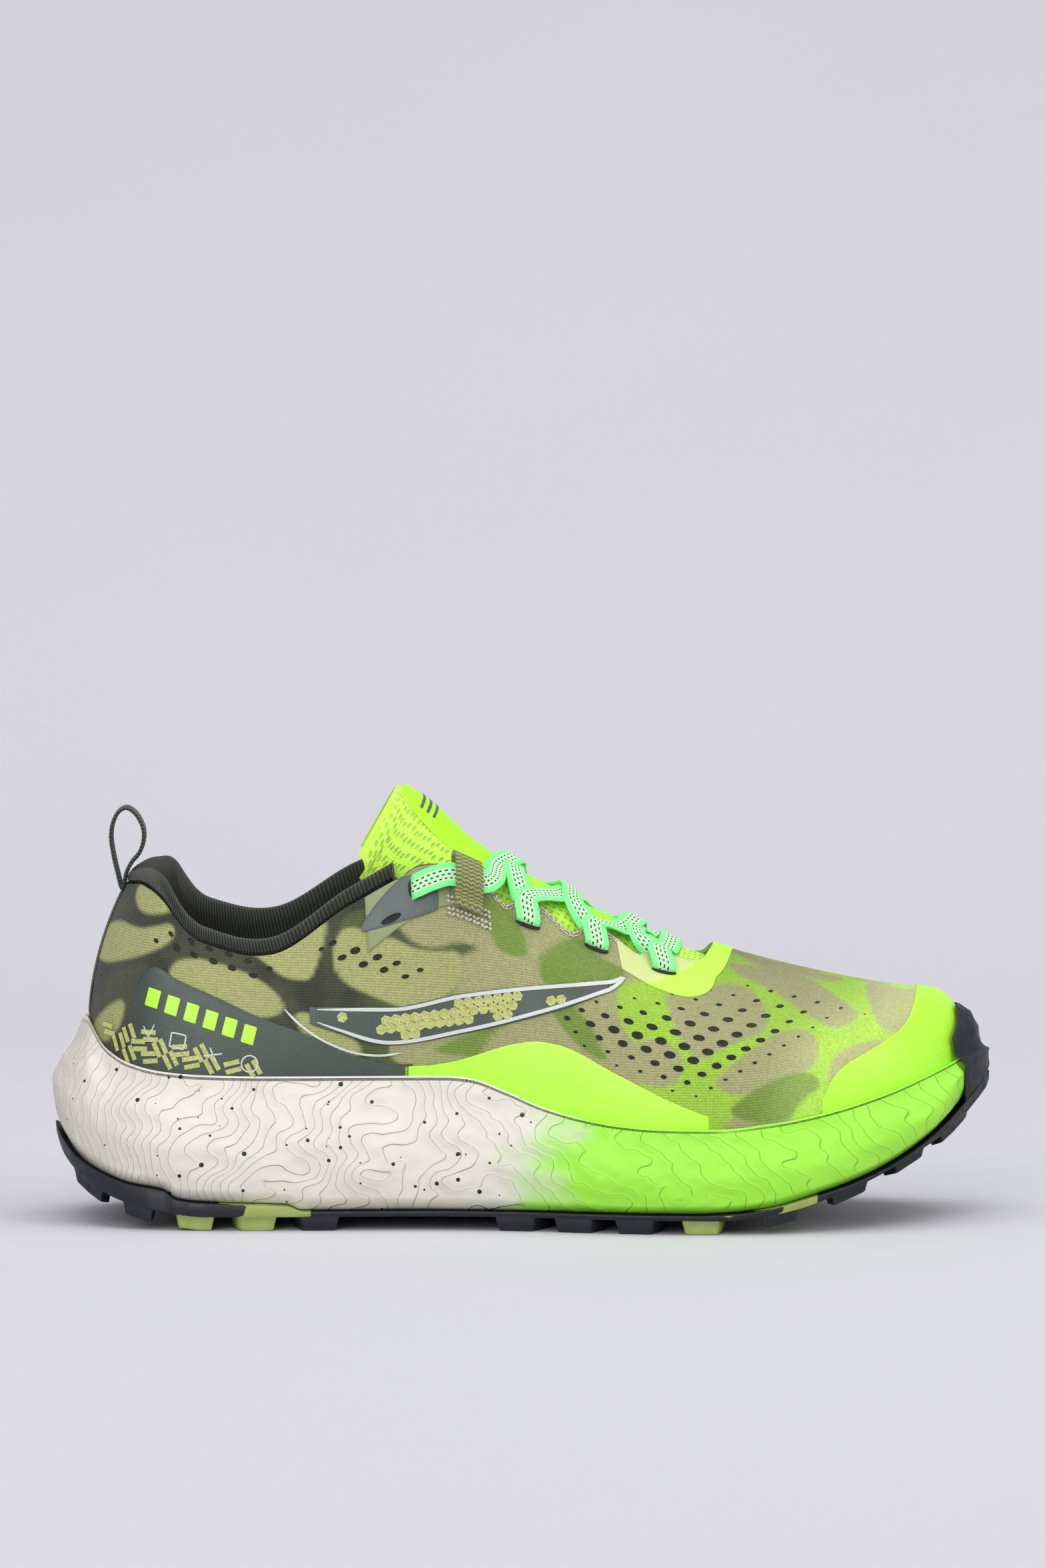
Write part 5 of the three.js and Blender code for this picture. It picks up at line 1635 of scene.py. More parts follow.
    def bumper(self) -> Shell:
        """The rubber that climbs over the toe, with ridges across it."""
        start, end, rungs = 15.7, 18.8, 15
        sections = []
        for k in spaced(start, end, 64):
            grow = min(min(k - start, end - k) / 0.9, 1)
            thick = 0.6 + 1.7 * grow**0.6
            top = mix(52, 61.3, grow) + SIZE.foam
            floor = float(self.under(share(LAST.outline(k, 2)[0])))
            rim = float(LAST.rim_height(share(LAST.outline(k, LAST.feather(k))[0]))) + SIZE.foam
            knots = [floor, (floor + rim) / 2, rim + 0.4, rim + 2, (rim + 2 + top) / 2, top]
            inner = []
            for i, z in enumerate(knots):
                if i < 3:
                    point = LAST.outline(k, LAST.foam_inset(from_heel(k)) - SIZE.gap - 0.2)
                else:
                    lift = SIZE.film + SIZE.film_gap + 3 * SIZE.gap
                    point = LAST.wall(k, LAST.v_at_height(k, z), -lift)
                inner.append([point[0], point[1], z])
            spread = spaced(0, 5, rungs)
            inner = np.stack([Profile(*zip(range(6), line))(spread)
                              for line in np.array(inner).T], -1)
            ridge = 0.35 * np.sin(spread * 2 * math.pi * 1.1) + 0.35
            swell = np.interp(spread, [0, 2, 3, 4, 5], [0, 0, 0.6, 0.2, 0]) + ridge * 0.7
            width = np.where(spread < 4.9, thick + swell * grow, 0.6)
            out = unit(LAST.outline(k, 0) - LAST.outline(k, 3))
            sections.append((inner + out * width[:, None], inner))
        front, back = (np.stack(rows) for rows in zip(*sections))
        points = loop_of(front, back)
        return Shell(points, {"inlay": np.zeros(points.shape[:2])}, cap=Cap.STRIP)


# ---------------------------------------------------------------------------------------------
# Upper
# ---------------------------------------------------------------------------------------------

# How far the throat's cut edge stands above the last's top edge, by place along the shoe.
SCALLOPS = Profile((130, 0), (140, -1), (145.6, -4), (151.8, 2), (158, 0), (166, -5.4), (173.7, 1),
                   (180, 0), (187.6, -3.6), (195.4, 1.9), (201, 0), (207, -1.5), (211, 0))
MUDGUARD_TOP = Profile((37.5, 51), (42.5, 53.4), (48.9, 59.2), (51, 60), (53.2, 59), (59.7, 49.8),
                       (65, 42.2), (70, 36.5))
HEEL_FILM_TOP = Profile((5, 68), (9.2, 83), (12.8, 79), (17.9, 73.5), (22.8, 67.1), (28.3, 61.1),
                        (31.8, 56), (36, 52.6))
BLADE_LOW = Profile((27, 66.5), (30, 63.2), (36, 58.5), (44, 62.5), (52, 68.5), (60, 76))
BLADE_HIGH = Profile((27, 70.5), (36, 70.5), (44, 75), (52, 77.5), (60, 79))
THROAT_LOW = Profile((9.3, 0.86), (10, 0.8), (10.6, 0.78), (11.2, 0.82), (12, 0.9), (14, 0.945),
                     (TOE, 0.96))
FILM_FOOT = -0.04  # v of the films' lower edge, behind the foam's lip
# The sockliner's underside above the foam's bed, over the board with a small gap to each.
INSOLE_LOW = SIZE.board + 2 * (SIZE.gap + 0.2)
HOLE_PITCH = ((7.45, -1.7), (2.77, -4.26))  # steps of the forefoot's lattice of holes
HOLE_START = (167.5, 74.3)
SLATE = ((116.5, 112.6), (124, 110.2), (125, 102), (123, 100.6), (101, 93.8), (99.4, 95),
         (103.9, 102.2), (112, 111))
FOREFOOT_HOLES = ((157, 68), (164, 75), (191, 75), (219, 76), (226, 79), (240, 78), (277, 74),
                  (277, 70), (266, 68), (257, 65), (244, 62), (238, 57), (223, 49), (210, 43),
                  (200, 43), (185, 50), (170, 58))
HEEL_HOLES = ((34.5, 91.3, 1.4), (39.2, 93.5, 1.6), (45.8, 91.1, 2.2), (41.1, 89.2, 2.2),
              (46.6, 86.9, 2.2), (51.5, 88.8, 2), (52.8, 84.9, 2.2), (57.7, 87.1, 2.2),
              (58.8, 82.8, 2.2), (63.7, 84.9, 2), (65.6, 80.5, 2.2), (70.5, 82.6, 1.8))
ANKLE_HOLES = ((90.9, 90.7, 2), (87.3, 88.8, 1.5), (98.1, 88.4, 2.5), (93.9, 86.2, 2.3),
               (105.2, 86.4, 2.3), (100.7, 84.1, 2.3), (111.3, 84.5, 2), (107.3, 82.4, 2.1),
               (118.8, 82.4, 1.6), (114.1, 80.3, 1.8))


def flat_strand(points: Array) -> Array:
    """Strand coordinates of a small flat piece: its places along the shoe and heights."""
    return np.stack([points[..., 0], points[..., 2], 0 * points[..., 0]], -1)


def round_strand(k: Array, points: Array) -> Array:
    """Strand coordinates of a long piece: distance round the shoe and distance up."""
    round_mm = k[:, None] * np.ones(points.shape[:2])
    steps = np.linalg.norm(np.diff(points, axis=1, prepend=points[:, :1]), axis=-1)
    return np.stack([round_mm, steps.cumsum(1), 0 * round_mm], -1)


@dataclass(frozen=True)
class Eyelet:
    """A slot for the lace, by place along the shoe and distance below the top edge."""

    s: float
    down: float
    length: float = 7.4
    turned: bool = False


EYELETS = (Eyelet(64.2, 9), Eyelet(57.3, 9), Eyelet(50.2, 9), Eyelet(38.2, 7, 5.5, True),
           Eyelet(35.9, 13.5, 6.4))


@dataclass(frozen=True)
class UpperSize:
    """Fineness and depths of the upper."""

    columns: int = 680
    levels: int = 74
    roll: float = 4.6
    collar_end: float = 6.5
    collar_rise: float = 4.2
    film_lift: float = 0.1
    film_thick: float = 0.42


class Upper:
    """Knit, collar, films, tape, footbed, and the small work on them."""

    def __init__(self, finishes: Finishes, size: UpperSize = UpperSize()) -> None:
        """Keep the finishes and the size."""
        self.finishes = finishes
        self.size = size
        self.knit_top = Profile((0, 5.8), (6.55, 5.8), (6.85, 0.2), (TOE, 0.2))

    def build(self) -> None:
        """Make the upper's pieces."""
        paint = self.finishes
        coat(settle(self.knit(), Body.SHOE, "knit", "upper_knit"), paint.knit)
        collar = settle(self.collar(), Body.SHOE, "lining_knit", "collar_lining")
        coat(collar, paint.rib)
        coat(settle(self.footbed(), Body.SHOE, "insole_foam", "insole"), paint.cloth)
        coat(settle(self.toe_film(), Body.SHOE, "lime_film", "toe_cap_film"), paint.lime)
        coat(settle(self.throat(), Body.SHOE, "lime_film", "throat_patch"), paint.throat)
        coat(settle(self.tape(), Body.SHOE, "webbing", "heel_seam_tape"), paint.webbing)
        for side in Side:
            self.side_films(side)
            self.marks(side)
        self.holes()
        self.seams()

    # Shells -------------------------------------------------------------------------------

    def edge_rise(self, k: Array) -> Array:
        """How far the knit's edge stands above the last's top edge."""
        row = from_heel(k)
        x = LAST.top(k)[..., 0]
        return SCALLOPS(x) * smooth(row, 7, 8) + self.roll_rise(row) * (1 - smooth(row, 6.5, 6.9))

    def roll_rise(self, row: Array) -> Array:
        """How far the padding lifts the roll above the last's top edge."""
        return self.size.collar_rise * smooth(np.abs(row), 3.1, 4.4)

    def knit(self) -> bpy.types.Object:
        """The knit shell: printed, frosted behind the toe, scalloped along the throat."""
        k = np.arange(self.size.columns) * ROWS / self.size.columns
        top = self.knit_top(from_heel(k)) - self.edge_rise(k)
        length = LAST.wall_length(k)
        rise = spaced(0, 1, self.size.levels)
        down = mix(length[:, None], top[:, None], rise[None])
        outer = LAST.below_top(k, down)
        low = LAST.wall(k[:, None], np.array([[-0.94, -0.4, -0.1]]))
        inner_down = mix(length[:, None], top[:, None] + 0.15, spaced(0, 1, 16)[None])
        inner = LAST.below_top(k, inner_down, SIZE.mesh - 0.25)
        inner_low = LAST.wall(k[:, None], np.array([[-0.94, -0.4, -0.1]]), SIZE.mesh)
        front = np.concatenate([low, outer], 1)
        back = np.concatenate([inner_low, inner], 1)
        points = loop_of(front, back)
        round_mm = np.broadcast_to(perimeter(k)[:, None], points.shape[:2])
        up_mm = np.concatenate([
            np.linalg.norm(np.diff(part, axis=1, prepend=part[:, :1]), axis=-1).cumsum(1)
            for part in (front, back)], 1)
        up_mm[:, len(front[0]):] = up_mm[:, len(front[0]):][:, ::-1]
        colours = np.zeros((*points.shape[:2], 4))
        frost = np.zeros(points.shape[:2])
        for side in Side:
            here = (points[..., 1] * side.value >= 0)
            drift = 0 if side is Side.LATERAL else 7
            tint, cover = camouflage(points[here][:, 0], points[here][:, 2], drift)
            colours[here], frost[here] = tint, cover
        strand = np.stack([round_mm, up_mm, frost], -1)
        return solid("knit_upper", [Shell(points, {"camo": colours, "strand": strand},
                                          ring=True)], 50)

    def collar(self) -> bpy.types.Object:
        """The padded roll and the lining inside it, soft enough to dent a little."""
        k = spaced(-self.size.collar_end, self.size.collar_end, 420)
        slim = smooth(np.abs(k), 3.2, self.size.collar_end)
        rise = self.roll_rise(k)[:, None]
        pad, low = 3.9 - 2.2 * slim, 40 - 8 * slim
        deep = SIZE.mesh + 2 * SIZE.gap + SIZE.counter
        roll = self.size.roll
        front = [(roll, -0.2), (3.3, -0.75), (1.6, -0.7), (0.2, 0.2), (-0.5, 1.4),
                 (-0.4, 2 + pad * 0.4), (0.9, 2.9 + pad * 0.65), (3, deep + pad * 0.8),
                 (7, deep + pad * 0.98), (12, deep + pad), (19, deep + pad * 0.95),
                 (26, deep + pad * 0.8), (low, deep + 1.2)]
        back = [(roll, 0.5), (roll, SIZE.mesh + SIZE.gap + 0.1)]
        back += [(down, deep) for down in (6.5, 11, 17, 23, 30)] + [(low, deep)]
        faces = []
        for rows, count in ((front, 44), (back, 12)):
            down, depth = (np.stack([value + 0 * k for value in part], 1)
                           for part in zip(*rows))
            spread = spaced(0, len(rows) - 1, count)
            place = np.arange(len(rows))
            fine = [np.stack([centripetal(np.stack([place, line], 1), spread)[:, 1]
                              for line in part]) for part in (down, depth)]
            fine[0] = fine[0] - rise * (1 - smooth(fine[0], 12, 30))
            faces.append(fine)
        soft = waves(perimeter(k)[:, None] * np.sign(k)[:, None], faces[0][0], 34, 0.4)
        faces[0][1] = faces[0][1] + 0.28 * soft * smooth(faces[0][0], 4, 12)
        front_at, back_at = (LAST.below_top(k, down, depth) for down, depth in faces)
        points = loop_of(front_at, back_at)
        strand = round_strand(perimeter(k) * np.sign(k), points)
        return solid("collar_roll", [Shell(points, {"strand": strand}, cap=Cap.STRIP)], 60)

    def footbed(self) -> bpy.types.Object:
        """The sockliner: foam with cloth on it, cupped a little at its rim."""
        k = np.arange(340) * ROWS / 340
        inset = LAST.feather(k) + SIZE.mesh + SIZE.gap + 0.9
        low = INSOLE_LOW
        rings = []
        for extra, lift in ((0.6, 0), (0, 0.4), (0, SIZE.insole - 0.6), (0.5, SIZE.insole),
                            (1.6, SIZE.insole), (4, SIZE.insole - 0.5), (9, SIZE.insole - 0.8)):
            ring = LAST.outline(k, inset + extra)
            ring[:, 2] = LAST.bed_height(share(ring[:, 0])) + SIZE.foam + low + lift
            rings.append(ring)
        return solid("sockliner", [Shell(np.stack(rings), cap=Cap.RUNGS)], 50)

    def film(self, k: Array, low: Array, high: Array, rungs: int = 22) -> Shell:
        """A film welded on the knit, with pressed-down edges.

        Args:
            k: Stations it spans.
            low: The v of its lower edge at each station.
            high: The v of its upper edge.
            rungs: Points from edge to edge.

        Returns:
            The film's shell.
        """
        rise = np.concatenate([[0, 0.02], spaced(0.05, 0.95, rungs - 4), [0.98, 1]])
        v = mix(low[:, None], high[:, None], rise[None])
        ends = np.minimum(np.arange(len(k)), np.arange(len(k))[::-1])[:, None]
        press = np.minimum(smooth(np.minimum(rise, 1 - rise), -0.01, 0.02)[None],
                           smooth(ends, -1, 2))
        lift = self.size.film_lift + self.size.film_thick * (0.35 + 0.65 * press)
        front = LAST.wall(k[:, None], v, -lift)
        back = LAST.wall(k[:, None], v[:, ::4], -self.size.film_lift * 0.5)
        points = loop_of(front, back)
        if points.shape[1] % 2:
            points = points[:, :-1]
        return Shell(points, {"strand": round_strand(perimeter(k), points)}, cap=Cap.STRIP)

    def toe_film(self) -> bpy.types.Object:
        """The lime cap: its rear edge climbs in one sweep from the foam over the toe."""
        k = spaced(11.75, ROWS - 11.75, 260)
        v = spaced(0.04, 0.7, 60)
        points = LAST.skin(k[:, None], v[None])
        flat = points[..., [0, 2]].reshape(-1, 2)
        inside = depth_in(flat, np.array(TOE_FILM)).reshape(points.shape[:2])
        high = []
        for line in inside:
            out = np.flatnonzero(line < 0)
            if not len(out):
                high.append(v[-1])
            elif out[0] == 0:
                high.append(v[0])
            else:
                a, b = line[out[0] - 1], line[out[0]]
                high.append(v[out[0] - 1] + (v[1] - v[0]) * a / (a - b))
        high = np.maximum(np.array(high), 0.05)
        keep = high > 0.055
        first, last = np.flatnonzero(keep)[[0, -1]]
        high = np.convolve(np.pad(high, 2, mode="edge"), np.ones(5) / 5, "valid")
        span = slice(max(first - 1, 0), last + 2)
        shell = self.film(k[span], np.full_like(k[span], FILM_FOOT), high[span], 34)
        return solid("toe_cap", [shell], 50)

    def throat(self) -> bpy.types.Object:
        """The two-tone film round the front of the throat."""
        k = spaced(9.5, ROWS - 9.5, 200)
        edge = LAST.v_below_top(k, np.maximum(0.6 - self.edge_rise(k), 0.25)[:, None])[:, 0]
        shell = self.film(k, np.minimum(THROAT_LOW(from_heel(k)), edge - 0.02), edge, 24)
        x, z = shell.points[..., 0], shell.points[..., 2]
        sand = smooth(z - 75.8 - (x - 185.2) * 0.33, -0.3, 0.3) * smooth(206 - x, -0.5, 0.5)
        colours = mix(np.array(linear(Paint.FILM_LIME.value)),
                      np.array(linear(Paint.FILM_SAND.value)), sand[..., None])
        shell.data["camo"] = colours
        return solid("throat_film", [shell], 50)

    def tape(self) -> bpy.types.Object:
        """Ribbed tape over the heel's back seam."""
        k = spaced(-0.42, 0.42, 15)
        high = LAST.v_below_top(k, np.full((15, 1), 7.0))[:, 0]
        shell = self.film(k, np.full_like(k, 0.03), high, 70)
        strand = shell.data["strand"]
        across = (perimeter(k) * np.sign(k))[:, None] * np.ones(strand.shape[:2])
        shell.data["strand"] = np.stack([strand[..., 1], across, 0 * across], -1)
        return solid("heel_tape", [shell], 50)

    def side_films(self, side: Side) -> None:
        """The mudguard, the heel film, the blade and the eyestay patch of one side."""
        paint, word = self.finishes, side.word

        def spanned(start: float, end: float, count: int) -> Array:
            return LAST.station_at(along(spaced(start, end, count)), side)

        k = spanned(37.3, 69.5, 150)
        s = share(LAST.outline(k)[:, 0])
        low = np.full_like(k, FILM_FOOT)
        high = np.maximum(LAST.v_at_height(k, MUDGUARD_TOP(s)), 0.06)
        guard = solid(f"mudguard_{word}", [self.film(k, low, high, 30)], 50)
        coat(settle(guard, Body.SHOE, "lime_film", f"mudguard_film_{word}"), paint.lime)
        k = spanned(6.4, 38.5, 170)
        s = share(LAST.outline(k)[:, 0])
        high = np.maximum(LAST.v_at_height(k, HEEL_FILM_TOP(s)), 0.06)
        low = np.full_like(k, FILM_FOOT)
        heel = solid(f"heel_film_{word}_welded", [self.film(k, low, high, 34)], 50)
        coat(settle(heel, Body.SHOE, "dark_film", f"heel_film_{word}"), paint.dark)
        k = spanned(28, 59.6, 130)
        s = share(LAST.outline(k)[:, 0])
        low, high = (LAST.v_at_height(k, edge(s)) for edge in (BLADE_LOW, BLADE_HIGH))
        blade = solid(f"side_blade_{word}_welded", [self.film(k, low, high + 0.002, 20)], 50)
        coat(settle(blade, Body.SHOE, "dark_film", f"side_blade_{word}"), paint.dark)
        k = LAST.top_station_at(along(spaced(33.3, 42.2, 60)), side)
        s = share(LAST.top(k)[:, 0])
        down = mix(19.5, 14, (s - 33.8) / 7.8)
        low = LAST.v_below_top(k, down[:, None])[:, 0]
        top = self.knit_top(from_heel(k)) - self.edge_rise(k) + 0.3
        high = LAST.v_below_top(k, np.maximum(top, 0.6)[:, None])[:, 0]
        patch = solid(f"eyestay_{word}", [self.film(k, low, high, 22)], 50)
        coat(settle(patch, Body.SHOE, "dark_film", f"eyestay_patch_{word}"), self.frost())
        plate = self.plaque(side, rounded(SLATE, 2), 0.55, 0.16)
        slate = settle(solid(f"eyestay_{word}_slate", [plate], 60), Body.SHOE, "dark_film")
        coat(slate, paint.slate)

    def frost(self) -> bpy.types.Material:
        """The frosted film round the slate patch, tinted by the knit below, made once."""
        name = "polyurethane_film_frosted"
        found = bpy.data.materials.get(name)
        return found or welded_film(name, ("#7f8a5e", "#8c9568"), 0.5)

    def plaque(self, side: Side, outline: Array, lift: float, thick: float) -> Shell:
        """A thin plate on the knit, by its outline as place along the shoe and height.

        Args:
            side: Side it is on.
            outline: Closed outline round its own middle.
            lift: Distance of its back from the knit.
            thick: Its thickness.

        Returns:
            The plate's shell.
        """
        outline = outline[: len(outline) // 2 * 2]
        centre = outline.mean(0)
        rings = []
        steps = ((0.03, 0), (0.5, 0), (1, 0), (1, 0.6), (0.97, 1), (0.75, 1), (0.5, 1),
                 (0.25, 1), (0.03, 1))
        for scale, rise in steps:
            flat = centre + (outline - centre) * scale
            k, v = LAST.seen_from_side(flat[:, 0], flat[:, 1], side)
            rings.append(LAST.wall(k, v, -(lift + thick * rise)))
        points = np.stack(rings)
        return Shell(points, {"strand": flat_strand(points)}, cap=Cap.RUNGS)

    def stroke(self, side: Side, path: Places, width: float, lift: float,
               closed: bool = False, sharp: bool = False) -> Shell:
        """A printed line on the side, by places along the shoe and heights.

        Args:
            side: Side it is on.
            path: Points it passes.
            width: Its width.
            lift: Distance from the knit.
            closed: Whether it comes back to its start.
            sharp: Whether it keeps its corners.

        Returns:
            The line's shell.
        """
        rows = np.asarray(path, float)
        if closed and sharp:
            rows = np.concatenate([rows, rows[:1]])
        length = np.linalg.norm(np.diff(rows, axis=0), axis=1).sum()
        count = max(12, int(length / 0.8))
        fine = even(rows, count) if sharp else bend_through(rows, count, closed)
        ahead = unit(np.gradient(fine, axis=0))
        normal = np.stack([-ahead[:, 1], ahead[:, 0]], -1) * width / 2
        if not closed:
            place = spaced(0, 1, len(fine))
            normal = normal * np.minimum(1, np.sqrt(np.minimum(place, 1 - place) * 12 + 0.05))[
                :, None]
        edges = []
        for part in (-1, 0, 1):
            flat = fine + normal * part
            k, v = LAST.seen_from_side(flat[:, 0], flat[:, 1], side)
            edges.append([LAST.wall(k, v, -lift - 0.12), LAST.wall(k, v, -lift)])
        front, back = (np.stack([edge[i] for edge in edges], 1) for i in (0, 1))
        points = loop_of(front, back)
        ring = closed and not sharp
        return Shell(points, {"strand": flat_strand(points)}, ring=ring,
                     cap=Cap.NONE if ring else Cap.STRIP)

    # Small work ----------------------------------------------------------------------------

    def marks(self, side: Side) -> None:
        """Plain printed marks: bars and simple outlines on the heel, a rim on the blade."""
        paint, word = self.finishes, side.word
        lift = self.size.film_lift + self.size.film_thick + 0.02
        bars = []
        for i in range(6):
            x, z = 32.5 + i * 6.1, 73.4 - i * 2.25
            bar = np.array([[0, 3.2], [3.9, 2.0], [2.5, -3.6], [-1.4, -2.4]]) + [x, z]
            bars.append(self.plaque(side, even(np.vstack([bar, bar[:1]]), 33)[:-1], lift, 0.14))
        lime = settle(solid(f"heel_bars_{word}", bars, 60), Body.SHOE, "lime_film")
        coat(lime, paint.lime)
        circle = [(64.5 + 2.6 * math.cos(a), 52.8 + 2.6 * math.sin(a))
                  for a in spaced(0, 2 * math.pi, 13)[:-1]]
        lines = [
            self.stroke(side, circle, 0.45, lift, closed=True),
            self.stroke(side, ((30.8, 64.5), (32.3, 60.8), (34.3, 65)), 0.4, lift, sharp=True),
            self.stroke(side, ((39, 58.2), (43.6, 57.2), (44.4, 61.6), (39.8, 62.6)), 0.45, lift,
                        closed=True, sharp=True),
            self.stroke(side, ((49.6, 55.2), (56, 56)), 0.45, lift, sharp=True),
            self.stroke(side, ((51.8, 58), (54, 53.2)), 0.45, lift, sharp=True),
        ]
        top = [(x, float(BLADE_HIGH(share(x))) - 0.7) for x in spaced(86, 180, 22)]
        low = [(x, float(BLADE_LOW(share(x))) + 0.9) for x in spaced(86, 180, 22)]
        lines.append(self.stroke(side, top + [(183.5, 79.2)] + low[::-1], 1.15, lift,
                                 closed=False))
        swoop = ((75.5, 70), (80, 65.5), (88, 60), (98, 56.2), (106, 55.3), (113, 56.2))
        lines.append(self.stroke(side, swoop, 0.7, lift))
        print_ = settle(solid(f"printed_lines_{word}", lines, 60), Body.SHOE, "keeper_webbing")
        coat(print_, paint.print)
        self.lattice(side, lift)
        self.basket(side, lift)

    def side_frame(self, x: float, z: float, side: Side) -> tuple[Array, Array, Array]:
        """A point on the knit with its direction toward the toe and its outward direction."""
        k, v = (float(part) for part in LAST.seen_from_side(np.array(x), np.array(z), side))
        point, out = LAST.skin(k, v), LAST.normal(k, max(v, 0.06))
        ahead = unit(LAST.skin(k - 0.05 * side.value, v) - LAST.skin(k + 0.05 * side.value, v))
        return point, ahead, out

    def lattice(self, side: Side, lift: float) -> None:
        """Open hexagons in the knit's sand colour over the middle of the blade."""
        copies = Copies()
        pitch = 3.1
        for row in range(-4, 7):
            for column in range(0, 30):
                x = 94 + column * pitch + (row % 2) * pitch / 2
                z = 62 + row * pitch * 0.87 + (x - 94) * 0.12
                low, high = float(BLADE_LOW(share(x))), float(BLADE_HIGH(share(x)))
                sparse = math.sin(x * 0.35 + row) + math.sin(x * 0.13 - row * 1.9)
                band = 112 < x < 152
                if not low + 2.6 < z < high - 2.6 or (sparse < 0.35 and not band):
                    continue
                if band and sparse < -1.2:
                    continue
                point, ahead, out = self.side_frame(x, z, side)
                copies.put(point + out * lift, ahead, out, (pitch * 1.02, pitch * 1.02, 0.12))
        ring = template_mesh("hexagon", ((1.12, 0), (1.12, 1), (0.72, 1), (0.72, 0)), 6,
                             start=1 / 12)
        piece = scatter(f"blade_lattice_{side.word}", copies, ring, self.finishes.sand)
        settle(piece, Body.SHOE, "knit")

    def basket(self, side: Side, lift: float) -> None:
        """Short bars in a basket weave, printed low on the heel film."""
        copies = Copies()
        for row in range(6):
            for column in range(9):
                x = 19.5 + column * 6.6 + (row % 2) * 3.3
                z = 62.5 - row * 3.4 - (x - 20) * 0.1
                floor = float(LAST.rim_height(share(x))) + SIZE.foam + 1.6
                if z < floor + 0.6 or z > 66 - (x - 18) * 0.30 or x > 70:
                    continue
                turn = -1.05 if (row + column) % 2 else 0.28
                for part in (-1.0, 1.1):
                    offset = (part * math.sin(-turn) * 1.15, part * math.cos(turn) * 1.15)
                    point, ahead, out = self.side_frame(x + offset[0], z + offset[1], side)
                    direction = ahead * math.cos(turn) + np.array([0, 0, 1]) * math.sin(turn)
                    copies.put(point + out * lift, direction, out, (5.2, 1.55, 0.1))
        bar = template_mesh("bar", ((1.38, 0), (1.38, 1), (0.1, 1)), 4, start=1 / 8)
        piece = scatter(f"heel_basket_{side.word}", copies, bar, self.finishes.sand)
        settle(piece, Body.SHOE, "knit")

    def holes(self) -> None:
        """Ventilation holes melted through the knit, shown as near-black discs whose colour is
        painted shade for their dark insides.
        """
        copies = Copies()
        region = rounded(FOREFOOT_HOLES, 1)
        (step_x, step_z), (next_x, next_z) = HOLE_PITCH
        cells = [(HOLE_START[0] + step_x * a + next_x * b, HOLE_START[1] + step_z * a + next_z * b)
                 for a in range(-6, 18) for b in range(-4, 9)]
        depth = depth_in(np.array(cells), region)
        spots = [(x, z, 0.9 + 2.5 * float(smooth(d, 0, 11)))
                 for (x, z), d in zip(cells, depth) if d > 0.4]
        spots = [(x, z, size * (1 - 0.35 * float(smooth(x, 205, 265)))) for x, z, size in spots]
        spots += [(x, z, 1.2 * size) for x, z, size in (*HEEL_HOLES, *ANKLE_HOLES)]
        for side in Side:
            for i, (x, z, size) in enumerate(spots):
                if 130 < x < 211 and z < float(MUDGUARD_TOP(share(x))) + 2.2:
                    continue
                point, ahead, out = self.side_frame(x, z, side)
                lean = ahead * math.cos(-0.12) + np.array([0, 0, 1]) * math.sin(-0.12)
                tall = size * (0.62 + 0.06 * math.sin(i * 2.3))
                copies.put(point + out * 0.03, lean, out, (size, tall, 0.5))
        rim = template_mesh("hole", ((1.16, -0.1), (1.08, 0.22), (0.94, 0.2), (0.86, 0.05),
                                     (0.4, 0.12)), 14)
        # The near-black discs are painted shade for the holes' dark insides.
        piece = scatter("vent_holes", copies, rim, self.finishes.netting)
        settle(piece, Body.SHOE, "knit")

    def seams(self) -> None:
        """Overlock along the throat, bar-tacks below the keepers, and the slots."""
        stitches = Copies()
        for side in Side:
            k = LAST.top_station_at(spaced(137, 211, 150), side)
            down = 1.25 - self.edge_rise(k)
            path = LAST.below_top(k, down[:, None], -0.12)[:, 0]
            out = LAST.normal(k, np.full_like(k, 0.97))
            add_stitches(stitches, path, out, 1.7, 0.55, 26)
            second = LAST.below_top(k, down[:, None] + 1.0, -0.08)[:, 0]
            add_stitches(stitches, second, out, 1.9, 0.4, -10)
        thread = scatter("throat_overlock", stitches, stitch_mesh("overlock"),
                         self.finishes.thread)
        settle(thread, Body.SHOE, "knit")
        tacks = Copies()
        for side in Side:
            for down in (10.6, 12.2, 14.6, 16.2):
                k = LAST.top_station_at(along(spaced(41.7, 46.3, 12)), side)
                path = LAST.below_top(k, np.full((12, 1), down), -0.35)[:, 0]
                out = LAST.normal(k, np.full_like(k, 0.8))
                add_stitches(tacks, path, out, 1.45, 0.85, 38)
        piece = scatter("keeper_bar_tacks", tacks, stitch_mesh("bar_tack"), self.finishes.thread)
        settle(piece, Body.SHOE, "knit")
        self.slots()

    def slots(self) -> None:
        """Punched slots for the lace, their dark insides painted shade, with a pressed rim."""
        copies = Copies()
        for side in Side:
            for eyelet in EYELETS:
                k = float(LAST.top_station_at(along(eyelet.s), side))
                point = LAST.spot(k, eyelet.down, -0.8)
                edge = unit(LAST.top(k - 0.05 * side.value) - LAST.top(k + 0.05 * side.value))
                out = LAST.normal(k, float(LAST.v_below_top([k], [[eyelet.down]])[0, 0]))
                fall = unit(LAST.spot(k, eyelet.down + 1) - LAST.spot(k, eyelet.down - 1))
                ahead = fall if eyelet.turned else edge
                copies.put(point, ahead, out, (eyelet.length, 2.1, 0.4))
        rim = template_mesh("slot", ((1.12, -1), (1.1, 0.3), (0.98, 0.5), (0.9, 0.2),
                                     (0.4, 0.1)), 18)
        # The near-black slots are painted shade for their dark insides.
        piece = scatter("lace_slots", copies, rim, self.finishes.netting)
        settle(piece, Body.SHOE, "dark_film")


# ---------------------------------------------------------------------------------------------
# Tongue
# ---------------------------------------------------------------------------------------------

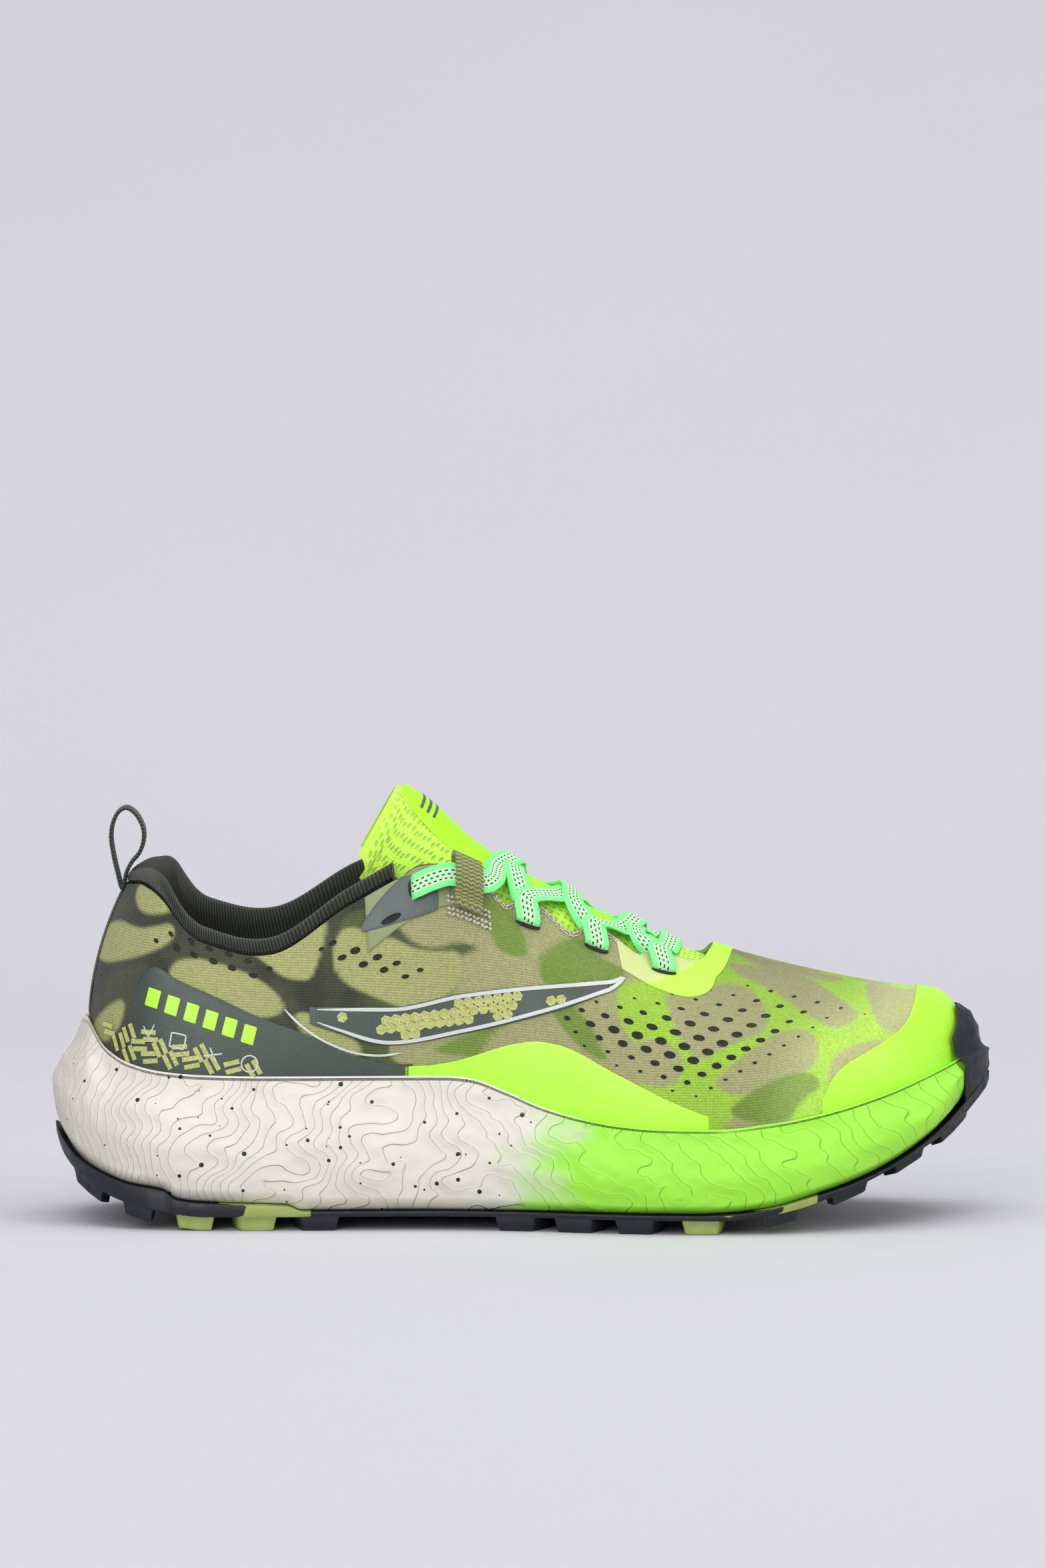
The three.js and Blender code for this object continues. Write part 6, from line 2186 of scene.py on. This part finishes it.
# Rows: place along the shoe in hundredths, height, half width, depth of the arch, half angle.
TONGUE_ROWS = np.array([
    [72, 80.2, 20, 20, 48], [70, 83.6, 20, 21, 52], [67.7, 86.4, 19.5, 24, 58],
    [65.3, 88.7, 19, 26, 62], [62, 93.1, 19.5, 26, 66], [58.1, 98.1, 21, 24, 70],
    [55.4, 102.3, 21.5, 22, 70], [52.3, 107.3, 21, 23, 70], [49.5, 111.8, 20.5, 24, 72],
    [47.2, 116, 20, 25, 75], [44.3, 122.5, 19.2, 26, 78], [42.5, 127.6, 19, 27, 81],
    [40.8, 132.3, 18.8, 28, 84], [38.9, 136.8, 19.1, 28, 85], [36.8, 140.4, 20.3, 28, 80],
])


class TongueForm:
    """The tongue's arched face, whose edges wrap further back inside the opening."""

    wrap = 0.24

    def __init__(self) -> None:
        """Lay the ridge line."""
        self.ridge = np.stack([along(TONGUE_ROWS[:, 0]), 0 * TONGUE_ROWS[:, 0],
                               TONGUE_ROWS[:, 1]], -1)
        self.last = len(TONGUE_ROWS) - 1

    def value(self, u: Array, column: int) -> Array:
        """A column of the table at u, from root, 0, to tip, 1."""
        return np.interp(np.clip(u, 0, 1) * self.last, np.arange(self.last + 1),
                         TONGUE_ROWS[:, column])

    def at(self, u: Array, w: Array, depth: Array = 0) -> Array:
        """Points of the face.

        Args:
            u: From the root, 0, to the tip, 1.
            w: Across, from -1 to 1.
            depth: Distance under the face.

        Returns:
            Points, in the shape of the arguments together.
        """
        u, w, depth = np.broadcast_arrays(*(np.asarray(a, float) for a in (u, w, depth)))
        w = w * (1 + self.wrap * smooth(u, 0.58, 0.78) * (1 - 0.75 * smooth(u, 0.9, 1)))
        flat = u.ravel() * self.last
        centre = centripetal(self.ridge, flat).reshape(*u.shape, 3)
        step = 1e-3
        forward = unit(centripetal(self.ridge, flat + step)
                       - centripetal(self.ridge, flat - step)).reshape(*u.shape, 3)
        out = np.stack([forward[..., 2], 0 * u, -forward[..., 0]], -1)
        half, arch, span = (self.value(u, column) for column in (2, 3, 4))
        angle = np.radians(span * w)
        sideways = np.array([0.0, 1.0, 0.0])
        normal = unit(out * (half * np.cos(angle))[..., None]
                      + sideways * (arch * np.sin(angle))[..., None])
        face = centre - out * (arch * (1 - np.cos(angle)))[..., None]
        return face + sideways * (half * np.sin(angle))[..., None] - normal * depth[..., None]

    def at_place(self, s: float, y: float, lift: float) -> Array:
        """A point over the tongue by place along the shoe and distance from its middle."""
        low, high = 0.0, 1.0
        for _ in range(20):
            middle = (low + high) / 2
            ahead = self.at(middle, 0)[0] > float(along(s))
            low, high = (middle, high) if ahead else (low, middle)
        u = (low + high) / 2
        w = math.degrees(math.asin(y / float(self.value(u, 2)))) / float(self.value(u, 4))
        return self.at(u, w, -lift)


TONGUE = TongueForm()


class TonguePieces:
    """Padded mesh body, its bound edge and lining, and the smooth film on its front."""

    def __init__(self, finishes: Finishes) -> None:
        """Keep the finishes."""
        self.finishes = finishes

    def build(self) -> None:
        """Make the tongue's pieces."""
        body = settle(self.padding(), Body.TONGUE, "tongue_mesh", "tongue_body")
        coat(body, self.finishes.tongue)
        lining = settle(self.lining(), Body.TONGUE, "lining_knit", "tongue_lining")
        coat(lining, self.finishes.rib)
        face = settle(self.face(), Body.TONGUE, "lime_film", "tongue_face")
        coat(face, self.finishes.face)
        mark = settle(self.mark(), Body.TONGUE, "dark_film")
        coat(mark, self.finishes.slate)

    def layer(self, u: Array, w: Array, outer: Array, inner: Array, plain: Array) -> Shell:
        """A sheet between two depths, with strand coordinates on it."""
        front = TONGUE.at(u[:, None], w[None], outer)
        back = TONGUE.at(u[:, None], w[None], inner)
        points = loop_of(front, back)
        across = np.concatenate([w, w[::-1]])[None] * TONGUE.value(u, 2)[:, None] * 1.15
        length = np.linalg.norm(np.diff(TONGUE.ridge, axis=0), axis=1).sum()
        up = u[:, None] * length + 0 * across
        plain = np.concatenate([plain, plain[:, ::-1]], 1)
        return Shell(points, {"strand": np.stack([across, up, plain], -1)}, cap=Cap.STRIP)

    def padding(self) -> bpy.types.Object:
        """The body: crowned between its edges, quilted slightly, thin at root and rim."""
        u = np.concatenate([spaced(0, 0.96, 90), spaced(0.966, 1, 9)])
        w = np.sin(spaced(-1, 1, 56) * math.pi / 2)
        full = SIZE.tongue - SIZE.gap
        edge = np.abs(w)[None] ** 9
        tip = smooth(u, 0.955, 1)[:, None] ** 2
        pinch = 1 - (1 - edge) * (1 - tip)
        soft = 0.22 * waves(u[:, None] * 90, w[None] * 24, 26, 1.9) * (1 - pinch)
        outer = 0.02 + 1.35 * pinch + np.abs(soft)
        inner = full - 1.35 * pinch
        plain = smooth(pinch, 0.5, 0.9) * np.ones((len(u), len(w)))
        shell = self.layer(u, w, outer, inner, plain)
        return solid("tongue_padding", [shell], 60)

    def lining(self) -> bpy.types.Object:
        """The dark lining under the body, thinner toward its edges."""
        u = spaced(0.35, 0.985, 80)
        w = spaced(-0.9, 0.9, 40)
        low = SIZE.tongue + 0.2
        edge = (np.abs(w)[None] / 0.9) ** 10 * np.ones((len(u), 1))
        shell = self.layer(u, w, low + 0.25 * edge, low + 1 - 0.25 * edge, 0 * edge)
        return solid("tongue_lining_knit", [shell], 60)

    def face(self) -> bpy.types.Object:
        """Smooth lime film along the front of the tongue."""
        u = spaced(0.30, 0.982, 90)
        half = np.interp(u, [0.3, 0.6, 0.8, 0.982], [0.42, 0.44, 0.4, 0.3])
        w = spaced(-1, 1, 26)
        edge = np.abs(w)[None] ** 12 * np.ones((len(u), 1))
        front = TONGUE.at(u[:, None], half[:, None] * w[None], -0.34 + 0.2 * edge)
        back = TONGUE.at(u[:, None], half[:, None] * w[None], -0.06)
        points = loop_of(front, back)
        across = np.concatenate([w, w[::-1]])[None] * half[:, None] * 22
        strand = np.stack([across, u[:, None] * 130 + 0 * across, 0 * across], -1)
        return solid("tongue_film", [Shell(points, {"strand": strand}, cap=Cap.STRIP)], 60)

    def mark(self) -> bpy.types.Object:
        """A plain mark on the film: three slanting bars."""
        shells = []
        for i in range(3):
            rows = []
            for along_bar in spaced(0, 1, 10):
                u = 0.895 - i * 0.026 + 0.018 * along_bar
                rows.append([TONGUE.at(u + d, -0.26 + 0.36 * along_bar, -0.36 - t)
                             for t, d in ((0, -0.005), (0, 0.005), (0.14, 0.005),
                                          (0.14, -0.005))])
            points = np.array(rows)
            shells.append(Shell(points, {"strand": flat_strand(points)}, cap=Cap.STRIP))
        return solid("tongue_mark", shells, 60)


# ---------------------------------------------------------------------------------------------
# Lacing
# ---------------------------------------------------------------------------------------------


@dataclass
class Way:
    """A strap's path: points it passes and the direction across the strap at each."""

    at: list[Array] = field(default_factory=list)
    across: list[Array] = field(default_factory=list)

    def add(self, at: Array, across: Array) -> None:
        """Add one place."""
        self.at.append(np.asarray(at, float))
        self.across.append(unit(np.asarray(across, float)))

    def run(self, pitch: float) -> tuple[Array, Array, Array]:
        """Fine points of the path.

        Args:
            pitch: Millimetres between points.

        Returns:
            Points, directions across, and outward directions.
        """
        rows, across = np.array(self.at), np.array(self.across)
        steps = np.linalg.norm(np.diff(rows, axis=0), axis=1) / pitch
        where = np.concatenate([i + np.arange(n) / n
                                for i, n in enumerate(np.maximum(steps.round().astype(int), 1))])
        where = np.append(where, len(rows) - 1)
        centre = centripetal(rows, where)
        tangent = unit(np.gradient(centre, axis=0))
        i = np.minimum(where.astype(int), len(rows) - 2)
        t = (where - i)[:, None]
        wide = mix(across[i], across[i + 1], t * t * (3 - 2 * t))
        wide = unit(wide - tangent * (wide * tangent).sum(1, keepdims=True))
        return centre, wide, unit(np.cross(wide, tangent))


def band(way: Way, width: float, thick: float, pitch: float, puff: float = 0.35,
         taper: bool = False) -> Shell:
    """A flat strap swept along a path, with rounded edges.

    Args:
        way: The path.
        width: Its width.
        thick: Its thickness.
        pitch: Millimetres between sections.
        puff: How much its edges are thicker than its middle.
        taper: Whether its ends narrow.

    Returns:
        The strap's shell, with the distance along and the place across from -1 to 1.
    """
    centre, wide, out = way.run(pitch)
    w = np.sin(spaced(-1, 1, 13) * math.pi / 2)
    rim = np.sqrt(np.maximum(1 - np.abs(w) ** 5, 0))
    half = thick / 2 * (rim * (1 - puff * (1 - w**2) * 0.6) + 0.02)
    along_mm = np.concatenate([[0], np.linalg.norm(np.diff(centre, axis=0), axis=1).cumsum()])
    narrow = np.ones(len(centre))
    if taper:
        end = np.minimum(along_mm, along_mm[-1] - along_mm)
        narrow = 0.72 + 0.28 * smooth(end, 0, 2.2)
    reach = centre[:, None] + wide[:, None] * (w * width / 2)[None, :, None] * narrow[
        :, None, None]
    rise = out[:, None] * half[None, :, None] * narrow[:, None, None]
    points = loop_of(reach + rise, reach - rise)
    place = np.concatenate([w, w[::-1]])[None] + 0 * points[..., 0]
    strand = np.stack([along_mm[:, None] + 0 * place, place, 0 * place], -1)
    return Shell(points, {"strand": strand}, cap=Cap.STRIP)


@dataclass(frozen=True)
class LaceSize:
    """Where the lace runs."""

    crossings: tuple[float, float, float] = (61.6, 54.7, 48.6)
    keeper_s: float = 43.8
    keeper_down: float = 3.4
    keeper_height: float = 3.3
    keeper_width: float = 9.5
    aglet_length: float = 20
    aglet_width: float = 4.4
    aglet_thick: float = 2.2
    aglet_rise: float = 4


class Lacing:
    """The lace, its keepers, and its free tails with their aglets."""

    line = np.array([0.86, 0, -0.5])  # forward along the throat

    def __init__(self, finishes: Finishes, size: LaceSize = LaceSize()) -> None:
        """Keep the finishes, the size and the lace's clearances."""
        self.finishes = finishes
        self.size = size
        self.over = SIZE.film_gap + SIZE.film + SIZE.gap + SIZE.lace / 2
        self.under = SIZE.mesh + SIZE.gap + SIZE.lace / 2

    def build_tails(self) -> None:
        for side in Side:
            way = self.tail(side)
            tail = solid(f"lace_end_{side.word}",
                         [band(way, SIZE.lace_width, SIZE.lace, 1.2)], 60)
            settle(tail, Body.SHOE, "lace", f"lace_tail_{side.word}")
            coat(tail, self.finishes.lace)
            tip = solid(f"aglet_{side.word}_sleeve", [self.aglet(way)], 60)
            settle(tip, Body.SHOE, "aglet", f"aglet_{side.word}")
            coat(tip, self.finishes.aglet)
            centre = placed(way.run(3.0)[0])

    def build(self) -> None:
        """Make the laced part and the keepers."""
        first, second = self.half(Side.MEDIAL), self.half(Side.LATERAL)
        way = Way(first.at[1:][::-1] + second.at, first.across[1:][::-1] + second.across)
        lace = solid("lace_crossed", [band(way, SIZE.lace_width * 1.12, SIZE.lace, 0.9)], 60)
        coat(settle(lace, Body.SHOE, "lace", "lace"), self.finishes.lace)
        for side in Side:
            loop = solid(f"keeper_{side.word}", [self.keeper(side)], 60)
            settle(loop, Body.SHOE, "keeper_webbing", f"lace_keeper_{side.word}")
            coat(loop, self.finishes.keeper)

    def flap(self, s: float, side: Side, down: float, depth: float) -> tuple[Array, Array]:
        """A point by the flap's edge, and the edge's direction toward the toe."""
        k = float(LAST.top_station_at(along(s), side))
        edge = (LAST.top(k + 0.05) - LAST.top(k - 0.05)) * -side.value
        return LAST.spot(k, down, depth), unit(edge)

    def through(self, way: Way, eyelet: Eyelet, side: Side) -> None:
        """Lead the lace from outside through one slot to the flap's edge underneath."""
        s, down = eyelet.s, eyelet.down
        for place, lower, depth in (
                (s, 0.2, -self.over - 0.5), (s, down - 3, -self.over - 0.3),
                (s, down - 1.1, -self.over), (s, down - 0.4, SIZE.mesh / 2),
                (s, down - 1.2, self.under + 0.5), (s, down - 4, self.under + 0.5),
                (s + 0.5, 0.8, self.under + 0.4), (s + 0.2, -1.8, self.under + 0.3)):
            way.add(*self.flap(place, side, lower, depth))

    def half(self, side: Side) -> Way:
        """One half of the lace, from the middle of the front bar to the top slot."""
        def lift(level: float) -> float:
            return SIZE.gap + SIZE.lace / 2 + 0.6 + level * (SIZE.lace + SIZE.gap)

        over = 1 if side is Side.MEDIAL else 0
        way = Way()
        front = EYELETS[0].s
        way.add(TONGUE.at_place(front + 1.4, 0, lift(0.4)), self.line)
        way.add(TONGUE.at_place(front + 1.2, 9 * side.value, lift(0.6)), self.line)
        here = side
        for eyelet, s in zip(EYELETS, self.size.crossings):
            self.through(way, eyelet, here)
            way.add(TONGUE.at_place(s + 0.7, 9 * here.value, lift(0.7)), self.line)
            way.add(TONGUE.at_place(s, 0, lift(over + 0.1)), self.line)
            way.add(TONGUE.at_place(s - 1, -9 * here.value, lift(0.4)), self.line)
            here = Side(-here.value)
        self.to_keeper(way, here)
        return way

    def fall(self, s: float, side: Side, down: float) -> Array:
        """Direction down the flap."""
        return unit(self.flap(s, side, down + 1, 0)[0] - self.flap(s, side, down - 1, 0)[0])

    def to_keeper(self, way: Way, side: Side) -> None:
        """Lead the lace under a keeper and into the top slot."""
        s, down, top = self.size.keeper_s, self.size.keeper_down, EYELETS[3]
        drop, last = self.fall(s, side, down), self.fall(top.s, side, top.down)
        way.add(*self.flap(s + 2.9, side, -1.8, -1.6))
        rows = ((s + 1.6, down - 1, -self.over - 1.7, drop),
                (s, down, -self.size.keeper_height, drop),
                (s - 1.8, down + 0.6, -self.over - 1, drop),
                (top.s + 1.8, top.down - 1, -self.over - 0.8, drop),
                (top.s + 0.35, top.down, -self.over - 0.1, last),
                (top.s - 0.1, top.down, SIZE.mesh - 1.3, last))
        for place, lower, depth, across in rows:
            way.add(self.flap(place, side, lower, depth)[0], across)

    def keeper(self, side: Side) -> Shell:
        """A webbing loop folded round the lace and sewn down below it."""
        ring = ((13, 1.5), (9.5, 1.4), (2, 1.4), (-2.6, 1.8), (-3, 4.2), (0.5, 5.4), (6, 5.4),
                (9, 4), (10.4, 3.4), (13, 3.4))
        k = float(LAST.top_station_at(along(self.size.keeper_s), side))
        edge = unit(LAST.top(k + 0.05) - LAST.top(k - 0.05)) * self.size.keeper_width / 2
        fine = bend_through(np.array(ring), 90, closed=True)
        ahead = unit(np.roll(fine, -1, 0) - np.roll(fine, 1, 0))
        normal = np.stack([-ahead[:, 1], ahead[:, 0]], -1) * SIZE.webbing / 2
        length = np.concatenate([[0], np.linalg.norm(np.diff(fine, axis=0), axis=1).cumsum()])
        rows = []
        for spot, out in zip(fine, normal):
            front, back = ([LAST.spot(k, *(spot + out * part) * (1, -1)) + edge * w
                            for w in spaced(-1, 1, 9)] for part in (1, -1))
            rows.append(front + back[::-1])
        points = np.array(rows)
        across = np.concatenate([spaced(-1, 1, 9), spaced(1, -1, 9)])[None] * 4.75
        place = across + 0 * points[..., 0]
        strand = np.stack([length[:, None] + 0 * place, place, 0 * place], -1)
        return Shell(points, {"strand": strand}, ring=True)

    def tail(self, side: Side) -> Way:
        """A free end: down inside the shoe and forward over the footbed."""
        top = EYELETS[3]
        k = float(LAST.top_station_at(along(top.s), side))
        ahead, inward = np.array([1.0, 0, 0]), np.array([0.0, -side.value, 0])
        drop = unit(LAST.spot(k, 9) - LAST.spot(k, 7))
        way = Way()
        for down, depth, across in ((0.2, 2.2, drop), (1.6, 2.35, unit(drop) + ahead),
                                    (8, 2.1, ahead), (24, 2, ahead), (44, 2.6, ahead)):
            way.add(LAST.spot(k, top.down + down, SIZE.mesh + depth), across)
        low = INSOLE_LOW + SIZE.insole

        def floor(x: float, y: float, across: Array, lift: float = 0) -> None:
            z = float(LAST.bed_height(x)) + SIZE.foam + low + SIZE.gap + SIZE.lace + lift
            way.add(np.array([float(along(x)), y * side.value, z]), across)

        floor(38, 26, ahead, 9)
        floor(38.4, 21, ahead, 3.6)
        floor(39.6, 14, ahead + inward, 2.4)
        for x, y in ((45, 10), (54, 13), (64, 22), (72, 19)):
            floor(x, y, inward)
        return way

    def aglet(self, tail: Way) -> Shell:
        """The crimped sleeve in line with a tail's end."""
        before, last = tail.at[-2:]
        ahead = unit(last - before)
        ahead[2] = 0
        start = last + ahead * SIZE.gap
        start[2] += (self.size.aglet_thick - SIZE.lace) / 2
        end = start + ahead * self.size.aglet_length
        end[2] += self.size.aglet_rise
        way = Way()
        for t in spaced(0, 1, 4):
            way.add(mix(start, end, t), tail.across[-1])
        return band(way, self.size.aglet_width, self.size.aglet_thick, 0.6, 0.0, taper=True)


class PullLoop:
    """Webbing folded into a drop-shaped ring behind the collar."""

    rows = ((7.5, 99.4), (6.95, 105), (6.5, 111.3), (6.3, 116.5), (6.55, 121), (7.2, 124.4),
            (7.95, 125.4), (8.7, 124.2), (9.35, 121.6), (9.75, 118.4), (9.75, 114.9),
            (9.3, 110.9), (8.5, 107.9), (7.95, 104.7))

    def __init__(self, finishes: Finishes) -> None:
        """Keep the finishes."""
        self.finishes = finishes

    def build(self) -> None:
        """Make the loop, a flat webbing whose edges round off."""
        rows = np.array([[float(along(s)), z + SIZE.foam] for s, z in self.rows])
        fine = bend_through(rows, 150, closed=True)
        ahead = unit(np.roll(fine, -1, 0) - np.roll(fine, 1, 0))
        normal = np.stack([-ahead[:, 1], ahead[:, 0]], -1)
        w = np.sin(spaced(-1, 1, 15) * math.pi / 2)
        rim = np.sqrt(np.maximum(1 - np.abs(w) ** 6, 0)) * SIZE.webbing / 2 + 0.01
        length = np.concatenate([[0], np.linalg.norm(np.diff(fine, axis=0), axis=1).cumsum()])
        faces = []
        for sign in (1, -1):
            flat = fine[:, None] + normal[:, None] * (rim * sign)[None, :, None]
            y = np.broadcast_to(w * SIZE.loop_width / 2, flat.shape[:2])
            faces.append(np.stack([flat[..., 0], y, flat[..., 1]], -1))
        points = loop_of(*faces)
        place = np.concatenate([w, w[::-1]])[None] * SIZE.loop_width / 2 + 0 * points[..., 0]
        strand = np.stack([length[:, None] + 0 * place, place, 0 * place], -1)
        loop = solid("pull_loop_webbing", [Shell(points, {"strand": strand}, ring=True)], 60)
        coat(settle(loop, Body.LOOP, "webbing", "heel_pull_loop"), self.finishes.webbing)


# ---------------------------------------------------------------------------------------------
# Studio
# ---------------------------------------------------------------------------------------------


@dataclass(frozen=True)
class StudioSize:
    """Camera and lights, in metres and degrees."""

    aim: tuple[float, float, float] = (0.0, -0.02, 0.141)
    distance: float = 3.0
    lens: float = 215.7
    pitch: float = 4.0


class Studio:
    """Camera, sweep and soft lights."""

    def __init__(self, size: StudioSize = StudioSize()) -> None:
        """Keep the size."""
        self.size = size

    def camera(self) -> None:
        """Set the camera level with the outer side, looking slightly down."""
        data = bpy.data.cameras.new("camera")
        data.lens = self.size.lens
        data.clip_end = 50
        lens = bpy.data.objects.new("camera", data)
        pitch = math.radians(self.size.pitch)
        reach = Vector((0, -math.cos(pitch), math.sin(pitch))) * self.size.distance
        lens.location = Vector(self.size.aim) + reach
        lens.rotation_euler = (math.pi / 2 - pitch, 0, 0)
        bpy.context.scene.collection.objects.link(lens)
        bpy.context.scene.camera = lens

    def sweep(self, finish: bpy.types.Material) -> None:
        """A pale floor that curves up into a backdrop."""
        profile = [(-4.0, 0.0), (0.6, 0.0)]
        profile += [(0.6 + 1.4 * math.sin(a), 1.4 - 1.4 * math.cos(a))
                    for a in spaced(0.05, math.pi / 2, 24)]
        profile.append((2.0, 5.0))
        points = [[x, y, z] for x in (-5.0, 5.0) for y, z in profile]
        count = len(profile)
        faces = [[i, count + i, count + i + 1, i + 1] for i in range(count - 1)]
        mesh = bpy.data.meshes.new("studio_sweep")
        mesh.from_pydata(points, [], faces)
        mesh.shade_smooth()
        floor = link("studio_sweep", mesh)
        coat(floor, finish)

    def lights(self) -> None:
        """A big soft source overhead, a fill in front, one off the toe, and pale air."""
        for name, spot, aim, width, power in (
                ("overhead", (0.1, -0.3, 1.7), (0, 0, 0), 1.9, 21.0),
                ("front", (-0.7, -2.2, 1.0), (0, 0, 0.05), 1.4, 25.0),
                ("toe_side", (1.7, -0.9, 0.8), (0.1, 0, 0.05), 0.9, 8.0)):
            data = bpy.data.lights.new(name, "AREA")
            data.shape, data.size, data.energy = "SQUARE", width, power
            lamp = bpy.data.objects.new(name, data)
            lamp.location = spot
            turn = (Vector(aim) - Vector(spot)).to_track_quat("-Z", "Y")
            lamp.rotation_euler = turn.to_euler()
            bpy.context.scene.collection.objects.link(lamp)
        world = bpy.data.worlds.new("studio_air")
        world.use_nodes = True
        air = world.node_tree.nodes["Background"]
        air.inputs["Color"].default_value = linear("#e9e9ee")
        air.inputs["Strength"].default_value = 0.62
        bpy.context.scene.world = world
        bpy.context.scene.view_settings.view_transform = "Standard"


def dress_hidden(finishes: Finishes) -> None:
    """Give the frame's own solids inside the shoe their material."""
    for name in ("lasting_board", "heel_counter"):
        for slot in bpy.data.objects[name].material_slots:
            slot.material = finishes.board


def main() -> None:
    """Build the finished shoe over the frame."""
    studio = Studio()
    studio.camera()
    finishes = make_finishes()
    lacing = Lacing(finishes)
    lacing.build_tails()
    lacing.build()
    Sole(finishes).build()
    Upper(finishes).build()
    TonguePieces(finishes).build()
    PullLoop(finishes).build()
    dress_hidden(finishes)
    studio.sweep(finishes.floor)
    studio.lights()


if __name__ == "__main__":
    main()
